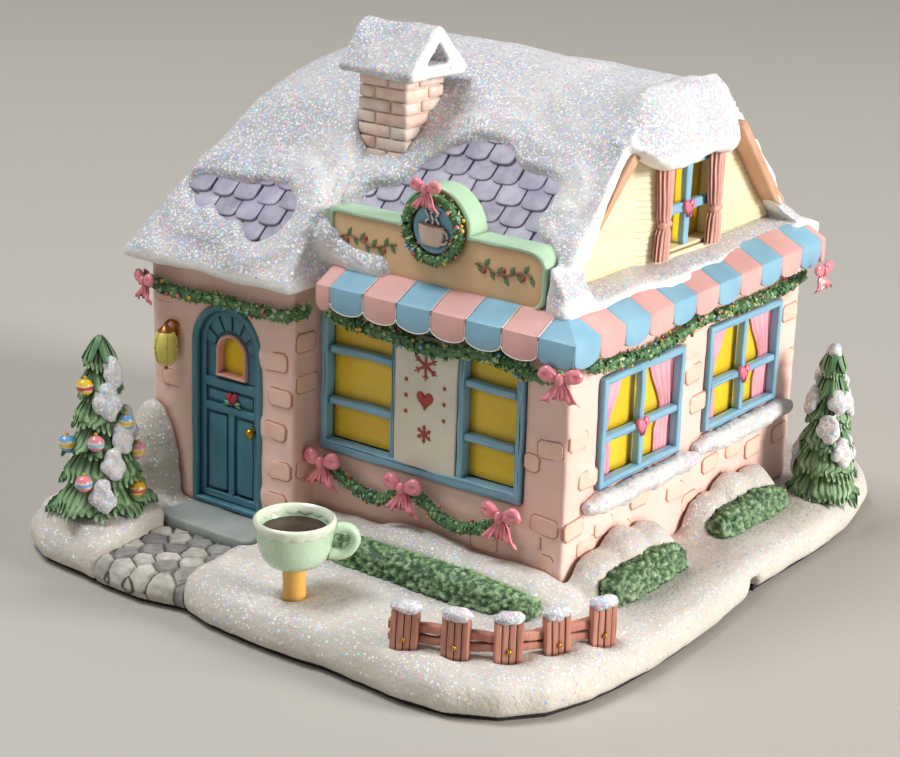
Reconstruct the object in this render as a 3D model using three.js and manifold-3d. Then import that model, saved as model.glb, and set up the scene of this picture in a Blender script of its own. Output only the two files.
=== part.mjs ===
// A small lit Christmas shop for a tabletop village: cast pieces glued on a snowy ground, with a
// lamp holder that pulls out of the underside. Millimetres, +Z up, +X right along the shop front,
// the door and the shop window face -Y, and the underside lies at z = 0.

import * as THREE from 'three';
import { mergeVertices } from 'three/addons/utils/BufferGeometryUtils.js';
import Module from 'manifold-3d';

const wasm = await Module();
wasm.setup();

// Gap left round glued and fitted pieces
const FIT = 0.3;

// Ground
const PAD_THICK = 1.2;
const GROUND_TOP = 10;
const GROUND_MARGIN_LEFT = 16.5;
const GROUND_MARGIN_RIGHT = 25.8;
const GROUND_MARGIN_FRONT = 39;
const GROUND_MARGIN_BACK = 31;
const PATH_TOP = 8.2;
const STONE_RISE = 0.8;
const STONE_JOINT = 0.7;
const STEP_DEPTH = 12.4;
const STEP_WIDTH = 29.5;
const STEP_TOP = 10.4;

// House body
const HOUSE_LEFT = -63;
const HOUSE_WIDTH = 115;
const SHOP_FRONT = -42;
const HOUSE_DEPTH = 103;
const BAY_DEPTH = 9.3;
const BAY_WIDTH = 45;
const WALL_THICK = 3.2;
const WALL_HEIGHT = 60;
const BRICK_WIDTH = 6.4;
const BRICK_HEIGHT = 3.9;
const BRICK_RISE = 0.4;

// Roof
const ROOF_SLOPE = 1.065;
const ROOF_HEIGHT = 49.8;
const ROOF_EAVE_LIP = 2.4;
const ROOF_SHELL = 4.4;
const BAY_EAVE_REACH = 6.3;
const BACK_EAVE_REACH = 5;
const HIP_LEAN = 0.43;
const GABLE_INSET = 6.8;
const GABLE_WIDTH = 89;
const GABLE_FOOT = 8.7;
const GABLE_KNEE = 14.5;
const GABLE_HEIGHT = 20.5;
const GABLE_WINDOW_WIDTH = 25;
const GABLE_WINDOW_HEIGHT = 21.2;
const GABLE_WINDOW_SILL = 1.1;
const SIDING_THICK = 2.6;
const BOARD_HEIGHT = 2.6;
const SHINGLE_WIDTH = 6.9;
const SHINGLE_ROW = 4.9;
const SHINGLE_POCKET = 1.5;
const SHINGLE_THICK = 1;
const SHINGLE_TILT = 0.1;

// Chimney
const STACK_SIDE = 14;
const STACK_TOP = 116.2;
const COURSE_HEIGHT = 2.9;
const CAP_OVERHANG = 3.6;
const CAP_HEIGHT = 11.6;

// Awning
const AWNING_REACH = 7.5;
const AWNING_FOLD = 73;
const VALANCE_DROP = 5.6;
const VALANCE_THICK = 1.5;
const SCALLOP_DEPTH = 1.5;
const FRONT_STRIPES = 7;
const SIDE_STRIPES = 11;
const SIDE_RISE = 0.026;
const MITRE_LAP = 0.05;

// Sign on the roof
const SIGN_WIDTH = 59.6;
const SIGN_HEIGHT = 11.2;
const SIGN_ROUND = 9.6;
const SIGN_THICK = 5.4;
const WREATH_RADIUS = 7.1;
const WREATH_TUBE = 1.6;

// Door
const DOOR_WIDTH = 20;
const DOOR_HEIGHT = 51;
const DOOR_LEAF_THICK = 1.8;
const DOOR_RECESS = 1.5;
const DOOR_PANE_WIDTH = 8.6;

// Shop window
const SHOP_WINDOW_WIDTH = 57.7;
const SHOP_WINDOW_HEIGHT = 36;
const SHOP_WINDOW_SILL = 29;
const MENU_WIDTH = 17.8;
const BAR_WIDTH = 2;
const PANE_THICK = 0.8;
const FRAME_THICK = 2.6;
const FRAME_PROUD = 0.8;

// Side windows
const SIDE_WINDOW_WIDTH = 35;
const SIDE_WINDOW_HEIGHT = 26.5;
const SIDE_WINDOW_SILL = 32;
const SIDE_SILL_LENGTH = 46;
const SIDE_SILL_RADIUS = 2.1;

// Trees, cup sign, fence
const TREE_LEFT_HEIGHT = 43;
const TREE_RIGHT_HEIGHT = 38.5;
const CUP_RADIUS = 8.9;
const CUP_HEIGHT = 11.4;
const CUP_WALL = 1.2;
const POST_RADIUS = 2.6;
const POST_HEIGHT = 7;
const PICKET_WIDTH = 5;
const PICKET_THICK = 1.7;
const PICKET_HEIGHT = 10.4;
const PICKETS = 5;
const SOCKET_DEPTH = 1.5;

// Lamp
const BORE_RADIUS = 12.5;
const FLANGE_RADIUS = 16;
const RECESS_HEIGHT = 6.5;
const FLANGE_THICK = 1.5;
const HOLDER_HEIGHT = 22.3;
const SCREW_RADIUS = 5.9;
const BULB_RADIUS = 10.2;
const BULB_HEIGHT = 54;
const CHANNEL_WIDTH = 7.5;
const CHANNEL_HEIGHT = 5;

// Places worked out from the driving sizes
const HOUSE_RIGHT = HOUSE_LEFT + HOUSE_WIDTH;
const HOUSE_BACK = SHOP_FRONT + HOUSE_DEPTH;
const BAY_FRONT = SHOP_FRONT - BAY_DEPTH;
const BAY_RIGHT = HOUSE_LEFT + BAY_WIDTH;
const WALL_TOP = GROUND_TOP + WALL_HEIGHT;
const HOUSE_MID_X = (HOUSE_LEFT + HOUSE_RIGHT) / 2;
const HOUSE_MID_Y = (SHOP_FRONT + HOUSE_BACK) / 2;
const RIDGE_TOP = WALL_TOP + ROOF_HEIGHT;
const SLOPE_ANGLE = Math.atan(ROOF_SLOPE);
const ROOF_FRONT = SHOP_FRONT - 2.5;
const SLOPE_FOOT = WALL_TOP + 9.15;
const SIDING_FACE = HOUSE_RIGHT - GABLE_INSET;
const DOOR_X = HOUSE_LEFT + 24;
const LEAF_FACE = BAY_FRONT + DOOR_RECESS;

const COLOURS = {
  snow: 0xf2efec,
  pad: 0x1c1a1a,
  stone: 0x9a9a9c,
  step: 0x8d9290,
  wall: 0xf0c8b9,
  shingle: 0xa79bb4,
  siding: 0xf2dd96,
  blue: 0x74aed2,
  door: 0x3c7f96,
  pane: 0xe9bd21,
  curtain: 0x9a5f5a,
  brick: 0xdfae90,
  pink: 0xf0a3ac,
  tan: 0xcdbd8b,
  medallion: 0x4f93b8,
  panel: 0xf1ede2,
  brass: 0xb88a3a,
  lantern: 0xd9d320,
  garland: 0x3c6b3f,
  bow: 0xe5748a,
  hedge: 0x3f7a4a,
  mint: 0xb9dcc4,
  coffee: 0x4f342c,
  post: 0xe7a83c,
  fence: 0xb77c6c,
  plastic: 0xe8e4da,
  bulb: 0xfff4d8,
};

// Geometry helpers

function vec(x, y, z) {
  return new THREE.Vector3(x, y, z);
}

function toSolid(geometry) {
  const bare = geometry.clone();
  for (const name of ['normal', 'uv']) {
    bare.deleteAttribute(name);
  }
  const merged = mergeVertices(bare, 1e-4);
  if (signedVolume(merged) < 0) {
    merged.setIndex(Array.from(merged.index.array).reverse());
  }
  const mesh = new wasm.Mesh({
    numProp: 3,
    vertProperties: new Float32Array(merged.attributes.position.array),
    triVerts: new Uint32Array(merged.index.array),
  });
  return new wasm.Manifold(mesh);
}

function toGeometry(solid) {
  const mesh = solid.getMesh();
  const geometry = new THREE.BufferGeometry();
  geometry.setAttribute('position', new THREE.BufferAttribute(new Float32Array(mesh.vertProperties), 3));
  geometry.setIndex(new THREE.BufferAttribute(new Uint32Array(mesh.triVerts), 1));
  geometry.computeVertexNormals();
  return geometry;
}

function join(solids) {
  return solids.reduce((whole, next) => whole.add(next));
}

function box(x0, x1, y0, y1, z0, z1) {
  const geometry = new THREE.BoxGeometry(x1 - x0, y1 - y0, z1 - z0);
  geometry.translate((x0 + x1) / 2, (y0 + y1) / 2, (z0 + z1) / 2);
  return toSolid(geometry);
}

function shapeOf(points, holes = []) {
  const shape = new THREE.Shape(points.map(([x, y]) => new THREE.Vector2(x, y)));
  shape.holes = holes.map((hole) => new THREE.Path(hole.map(([x, y]) => new THREE.Vector2(x, y))));
  return shape;
}

function extruded(shape, depth, curveSegments = 8) {
  return new THREE.ExtrudeGeometry(shape, { depth, bevelEnabled: false, steps: 1, curveSegments });
}

// Shape in plan, standing from z0 to z1
function prismZ(shape, z0, z1, curveSegments) {
  const geometry = extruded(shape, z1 - z0, curveSegments);
  geometry.translate(0, 0, z0);
  return toSolid(geometry);
}

// Shape drawn in (y, z), running along x
function prismX(shape, x0, x1, curveSegments) {
  const geometry = extruded(shape, x1 - x0, curveSegments);
  geometry.applyMatrix4(new THREE.Matrix4().makeBasis(vec(0, 1, 0), vec(0, 0, 1), vec(1, 0, 0)));
  geometry.translate(x0, 0, 0);
  return toSolid(geometry);
}

// Shape drawn in (x, z), running along y
function prismY(shape, y0, y1, curveSegments) {
  const geometry = extruded(shape, y1 - y0, curveSegments);
  geometry.applyMatrix4(new THREE.Matrix4().makeBasis(vec(1, 0, 0), vec(0, 0, 1), vec(0, -1, 0)));
  geometry.translate(0, y1, 0);
  return toSolid(geometry);
}

function rect(x0, x1, y0, y1) {
  return [[x0, y0], [x1, y0], [x1, y1], [x0, y1]];
}

// Turned solid about a vertical axis; the profile is [radius, height] from axis to axis
function turned(profile, x, y, segments = 16) {
  const points = profile.map(([radius, z]) => new THREE.Vector2(radius, z));
  const geometry = new THREE.LatheGeometry(points, segments);
  geometry.rotateX(Math.PI / 2);
  geometry.translate(x, y, 0);
  return toSolid(geometry);
}

function ellipsoid(centre, radii, around = 10, down = 6) {
  const geometry = new THREE.SphereGeometry(1, around, down);
  geometry.rotateX(Math.PI / 2);
  geometry.scale(radii[0], radii[1], radii[2]);
  geometry.translate(centre[0], centre[1], centre[2]);
  return toSolid(geometry);
}

// Closed skin over rings of equal length; the two end rings are filled flat. flat(point) gives the
// end rings' plan coordinates.
function loft(rings, flat) {
  const size = rings[0].length;
  const positions = rings.flat().flatMap((point) => point.toArray());
  const index = [];
  for (let r = 0; r < rings.length - 1; r += 1) {
    for (let i = 0; i < size; i += 1) {
      const a = r * size + i;
      const b = r * size + ((i + 1) % size);
      index.push(a, b, b + size, a, b + size, a + size);
    }
  }
  const last = (rings.length - 1) * size;
  for (const [ring, start, turn] of [[rings[0], 0, true], [rings.at(-1), last, false]]) {
    const contour = ring.map(flat);
    const clockwise = THREE.ShapeUtils.isClockWise(contour);
    for (const [a, b, c] of THREE.ShapeUtils.triangulateShape(contour, [])) {
      const face = turn !== clockwise ? [a, c, b] : [a, b, c];
      index.push(...face.map((corner) => corner + start));
    }
  }
  const geometry = new THREE.BufferGeometry();
  geometry.setAttribute('position', new THREE.BufferAttribute(new Float32Array(positions), 3));
  geometry.setIndex(index);
  return toSolid(geometry);
}

function signedVolume(geometry) {
  const at = geometry.attributes.position;
  const corners = geometry.index.array;
  let sum = 0;
  for (let i = 0; i < corners.length; i += 3) {
    const [a, b, c] = [0, 1, 2].map((k) => vec(0, 0, 0).fromBufferAttribute(at, corners[i + k]));
    sum += a.dot(b.cross(c)) / 6;
  }
  return sum;
}

// Round-sided tube along points, with its own radius at each point
function tube(points, radii, sides = 6) {
  const rings = points.map((point, i) => {
    const before = points[Math.max(0, i - 1)];
    const after = points[Math.min(points.length - 1, i + 1)];
    const along = after.clone().sub(before).normalize();
    const side = vec(0, 0, 1).cross(along).normalize();
    const up = along.clone().cross(side);
    return Array.from({ length: sides }, (_, k) => {
      const turn = (2 * Math.PI * k) / sides;
      const out = side.clone().multiplyScalar(Math.cos(turn)).addScaledVector(up, Math.sin(turn));
      return point.clone().addScaledVector(out, radii[i]);
    });
  });
  const [first] = rings;
  const across = first[0].clone().sub(first[Math.floor(sides / 2)]).normalize();
  const other = vec(0, 0, 1).sub(across.clone().multiplyScalar(across.z)).normalize();
  return loft(rings, (point) => new THREE.Vector2(point.dot(across), point.dot(other)));
}

// Points of a closed smooth outline through a few given points
function smoothOutline(points, count) {
  const curve = new THREE.CatmullRomCurve3(points.map(([x, y]) => vec(x, y, 0)), true, 'centripetal');
  return curve.getSpacedPoints(count).slice(0, count).map((point) => [point.x, point.y]);
}

// Outline moved outward by a distance; points run anticlockwise
function grown(points, distance) {
  return points.map(([x, y], i) => {
    const [px, py] = points[(i + points.length - 1) % points.length];
    const [nx, ny] = points[(i + 1) % points.length];
    const along = new THREE.Vector2(nx - px, ny - py).normalize();
    return [x + along.y * distance, y - along.x * distance];
  });
}

// Repeatable numbers between 0 and 1
function seeded(seed) {
  let state = seed;
  return () => {
    state = (state * 16807) % 2147483647;
    return state / 2147483647;
  };
}

// Ground casting, its pad, the path and the step

function groundOutline() {
  const left = HOUSE_LEFT - GROUND_MARGIN_LEFT;
  const right = HOUSE_RIGHT + GROUND_MARGIN_RIGHT;
  const front = BAY_FRONT - GROUND_MARGIN_FRONT;
  const back = HOUSE_BACK + GROUND_MARGIN_BACK;
  return smoothOutline([
    [left, front + 19.5], [left + 3.4, front + 9.5], [left + 13.5, front + 4],
    [left + 29, front + 2.8], [left + 44, front + 1], [left + 58, front + 4], [left + 65, front + 1.7],
    [right - 67.4, front], [right - 51, front + 1], [right - 35.5, front - 0.7],
    [right - 20, front + 1.4], [right - 12.8, front + 5.4], [right - 7.2, front + 11],
    [right - 3.3, front + 19.6], [right, front + 42], [right - 1.6, SHOP_FRONT + 35],
    [right - 4.2, SHOP_FRONT + 52], [right - 4.2, HOUSE_BACK - 22], [right - 5, HOUSE_BACK - 6],
    [right - 9.2, back - 19], [right - 15, back - 5.5], [right - 30, back],
    [HOUSE_MID_X, back - 0.6], [left + 20, back - 1], [left + 6, back - 9],
    [left + 1.8, back - 30], [left + 3, HOUSE_MID_Y], [left + 0.6, SHOP_FRONT],
  ], 56);
}

const OUTLINE = groundOutline();

// Pillow over the ground outline; the profile is [inset, height] from the underside up
function pillow(profile) {
  const rings = profile.map(([inset, z]) => grown(OUTLINE, -inset).map(([x, y]) => vec(x, y, z)));
  return loft(rings, (point) => new THREE.Vector2(point.x, point.y));
}

function edgeProfile(top) {
  const rise = top - PAD_THICK;
  return [
    [0.9, PAD_THICK], [0, PAD_THICK + rise * 0.3], [0.5, PAD_THICK + rise * 0.62],
    [2.2, PAD_THICK + rise * 0.87], [6.4, top],
  ];
}

const PATH_LEFT = HOUSE_LEFT + 16.6;
const PATH_RIGHT = PATH_LEFT + 25.4;
const STEP_FRONT = BAY_FRONT - STEP_DEPTH;
const STEP_LEFT = DOOR_X - 11;

function pathFootprint(extra) {
  const back = STEP_FRONT - FIT + extra;
  const front = BAY_FRONT - GROUND_MARGIN_FRONT - 5;
  return [
    [PATH_LEFT - extra, back], [PATH_LEFT - 0.6 - extra, back - 6], [PATH_LEFT + 1.2 - extra, back - 15],
    [PATH_LEFT - 1 - extra, front], [PATH_RIGHT + 1.6 + extra, front],
    [PATH_RIGHT + extra, back - 12], [PATH_RIGHT - 2.4 + extra, back],
  ];
}

// The part of a convex polygon nearer to one point than to another
function nearerHalf(polygon, site, rival) {
  const mid = site.clone().add(rival).multiplyScalar(0.5);
  const away = rival.clone().sub(site);
  const depth = (point) => point.clone().sub(mid).dot(away);
  const kept = [];
  polygon.forEach((point, i) => {
    const next = polygon[(i + 1) % polygon.length];
    const [here, there] = [depth(point), depth(next)];
    if (here <= 0) {
      kept.push(point);
    }
    if (here * there < 0) {
      kept.push(point.clone().lerp(next, here / (here - there)));
    }
  });
  return kept;
}

// Irregular stones: each one is the ground nearest to its own jittered centre
function stoneCells() {
  const random = seeded(41);
  const pitch = new THREE.Vector2(6.4, 4.9);
  const sites = [];
  for (let row = -1; row < 7; row += 1) {
    for (let column = -1; column < 6; column += 1) {
      const x = PATH_LEFT + (column + (row % 2) * 0.5 + 0.3 * random()) * pitch.x;
      const y = STEP_FRONT - (row + 0.5 + 0.4 * random()) * pitch.y;
      sites.push(new THREE.Vector2(x, y));
    }
  }
  return sites.map((site) => {
    const reach = 2 * pitch.x;
    let cell = rect(site.x - reach, site.x + reach, site.y - reach, site.y + reach)
      .map(([x, y]) => new THREE.Vector2(x, y));
    for (const rival of sites) {
      if (rival !== site && rival.distanceTo(site) < 2 * reach) {
        cell = nearerHalf(cell, site, rival);
      }
    }
    return cell.map((point) => {
      const toward = point.clone().sub(site);
      const shrink = 1 - STONE_JOINT / Math.max(toward.length(), 1);
      return [site.x + toward.x * shrink, site.y + toward.y * shrink];
    });
  });
}

function stonePath() {
  const footprint = prismZ(shapeOf(pathFootprint(0).reverse()), PAD_THICK, GROUND_TOP);
  const bed = footprint.intersect(pillow(edgeProfile(PATH_TOP - STONE_RISE)));
  const stones = stoneCells().map((cell) => prismZ(shapeOf(cell), PAD_THICK, GROUND_TOP));
  const tops = join(stones).intersect(pillow(edgeProfile(PATH_TOP))).intersect(footprint);
  return bed.add(tops);
}

function doorStep() {
  const x1 = STEP_LEFT + STEP_WIDTH;
  return box(STEP_LEFT, x1, STEP_FRONT, BAY_FRONT - FIT, PAD_THICK, STEP_TOP);
}

function lampChannel(from, to, z0, z1) {
  const y = LAMP.y - 2.3;
  const half = CHANNEL_WIDTH / 2;
  const shape = shapeOf([
    [y - half, z0], [y + half, z0], [y + half, z1 - 1.4],
    [y + half - 1.4, z1], [y - half + 1.4, z1], [y - half, z1 - 1.4],
  ]);
  return prismX(shape, from, to);
}

const LAMP = { x: HOUSE_MID_X, y: HOUSE_MID_Y };

function bank(x0, x1, y0, y1, height) {
  const lumps = 3;
  const alongX = x1 - x0 > y1 - y0;
  const solids = Array.from({ length: lumps }, (_, i) => {
    const share = (i + 0.5) / lumps;
    const centre = [
      alongX ? x0 + (x1 - x0) * share : (x0 + x1) / 2,
      alongX ? (y0 + y1) / 2 : y0 + (y1 - y0) * share,
      GROUND_TOP - 1,
    ];
    const swell = 1 + 0.12 * ((i * 2) % 3 - 1);
    const radii = [
      alongX ? (x1 - x0) / lumps * 0.95 : (x1 - x0) / 2,
      alongX ? (y1 - y0) / 2 : (y1 - y0) / lumps * 0.95,
      (height + 1) * swell,
    ];
    return ellipsoid(centre, radii, 10, 6);
  });
  return join(solids);
}

const TREE_LEFT_PLACE = [HOUSE_LEFT + 4.5, BAY_FRONT - 22];
const TREE_RIGHT_PLACE = [HOUSE_RIGHT + 13.2, HOUSE_BACK - 4.5];
const TREE_SOCKET = 5;

function hedgeSpots() {
  return {
    front: { x0: BAY_RIGHT + 13, x1: HOUSE_RIGHT + 2, y0: SHOP_FRONT - 18, y1: SHOP_FRONT - 8.5, top: 16 },
    sideFront: { x0: HOUSE_RIGHT + 5.6, x1: HOUSE_RIGHT + 13.5, y0: SHOP_FRONT + 4, y1: SHOP_FRONT + 34, top: 17 },
    sideBack: { x0: HOUSE_RIGHT + 4.4, x1: HOUSE_RIGHT + 12, y0: SHOP_FRONT + 53, y1: SHOP_FRONT + 84, top: 16.5 },
  };
}

function hedge(spot, extra = 0) {
  const { x0, x1, y0, y1, top } = spot;
  const alongX = x1 - x0 > y1 - y0;
  const [start, end] = alongX ? [x0, x1] : [y0, y1];
  const [near, far] = alongX ? [y0, y1] : [x0, x1];
  const stations = 7;
  const rings = Array.from({ length: stations }, (_, i) => {
    const share = i / (stations - 1);
    const along = start - extra + (end - start + 2 * extra) * share;
    const round = 0.72 + 0.28 * Math.sin(Math.PI * share) ** 0.4;
    const wave = 0.5 * Math.sin(i * 2.1);
    const mid = (near + far) / 2;
    const half = ((far - near) / 2) * round + extra + wave * 0.4;
    const height = (top - GROUND_TOP) * round + extra + wave * 0.5;
    return Array.from({ length: 6 }, (__, k) => {
      const turn = (Math.PI * k) / 5;
      const across = mid + half * Math.cos(turn);
      const z = GROUND_TOP + height * Math.sin(turn) ** 0.6;
      return alongX ? vec(along, across, z) : vec(across, along, z);
    });
  });
  return loft(rings, (point) => new THREE.Vector2(alongX ? point.y : point.x, point.z));
}

function wallOutline(extra) {
  const [left, right] = [HOUSE_LEFT - extra, HOUSE_RIGHT + extra];
  return [
    [left, BAY_FRONT - extra], [BAY_RIGHT + extra, BAY_FRONT - extra],
    [BAY_RIGHT + extra, SHOP_FRONT - extra], [right, SHOP_FRONT - extra],
    [right, HOUSE_BACK + extra], [left, HOUSE_BACK + extra],
  ];
}

function fenceCurve() {
  return new THREE.CatmullRomCurve3([
    vec(HOUSE_RIGHT - 11, BAY_FRONT - 33, 0),
    vec(HOUSE_RIGHT + 8.6, BAY_FRONT - 24.2, 0),
    vec(HOUSE_RIGHT + 19.6, BAY_FRONT - 3.8, 0),
  ]);
}

// Pickets with pointed-over tops and a rail behind them; extra widens them to make their sockets
function picketBoxes(extra) {
  const curve = fenceCurve();
  return Array.from({ length: PICKETS }, (_, i) => {
    const share = i / (PICKETS - 1);
    const point = curve.getPointAt(share);
    const along = curve.getTangentAt(share);
    const height = PICKET_HEIGHT + SOCKET_DEPTH + extra;
    const shape = shapeOf([
      [-PICKET_WIDTH / 2 - extra, 0], [PICKET_WIDTH / 2 + extra, 0],
      [PICKET_WIDTH / 2 + extra, height - 1.2], [0, height], [-PICKET_WIDTH / 2 - extra, height - 1.2],
    ]);
    const geometry = extruded(shape, PICKET_THICK + 2 * extra);
    geometry.translate(0, 0, -PICKET_THICK / 2 - extra);
    geometry.rotateX(Math.PI / 2);
    geometry.rotateZ(Math.atan2(along.y, along.x));
    geometry.translate(point.x, point.y, GROUND_TOP - SOCKET_DEPTH - extra);
    return toSolid(geometry);
  });
}

function fence() {
  const curve = fenceCurve();
  const count = 12;
  const low = GROUND_TOP + 1.4;
  const rings = Array.from({ length: count + 1 }, (_, i) => {
    const share = i / count;
    const point = curve.getPointAt(share);
    const along = curve.getTangentAt(share);
    point.addScaledVector(along, (share - 0.5) * 7);
    const inward = vec(-along.y, along.x, 0);
    return [[0.5, low], [2.1, low], [2.1, low + 4.6], [0.5, low + 4.6]].map(([off, z]) => (
      vec(point.x + inward.x * off, point.y + inward.y * off, z)
    ));
  });
  const rail = loft(rings, (point) => new THREE.Vector2(point.x + point.y, point.z));
  return join([...picketBoxes(0), rail]);
}

const CUP = { x: HOUSE_MID_X + 11.9, y: BAY_FRONT - 27.7 };

function groundCasting() {
  const banks = [
    ellipsoid([HOUSE_LEFT + 4, BAY_FRONT - 20, 8], [19, 15.5, 6.4], 14, 6),
    ellipsoid([HOUSE_LEFT + 2, BAY_FRONT - 1.5, GROUND_TOP], [8.5, 6.5, 24], 10, 8),
    bank(BAY_RIGHT + 0.4, HOUSE_RIGHT - 1, SHOP_FRONT - 13, SHOP_FRONT + 6, 6.5),
    bank(HOUSE_RIGHT - 8, HOUSE_RIGHT + 11.5, SHOP_FRONT + 4, SHOP_FRONT + 35, 10.5),
    bank(HOUSE_RIGHT - 8, HOUSE_RIGHT + 9.5, SHOP_FRONT + 53, SHOP_FRONT + 85, 10),
  ];
  const far = 20;
  const cuts = [
    prismZ(shapeOf(wallOutline(FIT + BRICK_RISE)), GROUND_TOP, GROUND_TOP + 60),
    prismZ(shapeOf(pathFootprint(FIT).reverse()), 0, GROUND_TOP + far),
    box(STEP_LEFT - FIT, STEP_LEFT + STEP_WIDTH + FIT, STEP_FRONT - 2 * FIT, BAY_FRONT - FIT, 0, GROUND_TOP + far),
    turned([[0, 0], [FLANGE_RADIUS + 1, 0], [FLANGE_RADIUS + 1, RECESS_HEIGHT], [0, RECESS_HEIGHT]],
      LAMP.x, LAMP.y, 24),
    turned([[0, 0], [BORE_RADIUS, 0], [BORE_RADIUS, far], [0, far]], LAMP.x, LAMP.y, 24),
    lampChannel(LAMP.x, HOUSE_RIGHT + GROUND_MARGIN_RIGHT + 5, 0, CHANNEL_HEIGHT),
    socket(TREE_LEFT_PLACE, TREE_SOCKET, GROUND_TOP + 2),
    socket(TREE_RIGHT_PLACE, TREE_SOCKET, GROUND_TOP - SOCKET_DEPTH),
    socket([CUP.x, CUP.y], POST_RADIUS, GROUND_TOP - SOCKET_DEPTH),
    ...picketBoxes(FIT),
    ...Object.values(hedgeSpots()).map((spot) => hedge(spot, FIT)),
  ];
  const aboveGround = prismZ(shapeOf(grown(OUTLINE, -3)), GROUND_TOP - 2, GROUND_TOP + far * 2);
  const snow = join(banks).intersect(aboveGround);
  return pillow(edgeProfile(GROUND_TOP)).add(snow).subtract(join(cuts));
}

// Round pocket with a flat floor that a glued foot stands in
function socket([x, y], radius, floor) {
  const profile = [[0, floor], [radius + FIT, floor], [radius + FIT, floor + 20], [0, floor + 20]];
  return turned(profile, x, y, 16);
}

function groundPad() {
  const pad = prismZ(shapeOf(grown(OUTLINE, -2)), 0, PAD_THICK);
  const hole = turned([[0, -1], [FLANGE_RADIUS + 1.5, -1], [FLANGE_RADIUS + 1.5, 3], [0, 3]],
    LAMP.x, LAMP.y, 24);
  const end = HOUSE_RIGHT + GROUND_MARGIN_RIGHT + 5;
  return pad.subtract(hole).subtract(lampChannel(LAMP.x, end, -1, CHANNEL_HEIGHT));
}

// House walls with raised bricks

function brickShape() {
  const [w, h, c] = [BRICK_WIDTH / 2, BRICK_HEIGHT / 2, 1];
  return shapeOf([[-w + c, -h], [w, -h], [w, h - c], [w - c, h], [-w, h], [-w, -h + c]]);
}

// Bricks on a wall: where gives each brick's distance along the wall and its height
function brickRow(wall, where) {
  return where.map(([along, z, halfBrick]) => {
    const geometry = extruded(brickShape(), 2 * BRICK_RISE);
    geometry.scale(halfBrick ? 0.55 : 1, 1, 1);
    geometry.translate(0, 0, -BRICK_RISE);
    geometry.rotateX(Math.PI / 2);
    geometry.rotateZ(wall.turn);
    geometry.translate(wall.x + wall.dx * along, wall.y + wall.dy * along, GROUND_TOP + z);
    return toSolid(geometry);
  });
}

function wallBricks() {
  const bay = { x: HOUSE_LEFT, y: BAY_FRONT, dx: 1, dy: 0, turn: 0 };
  const bayEnd = { x: BAY_RIGHT, y: BAY_FRONT, dx: 0, dy: 1, turn: Math.PI / 2 };
  const shop = { x: HOUSE_RIGHT, y: SHOP_FRONT, dx: -1, dy: 0, turn: 0 };
  const side = { x: HOUSE_RIGHT, y: SHOP_FRONT, dx: 0, dy: 1, turn: Math.PI / 2 };
  const back = { x: HOUSE_LEFT, y: HOUSE_BACK, dx: 1, dy: 0, turn: Math.PI };
  const left = { x: HOUSE_LEFT, y: HOUSE_BACK, dx: 0, dy: -1, turn: -Math.PI / 2 };
  const scatter = (length, first, seed) => {
    const random = seeded(seed);
    const count = Math.floor(length / 15);
    return Array.from({ length: count }, (_, i) => (
      [first + (i + 0.3 * random()) * (length - 2 * first) / (count - 0.5), 7 + 46 * random()]
    ));
  };
  return [
    ...brickRow(bay, [[6, 51], [9, 30], [37, 41], [40.5, 32.5], [37, 24], [40.5, 14.5], [38.5, 6.5]]),
    ...brickRow(bayEnd, [[4, 46], [4.6, 36], [4.8, 15]]),
    ...brickRow(shop, [[4.2, 34], [9, 30, true], [5, 16], [9.2, 11.5], [5.4, 7], [21, 8]]),
    ...brickRow(side, [
      [4, 36], [8.5, 26], [3.8, 15.4], [9, 9.8], [16, 12.6], [24, 9], [31, 15], [50.4, 46.5], [54.5, 52.5],
      [52, 40], [55, 32], [47, 12], [54, 7.5], [63, 14.6], [74, 15.5], [84, 13], [98, 45], [98.5, 33],
      [97.5, 13.5],
    ]),
    ...brickRow(back, scatter(HOUSE_WIDTH, 8, 7)),
    ...brickRow(left, scatter(HOUSE_DEPTH, 8, 23)),
  ];
}

function arch(x, width, z0, height) {
  const shape = new THREE.Shape();
  const radius = width / 2;
  shape.moveTo(x - radius, z0);
  shape.lineTo(x + radius, z0);
  shape.lineTo(x + radius, z0 + height - radius);
  shape.absarc(x, z0 + height - radius, radius, 0, Math.PI, false);
  shape.closePath();
  return shape;
}

const SHOP_WINDOW_LEFT = BAY_RIGHT + 1;
const SIDE_WINDOWS = [
  { y: SHOP_FRONT + 12, z: SIDE_WINDOW_SILL },
  { y: SHOP_FRONT + 58, z: SIDE_WINDOW_SILL + 1.4 },
];

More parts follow.
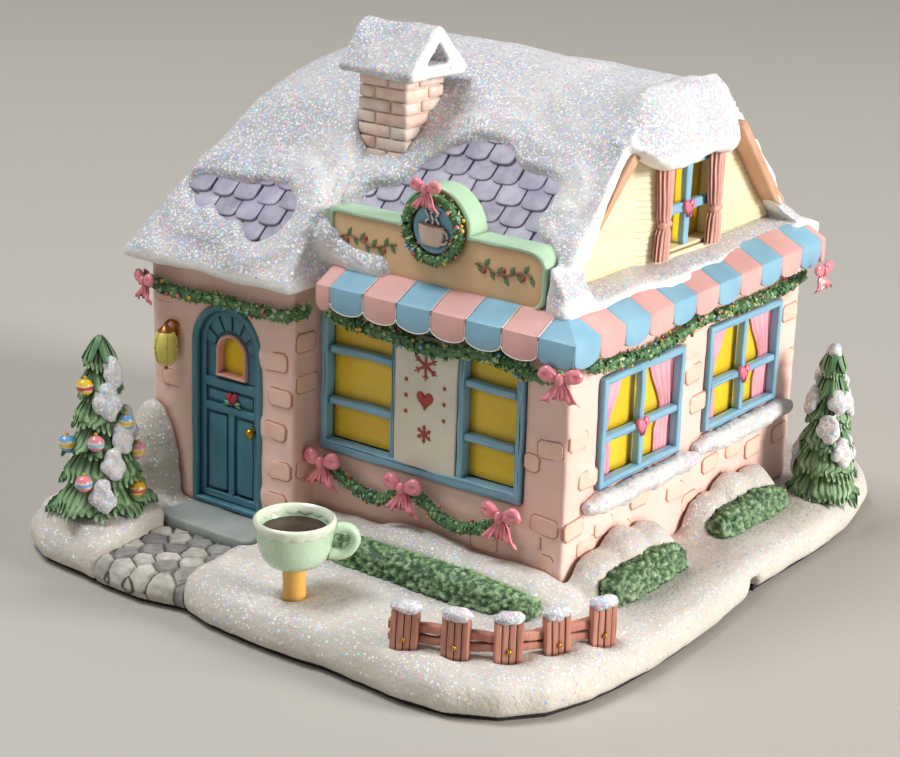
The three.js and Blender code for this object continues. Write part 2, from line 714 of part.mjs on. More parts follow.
function houseWalls() {
  const hollow = [
    [HOUSE_LEFT + WALL_THICK, BAY_FRONT + WALL_THICK], [BAY_RIGHT - WALL_THICK, BAY_FRONT + WALL_THICK],
    [BAY_RIGHT - WALL_THICK, SHOP_FRONT + WALL_THICK], [HOUSE_RIGHT - WALL_THICK, SHOP_FRONT + WALL_THICK],
    [HOUSE_RIGHT - WALL_THICK, HOUSE_BACK - WALL_THICK], [HOUSE_LEFT + WALL_THICK, HOUSE_BACK - WALL_THICK],
  ];
  const shell = prismZ(shapeOf(wallOutline(0), [hollow]), GROUND_TOP, WALL_TOP);
  const doorway = prismY(arch(DOOR_X, DOOR_WIDTH, GROUND_TOP - 1, DOOR_HEIGHT + 1), BAY_FRONT - 2, BAY_FRONT + WALL_THICK + 2);
  const shopOpening = box(SHOP_WINDOW_LEFT, SHOP_WINDOW_LEFT + SHOP_WINDOW_WIDTH, SHOP_FRONT - 2,
    SHOP_FRONT + WALL_THICK + 2, SHOP_WINDOW_SILL, SHOP_WINDOW_SILL + SHOP_WINDOW_HEIGHT);
  const sideOpenings = SIDE_WINDOWS.map(({ y, z }) => box(HOUSE_RIGHT - WALL_THICK - 2, HOUSE_RIGHT + 2,
    y, y + SIDE_WINDOW_WIDTH, z, z + SIDE_WINDOW_HEIGHT));
  return join([shell, ...wallBricks()]).subtract(join([doorway, shopOpening, ...sideOpenings]));
}

// Roof

// Front-to-back section of the snow roof at one station along the ridge
function roofSection({ x, forward, ridge, lean = 0, swell = 0, flare = 0 }) {
  const ys = (z) => HOUSE_MID_Y - 25.5 + (z - WALL_TOP - 39.5) / ROOF_SLOPE - forward - swell;
  const foot = forward > 0 ? BAY_FRONT - BAY_EAVE_REACH : ROOF_FRONT;
  const footTop = forward > 0 ? WALL_TOP + ROOF_EAVE_LIP : SLOPE_FOOT;
  const shoulder = WALL_TOP + 37;
  const front = [[foot, WALL_TOP], [foot, footTop], [ys(shoulder), shoulder]];
  const back = [[2 * HOUSE_MID_Y - ys(shoulder) - forward, shoulder],
    [HOUSE_BACK + BACK_EAVE_REACH, WALL_TOP + 6.5], [HOUSE_BACK + BACK_EAVE_REACH, WALL_TOP]];
  const crown = [0.12, 0.26, 0.45, 0.7, 1].map((t) => [t, shoulder + (ridge - shoulder) * (1 - (1 - t) ** 2.2)]);
  const rise = crown.map(([t, z]) => [ys(shoulder) + (HOUSE_MID_Y - ys(shoulder)) * t, z]);
  const fall = crown.slice(0, -1).reverse()
    .map(([t, z]) => [back[0][0] + (HOUSE_MID_Y - back[0][0]) * t, z]);
  return [...front, ...rise, ...fall, ...back].map(([y, z]) => (
    vec(x + lean * (z - WALL_TOP) + flare * Math.max(0, CHEEK_HEIGHT - z + WALL_TOP), y, z)
  ));
}

const BAY_FORWARD = 6.8;
const CHEEK_HEIGHT = 12;

function roofEnvelope() {
  const stations = [
    { x: HOUSE_LEFT - 3.5, forward: BAY_FORWARD, ridge: RIDGE_TOP - 4.5, lean: HIP_LEAN },
    { x: HOUSE_LEFT + 25, forward: BAY_FORWARD, ridge: RIDGE_TOP - 1.2 },
    { x: BAY_RIGHT - 2.4, forward: BAY_FORWARD, ridge: RIDGE_TOP, flare: 0.55 },
    { x: BAY_RIGHT + 1, forward: 0, ridge: RIDGE_TOP, flare: 0.4 },
    { x: HOUSE_MID_X + 25, forward: 0, ridge: RIDGE_TOP - 1.2 },
    { x: HOUSE_RIGHT - 14, forward: 0, ridge: RIDGE_TOP - 2 },
    { x: HOUSE_RIGHT - 5.4, forward: 0, ridge: RIDGE_TOP - 2.2 },
    { x: HOUSE_RIGHT - 3.6, forward: 0, ridge: RIDGE_TOP - 2.6, swell: 1.6 },
    { x: HOUSE_RIGHT - 0.4, forward: 0, ridge: RIDGE_TOP - 3.4, lean: -0.1, swell: 1.2 },
  ];
  return loft(stations.map(roofSection), (point) => new THREE.Vector2(point.y, point.z));
}

function roofCavity() {
  const inset = WALL_THICK + 0.4;
  const [front, back] = [SHOP_FRONT + inset, HOUSE_BACK - inset];
  const top = WALL_TOP + 37 - ROOF_SHELL;
  const run = (top - WALL_TOP - 4) / 1.19;
  const section = [[front, WALL_TOP - 1], [front, WALL_TOP + 4], [front + run, top],
    [back - run, top], [back, WALL_TOP + 4], [back, WALL_TOP - 1]];
  const ring = (x, lean) => section.map(([y, z]) => vec(x + lean * (z - WALL_TOP), y, z));
  const rings = [ring(HOUSE_LEFT + inset, HIP_LEAN), ring(SIDING_FACE - SIDING_THICK - FIT - 0.2, 0)];
  return loft(rings, (point) => new THREE.Vector2(point.y, point.z));
}

// Outline of the gable siding in (y, z)
function gableOutline(extra) {
  const knee = WALL_TOP + GABLE_KNEE;
  const top = knee + GABLE_HEIGHT + extra;
  const half = GABLE_WIDTH / 2 + extra;
  const run = GABLE_HEIGHT / 1.08;
  return [
    [HOUSE_MID_Y - half, WALL_TOP + GABLE_FOOT - extra], [HOUSE_MID_Y + half, WALL_TOP + GABLE_FOOT - extra],
    [HOUSE_MID_Y + half, knee], [HOUSE_MID_Y + half - run, top],
    [HOUSE_MID_Y - half + run, top], [HOUSE_MID_Y - half, knee],
  ];
}

// Height gained along the side of the house, where awning and snow climb toward the back
function climb(solid) {
  return solid.warp((point) => {
    point[2] += Math.max(0, point[1] - SHOP_FRONT) * SIDE_RISE;
  });
}

function snowLedge() {
  const x0 = HOUSE_RIGHT - 5.2;
  const x1 = HOUSE_RIGHT + 2.5;
  const shape = shapeOf([[x0, WALL_TOP], [x1, WALL_TOP], [x1, WALL_TOP + 8.2], [x1 - 2, WALL_TOP + 10.4],
    [x0, WALL_TOP + 15.6]]);
  const ledge = prismY(shape, ROOF_FRONT, HOUSE_BACK + BACK_EAVE_REACH);
  const lift = box(x0, x1 + 1, ROOF_FRONT - 1, HOUSE_BACK + 9, WALL_TOP, WALL_TOP + 40);
  return climb(ledge).intersect(lift);
}

// Frame lying on a front slope: u runs along +X, v up the slope and w out of it
function slopeMatrix(y, z) {
  const [c, s] = [Math.cos(SLOPE_ANGLE), Math.sin(SLOPE_ANGLE)];
  const matrix = new THREE.Matrix4().makeBasis(vec(1, 0, 0), vec(0, c, s), vec(0, -s, c));
  return matrix.setPosition(0, y, z);
}

const SLOPES = {
  bay: slopeMatrix(HOUSE_MID_Y - 25.5 - BAY_FORWARD + (ROOF_EAVE_LIP - 39.5) / ROOF_SLOPE, WALL_TOP + ROOF_EAVE_LIP),
  shop: slopeMatrix(HOUSE_MID_Y - 25.5 + (9.15 - 39.5) / ROOF_SLOPE, SLOPE_FOOT),
};

// Bare patches where the snow has slid off; points are (u, v) on the slope
const PATCHES = {
  left: {
    matrix: SLOPES.bay,
    points: [[-56, 21], [-50, 14], [-46.5, 15.6], [-40.5, 12.4], [-36, 13.4], [-30.5, 8.6], [-24.5, 12],
      [-22.8, 19], [-28, 24.5], [-41, 23], [-48, 23]].map(([u, v]) => [u - 1, v]),
  },
  right: {
    matrix: SLOPES.shop,
    points: [[-12.5, 5], [40, 4.5], [43, 10], [35, 16], [37.5, 24], [34.5, 28], [24, 29.4], [20, 33.4],
      [12, 34.6], [5, 31], [0, 25], [-3, 19], [-10.5, 16.2]],
  },
};

function patchPrism({ matrix, points }, inset, w0, w1) {
  const outline = grown(smoothOutline(points, 24), -inset);
  const geometry = extruded(shapeOf(outline), w1 - w0);
  geometry.translate(0, 0, w0);
  geometry.applyMatrix4(matrix);
  return toSolid(geometry);
}

// Rows of round-ended shingles, each row lapping over the one below it
function shinglePatch(patch) {
  const us = patch.points.map(([u]) => u);
  const vs = patch.points.map(([, v]) => v);
  const length = SHINGLE_ROW * 1.4;
  const half = SHINGLE_WIDTH / 2;
  const tile = shapeOf([[-half, 0], [half, 0], [half, length - half], [half * 0.5, length - half * 0.13],
    [-half * 0.5, length - half * 0.13], [-half, length - half]]);
  const tiles = [];
  let row = 0;
  for (let v = Math.min(...vs) - SHINGLE_ROW; v < Math.max(...vs); v += SHINGLE_ROW) {
    for (let u = Math.min(...us) - SHINGLE_WIDTH; u < Math.max(...us) + SHINGLE_WIDTH; u += SHINGLE_WIDTH) {
      const geometry = extruded(tile, SHINGLE_THICK);
      geometry.translate(0, -length, -SHINGLE_THICK);
      geometry.rotateX(SHINGLE_TILT);
      geometry.rotateZ(Math.PI);
      geometry.translate(u + (row % 2) * SHINGLE_WIDTH * 0.5, v, 0.1);
      geometry.applyMatrix4(patch.matrix);
      tiles.push(toSolid(geometry));
    }
    row += 1;
  }
  const sheet = patchPrism(patch, FIT, -SHINGLE_POCKET + FIT, -0.65);
  const limit = patchPrism(patch, FIT, -SHINGLE_POCKET + FIT, 2);
  return sheet.add(join(tiles).intersect(limit));
}

// Keeps what lies above the shop's roof slope
function aboveSlope(solid, gap) {
  const geometry = new THREE.BoxGeometry(300, 200, 100);
  geometry.translate(0, 40, gap - 50);
  geometry.applyMatrix4(SLOPES.shop);
  return solid.subtract(toSolid(geometry));
}

const STACK = { x0: BAY_RIGHT - 1.5, y0: HOUSE_MID_Y - 37 };

function stackBlock(extra) {
  const { x0, y0 } = STACK;
  return box(x0 - extra, x0 + STACK_SIDE + extra, y0 - extra, y0 + STACK_SIDE + extra, WALL_TOP, STACK_TOP);
}

function roofCasting() {
  const recess = prismX(shapeOf(gableOutline(FIT)), SIDING_FACE - SIDING_THICK - FIT, HOUSE_RIGHT + 20);
  const pockets = Object.values(PATCHES).map((patch) => patchPrism(patch, 0, -SHINGLE_POCKET, 3));
  const chimneySeat = aboveSlope(stackBlock(FIT), 0);
  const cuts = join([roofCavity(), recess, ...pockets, chimneySeat]);
  return roofEnvelope().add(snowLedge()).subtract(cuts);
}

// Chimney of laid bricks: a mortar core with brick courses standing proud of it
function chimneyStack() {
  const { x0, y0 } = STACK;
  const core = box(x0 + 0.4, x0 + STACK_SIDE - 0.4, y0 + 0.4, y0 + STACK_SIDE - 0.4, SLOPE_FOOT, STACK_TOP);
  const joint = 0.45;
  const bricks = [];
  let course = 0;
  for (let top = STACK_TOP; top > STACK_TOP - 20; top -= COURSE_HEIGHT) {
    const split = STACK_SIDE * (course % 2 ? 0.36 : 0.62);
    const low = top - COURSE_HEIGHT + joint;
    const [xs, ys] = [x0 + split, y0 + STACK_SIDE - split];
    bricks.push(box(x0, xs - joint / 2, y0, ys - joint / 2, low, top));
    bricks.push(box(xs + joint / 2, x0 + STACK_SIDE, y0, ys - joint / 2, low, top));
    bricks.push(box(x0, xs - joint / 2, ys + joint / 2, y0 + STACK_SIDE, low, top));
    bricks.push(box(xs + joint / 2, x0 + STACK_SIDE, ys + joint / 2, y0 + STACK_SIDE, low, top));
    course += 1;
  }
  return aboveSlope(join([core, ...bricks]), FIT);
}

// Little snow-covered gabled hood, open at its right-hand end
function chimneyCap() {
  const [x0, x1] = [STACK.x0 - CAP_OVERHANG, STACK.x0 + STACK_SIDE + CAP_OVERHANG];
  const [y0, y1] = [STACK.y0 - CAP_OVERHANG, STACK.y0 + STACK_SIDE + CAP_OVERHANG];
  const mid = (y0 + y1) / 2;
  const top = STACK_TOP + CAP_HEIGHT;
  const lip = 1.6;
  const outer = shapeOf([[y0 + 1, STACK_TOP], [y1 - 1, STACK_TOP], [y1, STACK_TOP + lip],
    [mid + 2.2, top - 1], [mid, top], [mid - 2.2, top - 1], [y0, STACK_TOP + lip]]);
  const mouth = shapeOf([[mid - 4.4, STACK_TOP + 3], [mid + 4.4, STACK_TOP + 3], [mid, top - 3]]);
  return prismX(outer, x0, x1).subtract(prismX(mouth, x1 - 5, x1 + 1));
}

// Gable: lapped boards, window and curtains

const GABLE_WINDOW = {
  y: HOUSE_MID_Y + 1,
  z: WALL_TOP + GABLE_FOOT + GABLE_WINDOW_SILL + GABLE_WINDOW_HEIGHT / 2,
  width: GABLE_WINDOW_WIDTH,
  height: GABLE_WINDOW_HEIGHT,
};

function gableSiding() {
  const low = WALL_TOP + GABLE_FOOT - 1;
  const shape = [[SIDING_FACE - SIDING_THICK, low], [SIDING_FACE - 0.5, low]];
  for (let z = low; z < low + GABLE_HEIGHT + 9; z += BOARD_HEIGHT) {
    shape.push([SIDING_FACE, z + 0.1], [SIDING_FACE - 0.5, z + BOARD_HEIGHT]);
  }
  shape.push([SIDING_FACE - SIDING_THICK, shape.at(-1)[1]]);
  const boards = prismY(shapeOf(shape), SHOP_FRONT - 20, HOUSE_BACK + 20);
  const plate = boards.intersect(prismX(shapeOf(gableOutline(0)), HOUSE_MID_X, HOUSE_RIGHT + 20));
  const { y, z, width, height } = GABLE_WINDOW;
  const opening = box(HOUSE_MID_X, HOUSE_RIGHT + 10, y - width / 2, y + width / 2, z - height / 2, z + height / 2);
  return plate.subtract(opening);
}

function heart(y, z, size) {
  const shape = new THREE.Shape();
  shape.moveTo(y, z - size);
  shape.bezierCurveTo(y - 2 * size, z + size * 0.4, y - 0.7 * size, z + 1.5 * size, y, z + size * 0.55);
  shape.bezierCurveTo(y + 0.7 * size, z + 1.5 * size, y + 2 * size, z + size * 0.4, y, z - size);
  return shape;
}

function gableFrame() {
  const { y, z, width, height } = GABLE_WINDOW;
  const [x0, x1] = [SIDING_FACE - 1.4, SIDING_FACE - 0.6];
  const [h, w] = [height / 2 - FIT, width / 2 - FIT];
  return join([
    box(x0, x1, y - BAR_WIDTH / 2, y + BAR_WIDTH / 2, z - h, z + h),
    box(x0, x1, y - w, y + w, z - BAR_WIDTH / 2, z + BAR_WIDTH / 2),
    box(x0, x1, y - w, y + w, z + h - 1.6, z + h),
    prismX(heart(y, z - 0.4, 1.9), x0, x1 + 0.7, 4),
  ]);
}

function gablePane() {
  const { y, z, width, height } = GABLE_WINDOW;
  const [h, w] = [height / 2 - FIT, width / 2 - FIT];
  return box(SIDING_FACE - SIDING_THICK, SIDING_FACE - 1.7, y - w, y + w, z - h, z + h);
}

// Curtain gathered at a tie: full above and below it, with folds down its length
function tiedCurtain(side) {
  const { y, z, width, height } = GABLE_WINDOW;
  const count = 6;
  const sides = 10;
  const bottom = z - height / 2 - 0.4;
  const rings = Array.from({ length: count }, (_, i) => {
    const share = i / (count - 1);
    const pinch = Math.exp(-(((share - 0.42) / 0.09) ** 2));
    const half = 2.2 - 0.9 * pinch;
    const mid = y + side * (width / 2 - 0.4);
    return Array.from({ length: sides }, (__, k) => {
      const turn = (2 * Math.PI * k) / sides;
      const fold = 1 + 0.12 * Math.cos(turn * 5);
      return vec(SIDING_FACE + FIT + 1.3 + 1.2 * fold * Math.sin(turn), mid + half * fold * Math.cos(turn),
        bottom + share * height);
    });
  });
  return loft(rings, (point) => new THREE.Vector2(point.x, point.y));
}

// Awning: a wedge under the eave with a hanging valance cut into scallops, one to each stripe

function awningWedge(flip) {
  const [r, t] = [AWNING_REACH, VALANCE_THICK];
  const drop = AWNING_FOLD - VALANCE_DROP;
  const eave = 2.5 + FIT;
  const points = [
    [FIT, WALL_TOP - 2], [r - t, WALL_TOP - 2], [r - t, drop - SCALLOP_DEPTH], [r, drop - SCALLOP_DEPTH],
    [r, AWNING_FOLD], [eave, AWNING_FOLD + 5], [eave, WALL_TOP - FIT], [FIT, WALL_TOP - FIT],
  ];
  return shapeOf(flip ? points.map(([out, z]) => [SHOP_FRONT - out, z]) : points.map(([out, z]) => [HOUSE_RIGHT + out, z]));
}

// Everything below a row of scallops, as a cutter across the valance
function scallopCutter(start, pitch, count) {
  const low = AWNING_FOLD - VALANCE_DROP;
  const shape = new THREE.Shape();
  shape.moveTo(start, low - 10);
  shape.lineTo(start, low);
  for (let i = 0; i < count; i += 1) {
    const x = start + (i + 0.5) * pitch;
    for (let k = 1; k <= 5; k += 1) {
      const turn = Math.PI * (1 - k / 5);
      shape.lineTo(x + (pitch / 2) * Math.cos(turn), low - SCALLOP_DEPTH * Math.sin(turn));
    }
  }
  shape.lineTo(start + count * pitch, low - 10);
  return shape;
}

function awning() {
  const start = BAY_RIGHT + 6.4;
  const cornerX = HOUSE_RIGHT + AWNING_REACH;
  const cornerY = SHOP_FRONT - AWNING_REACH;
  const sideEnd = HOUSE_BACK - 1;
  const frontPitch = (cornerX - start) / FRONT_STRIPES;
  const sidePitch = (sideEnd - cornerY) / SIDE_STRIPES;
  const front = prismX(awningWedge(true), start, cornerX)
    .subtract(prismY(scallopCutter(start, frontPitch, FRONT_STRIPES), cornerY - 1, cornerY + VALANCE_THICK + 0.5));
  const side = prismY(awningWedge(false), cornerY, sideEnd)
    .subtract(prismX(scallopCutter(cornerY, sidePitch, SIDE_STRIPES), cornerX - VALANCE_THICK - 0.5, cornerX + 1));
  const groove = 0.35;
  const frontGrooves = Array.from({ length: FRONT_STRIPES - 1 }, (_, i) => {
    const x = start + (i + 1) * frontPitch;
    return box(x - groove / 2, x + groove / 2, cornerY - 1, cornerY + 0.3, 0, AWNING_FOLD + 0.5);
  });
  const sideGrooves = Array.from({ length: SIDE_STRIPES - 1 }, (_, i) => {
    const y = cornerY + (i + 1) * sidePitch;
    return box(cornerX - 0.3, cornerX + 1, y - groove / 2, y + groove / 2, 0, AWNING_FOLD + 0.5);
  });
  const frontHalf = front.subtract(join(frontGrooves)).intersect(cornerHalf(-1));
  const sideHalf = climb(side.subtract(join(sideGrooves))).intersect(cornerHalf(1));
  const roofRoom = box(HOUSE_MID_X, HOUSE_RIGHT + 2.5 + FIT, ROOF_FRONT - FIT, HOUSE_BACK + 20, WALL_TOP - FIT, 200);
  return frontHalf.add(sideHalf).subtract(roofRoom);
}

// All that lies on one side of the mitre at the house corner: -1 the front's side, 1 the side wall's.
// The two halves lap over each other a little, so that they join into one casting.
function cornerHalf(side) {
  const far = 300;
  const points = [[-far, far], [far * side, far * side], [far, -far]];
  const [x0, y0] = [HOUSE_RIGHT, SHOP_FRONT].map((corner) => corner - side * MITRE_LAP);
  return prismZ(shapeOf(points.map(([x, y]) => [x0 + x, y0 + y])), 0, far);
}

// Sign: a board with a round top, standing on the slope above the awning

const SIGN_LEFT = BAY_RIGHT + 4.4;
const SIGN = { x: BAY_RIGHT + 34.4, y: SHOP_FRONT - 2, z: WALL_TOP + 18.6 };

function signBlank(inset, y0, y1) {
  const [x0, x1] = [SIGN_LEFT + inset, SIGN_LEFT + SIGN_WIDTH - inset];
  const [z0, z1] = [SIGN.z - SIGN_HEIGHT + inset, SIGN.z - inset];
  const corner = 4.4;
  const bar = shapeOf([[x0, z0], [x1 - corner, z0]]);
  bar.absarc(x1 - corner, z0 + corner, corner, -Math.PI / 2, 0, false);
  bar.absarc(x1 - corner, z1 - corner, corner, 0, Math.PI / 2, false);
  bar.lineTo(x0, z1);
  const round = new THREE.Shape().absarc(SIGN.x, SIGN.z, SIGN_ROUND - inset, 0, 2 * Math.PI, false);
  return prismY(bar, y0, y1, 5).add(prismY(round, y0, y1, 14));
}

function signBoard() {
  const rim = 0.6;
  const back = SIGN.y + SIGN_THICK;
  const blank = signBlank(0, SIGN.y - rim, back).subtract(signBlank(1, SIGN.y - 2 * rim, SIGN.y));
  return aboveSlope(blank, FIT + 0.2);
}

// Ring of leaves: a closed tube whose thickness rises and falls
function signWreath() {
  const count = 20;
  const sides = 5;
  const rings = Array.from({ length: count }, (_, i) => {
    const turn = (2 * Math.PI * i) / count;
    const radius = WREATH_TUBE * (i % 2 ? 0.86 : 1);
    return Array.from({ length: sides }, (__, k) => {
      const around = (2 * Math.PI * k) / sides;
      const out = WREATH_RADIUS + radius * Math.cos(around);
      return vec(SIGN.x + out * Math.cos(turn), SIGN.y - WREATH_TUBE - FIT + radius * Math.sin(around),
        SIGN.z + out * Math.sin(turn));
    });
  });
  return closedTube(rings);
}

function closedTube(rings) {
  const size = rings[0].length;
  const index = [];
  rings.forEach((_, r) => {
    for (let i = 0; i < size; i += 1) {
      const [a, b] = [r * size + i, r * size + ((i + 1) % size)];
      const after = (r + 1) % rings.length;
      const [c, d] = [after * size + ((i + 1) % size), after * size + i];
      index.push(a, b, c, a, c, d);
    }
  });
  const geometry = new THREE.BufferGeometry();
  const positions = rings.flat().flatMap((point) => point.toArray());
  geometry.setAttribute('position', new THREE.BufferAttribute(new Float32Array(positions), 3));
  geometry.setIndex(index);
  return toSolid(geometry);
}

// Disc with a plain mug and three wisps of steam in relief
function signMedallion() {
  const face = SIGN.y - 1.2;
  const round = new THREE.Shape().absarc(SIGN.x, SIGN.z, WREATH_RADIUS - WREATH_TUBE - 0.4, 0, 2 * Math.PI, false);
  const disc = prismY(round, face, SIGN.y, 12);
  const [x, z] = [SIGN.x - 0.4, SIGN.z];
  const mug = shapeOf([[x - 1.4, z - 3], [x + 1.4, z - 3], [x + 2.3, z], [x - 2.3, z]]);
  const grip = new THREE.Shape().absarc(x + 2.3, z - 1.3, 1.2, 0, 2 * Math.PI, false);
  grip.holes = [new THREE.Path().absarc(x + 2.3, z - 1.3, 0.5, 0, 2 * Math.PI, true)];
  const wisps = [-1.2, 0, 1.2].map((shift) => box(x + shift - 0.25, x + shift + 0.25, face - 0.4, face, z + 0.6, z + 2.6));
  return join([disc, prismY(mug, face - 0.8, face + 0.1), prismY(grip, face - 0.5, face + 0.1, 5),
    ...wisps.map((wisp) => wisp.translate(0, 0.1, 0))]);
}

// Shop window

const SHOP_GLAZING = {
  left: [3, 20.9],
  menu: [21.9, 21.9 + MENU_WIDTH + 0.2],
  right: [41.5, 55.4],
};

function shopSpan([from, to], z0, z1, y0, y1, inset = 0) {
  return box(SHOP_WINDOW_LEFT + from + inset, SHOP_WINDOW_LEFT + to - inset, y0, y1, z0 + inset, z1 - inset);
}

function shopFrame() {
  const [x0, x1] = [SHOP_WINDOW_LEFT + FIT, SHOP_WINDOW_LEFT + SHOP_WINDOW_WIDTH - FIT];
  const [z0, z1] = [SHOP_WINDOW_SILL + FIT, SHOP_WINDOW_SILL + SHOP_WINDOW_HEIGHT - FIT];
  const [y0, y1] = [SHOP_FRONT - FRAME_PROUD, SHOP_FRONT - FRAME_PROUD + FRAME_THICK];
  const blank = box(x0, x1, y0, y1, z0, z1);
  const low = SHOP_WINDOW_SILL + 4;
  const high = SHOP_WINDOW_SILL + SHOP_WINDOW_HEIGHT - 1.6;
  const holes = [
    shopSpan(SHOP_GLAZING.left, low, high, y0 - 1, y1 + 1),
    shopSpan(SHOP_GLAZING.right, low, high, y0 - 1, y1 + 1),
    shopSpan(SHOP_GLAZING.menu, SHOP_WINDOW_SILL + 1.4, high, y0 - 1, y1 + 1),
  ];
  const bars = [0.35, 0.7].flatMap((share) => [SHOP_GLAZING.left, SHOP_GLAZING.right].map((span) => {
    const z = SHOP_WINDOW_SILL + SHOP_WINDOW_HEIGHT * share;
    return shopSpan(span, z - BAR_WIDTH / 2, z + BAR_WIDTH / 2, y0 + 0.4, y1 - 0.6, -0.1);
  }));
  return join([blank.subtract(join(holes)), ...bars]);
}

function shopPane(span) {
  const y = SHOP_FRONT - FRAME_PROUD + FRAME_THICK;
  return shopSpan(span, SHOP_WINDOW_SILL + 4, SHOP_WINDOW_SILL + SHOP_WINDOW_HEIGHT - 1.6, y, y + PANE_THICK, -0.8);
}

function menuPanel() {
  const y = SHOP_FRONT - FRAME_PROUD - 0.3;
  const top = SHOP_WINDOW_SILL + SHOP_WINDOW_HEIGHT - 1.6;
  return shopSpan(SHOP_GLAZING.menu, SHOP_WINDOW_SILL + 1.4, top, y, y + 2 * PANE_THICK, FIT);
}

// Side windows

const SIDE_FRAME_THICK = 1.6;
const SIDE_FRAME_BACK = HOUSE_RIGHT + FRAME_PROUD - SIDE_FRAME_THICK;

function sideFrame({ y, z }) {
  const [x0, x1] = [SIDE_FRAME_BACK, SIDE_FRAME_BACK + SIDE_FRAME_THICK];
  const [y0, y1] = [y + FIT, y + SIDE_WINDOW_WIDTH - FIT];
  const [z0, z1] = [z + FIT, z + SIDE_WINDOW_HEIGHT - FIT];
  const bar = 2.4;
  const [midY, midZ] = [(y0 + y1) / 2, z + SIDE_WINDOW_HEIGHT * 0.43];
  const ring = box(x0, x1, y0, y1, z0, z1).subtract(box(x0 - 1, x1 + 1, y0 + bar, y1 - bar, z0 + bar, z1 - bar));
  return join([
    ring,
    box(x0, x1, midY - BAR_WIDTH / 2, midY + BAR_WIDTH / 2, z0 + 1, z1 - 1),
    box(x0, x1, y0 + 1, y1 - 1, midZ - BAR_WIDTH / 2, midZ + BAR_WIDTH / 2),
    prismX(heart(midY, midZ - 0.3, 2), x1 - 0.2, x1 + 0.7, 4),
  ]);
}

function sidePane({ y, z }) {
  const x1 = SIDE_FRAME_BACK - 1.4;
  return box(x1 - PANE_THICK, x1, y + FIT, y + SIDE_WINDOW_WIDTH - FIT, z + FIT, z + SIDE_WINDOW_HEIGHT - FIT);
}

// Two drapes drawn aside under one pelmet, so that they are a single casting
function sideCurtains({ y, z }) {
  const [back, face] = [SIDE_FRAME_BACK - 1.2, SIDE_FRAME_BACK - 0.25];
  const top = z + SIDE_WINDOW_HEIGHT - 1.2;
  const bottom = z + 4.5;
  const drapes = [1, -1].map((side) => {
    const edge = side > 0 ? y + 1.2 : y + SIDE_WINDOW_WIDTH - 1.2;
    const rings = Array.from({ length: 4 }, (_, i) => {
      const share = i / 3;
      const width = 6.2 + 4.6 * Math.sin((share * Math.PI) / 2) ** 2;
      const height = bottom + (top - bottom) * share;
      const front = Array.from({ length: 7 }, (__, k) => (
        vec(face - (k % 2) * 0.5, edge + side * width * (k / 6), height)
      ));
      const rear = [vec(back, edge + side * width, height), vec(back, edge, height)];
      return [...front, ...rear];
    });
    return loft(rings, (point) => new THREE.Vector2(point.x, point.y));
  });
  const pelmet = box(back, face, y + 1.2, y + SIDE_WINDOW_WIDTH - 1.2, top - 1.6, top);
  return join([...drapes, pelmet]);
}

// Roll of snow lying along under a side window
function sideSill({ y, z }) {
  const count = 10;
  const points = [];
  const radii = [];
  for (let i = 0; i <= count; i += 1) {
    const share = i / count;
    points.push(vec(HOUSE_RIGHT + 1.2, y - 4.6 + share * SIDE_SILL_LENGTH, z - 2.6 + 0.25 * Math.sin(i * 1.7)));
    radii.push(SIDE_SILL_RADIUS * (0.4 + 0.6 * Math.sin(Math.PI * share) ** 0.35) * (1 + 0.06 * Math.sin(i * 2.3)));
  }
  const keep = box(HOUSE_RIGHT + FIT, HOUSE_RIGHT + 10, y - 20, y + 60, z - 8, z - 0.4);
  return tube(points, radii, 6).intersect(keep);
}

// Door

const DOOR_PANE = { x: DOOR_X + 0.5, z: GROUND_TOP + 33.4, height: 10.2 };

function doorLeaf() {
  const [face, back] = [LEAF_FACE, LEAF_FACE + DOOR_LEAF_THICK];
  const foot = GROUND_TOP + 0.6;
  const leaf = prismY(arch(DOOR_X, DOOR_WIDTH - 2 * FIT, foot, DOOR_HEIGHT - 0.6 - FIT), face, back, 16);
  const relief = 0.5;
  const { x, z, height } = DOOR_PANE;
  const panels = [
    box(x - 8, x - 0.9, face - 1, face + relief, foot + 2.6, foot + 22.6),
    box(x + 0.9, x + 7.6, face - 1, face + relief, foot + 2.6, foot + 22.6),
    box(x - 8, x + 7.6, face - 1, face + relief, foot + 25.6, foot + 31),
  ];
  const fan = prismY(arch(x, 15.6, z - 0.6, height + 5.4), face - 1, face + relief, 12);
  const surround = prismY(arch(x, DOOR_PANE_WIDTH + 2.4, z - 1.2, height + 2.4), face - 2, back, 10);
  const rays = [-60, -30, 0, 30, 60].map((angle) => {
    const geometry = new THREE.BoxGeometry(0.7, relief * 2, 9);
    geometry.translate(0, 0, 4.5);
    geometry.rotateY((angle * Math.PI) / 180);
    geometry.translate(x, face + relief, z + height - DOOR_PANE_WIDTH / 2);
    return toSolid(geometry);
  });
  const plate = join([leaf.subtract(join([...panels, fan.subtract(surround)])), ...rays]);
  const hole = prismY(arch(x, DOOR_PANE_WIDTH, z, height), face - 2, back + 1, 10);
  const emblem = prismY(heart(x, foot + 28.4, 1.7), face - 0.1, face + relief + 0.1, 4);
  return plate.subtract(hole).add(emblem);
}

function doorPane() {
  const back = LEAF_FACE + DOOR_LEAF_THICK;
  const { x, z, height } = DOOR_PANE;
  return prismY(arch(x, DOOR_PANE_WIDTH + 1.6, z - 0.8, height + 1.6), back, back + PANE_THICK, 8);
}

// Solid turned about an axis that points out of the front, from its back flat to its tip
function turnedOut(profile, x, z, segments) {
  const points = profile.map(([radius, y]) => new THREE.Vector2(radius, y));
  const geometry = new THREE.LatheGeometry(points, segments);
  geometry.translate(x, 0, z);
  return toSolid(geometry);
}

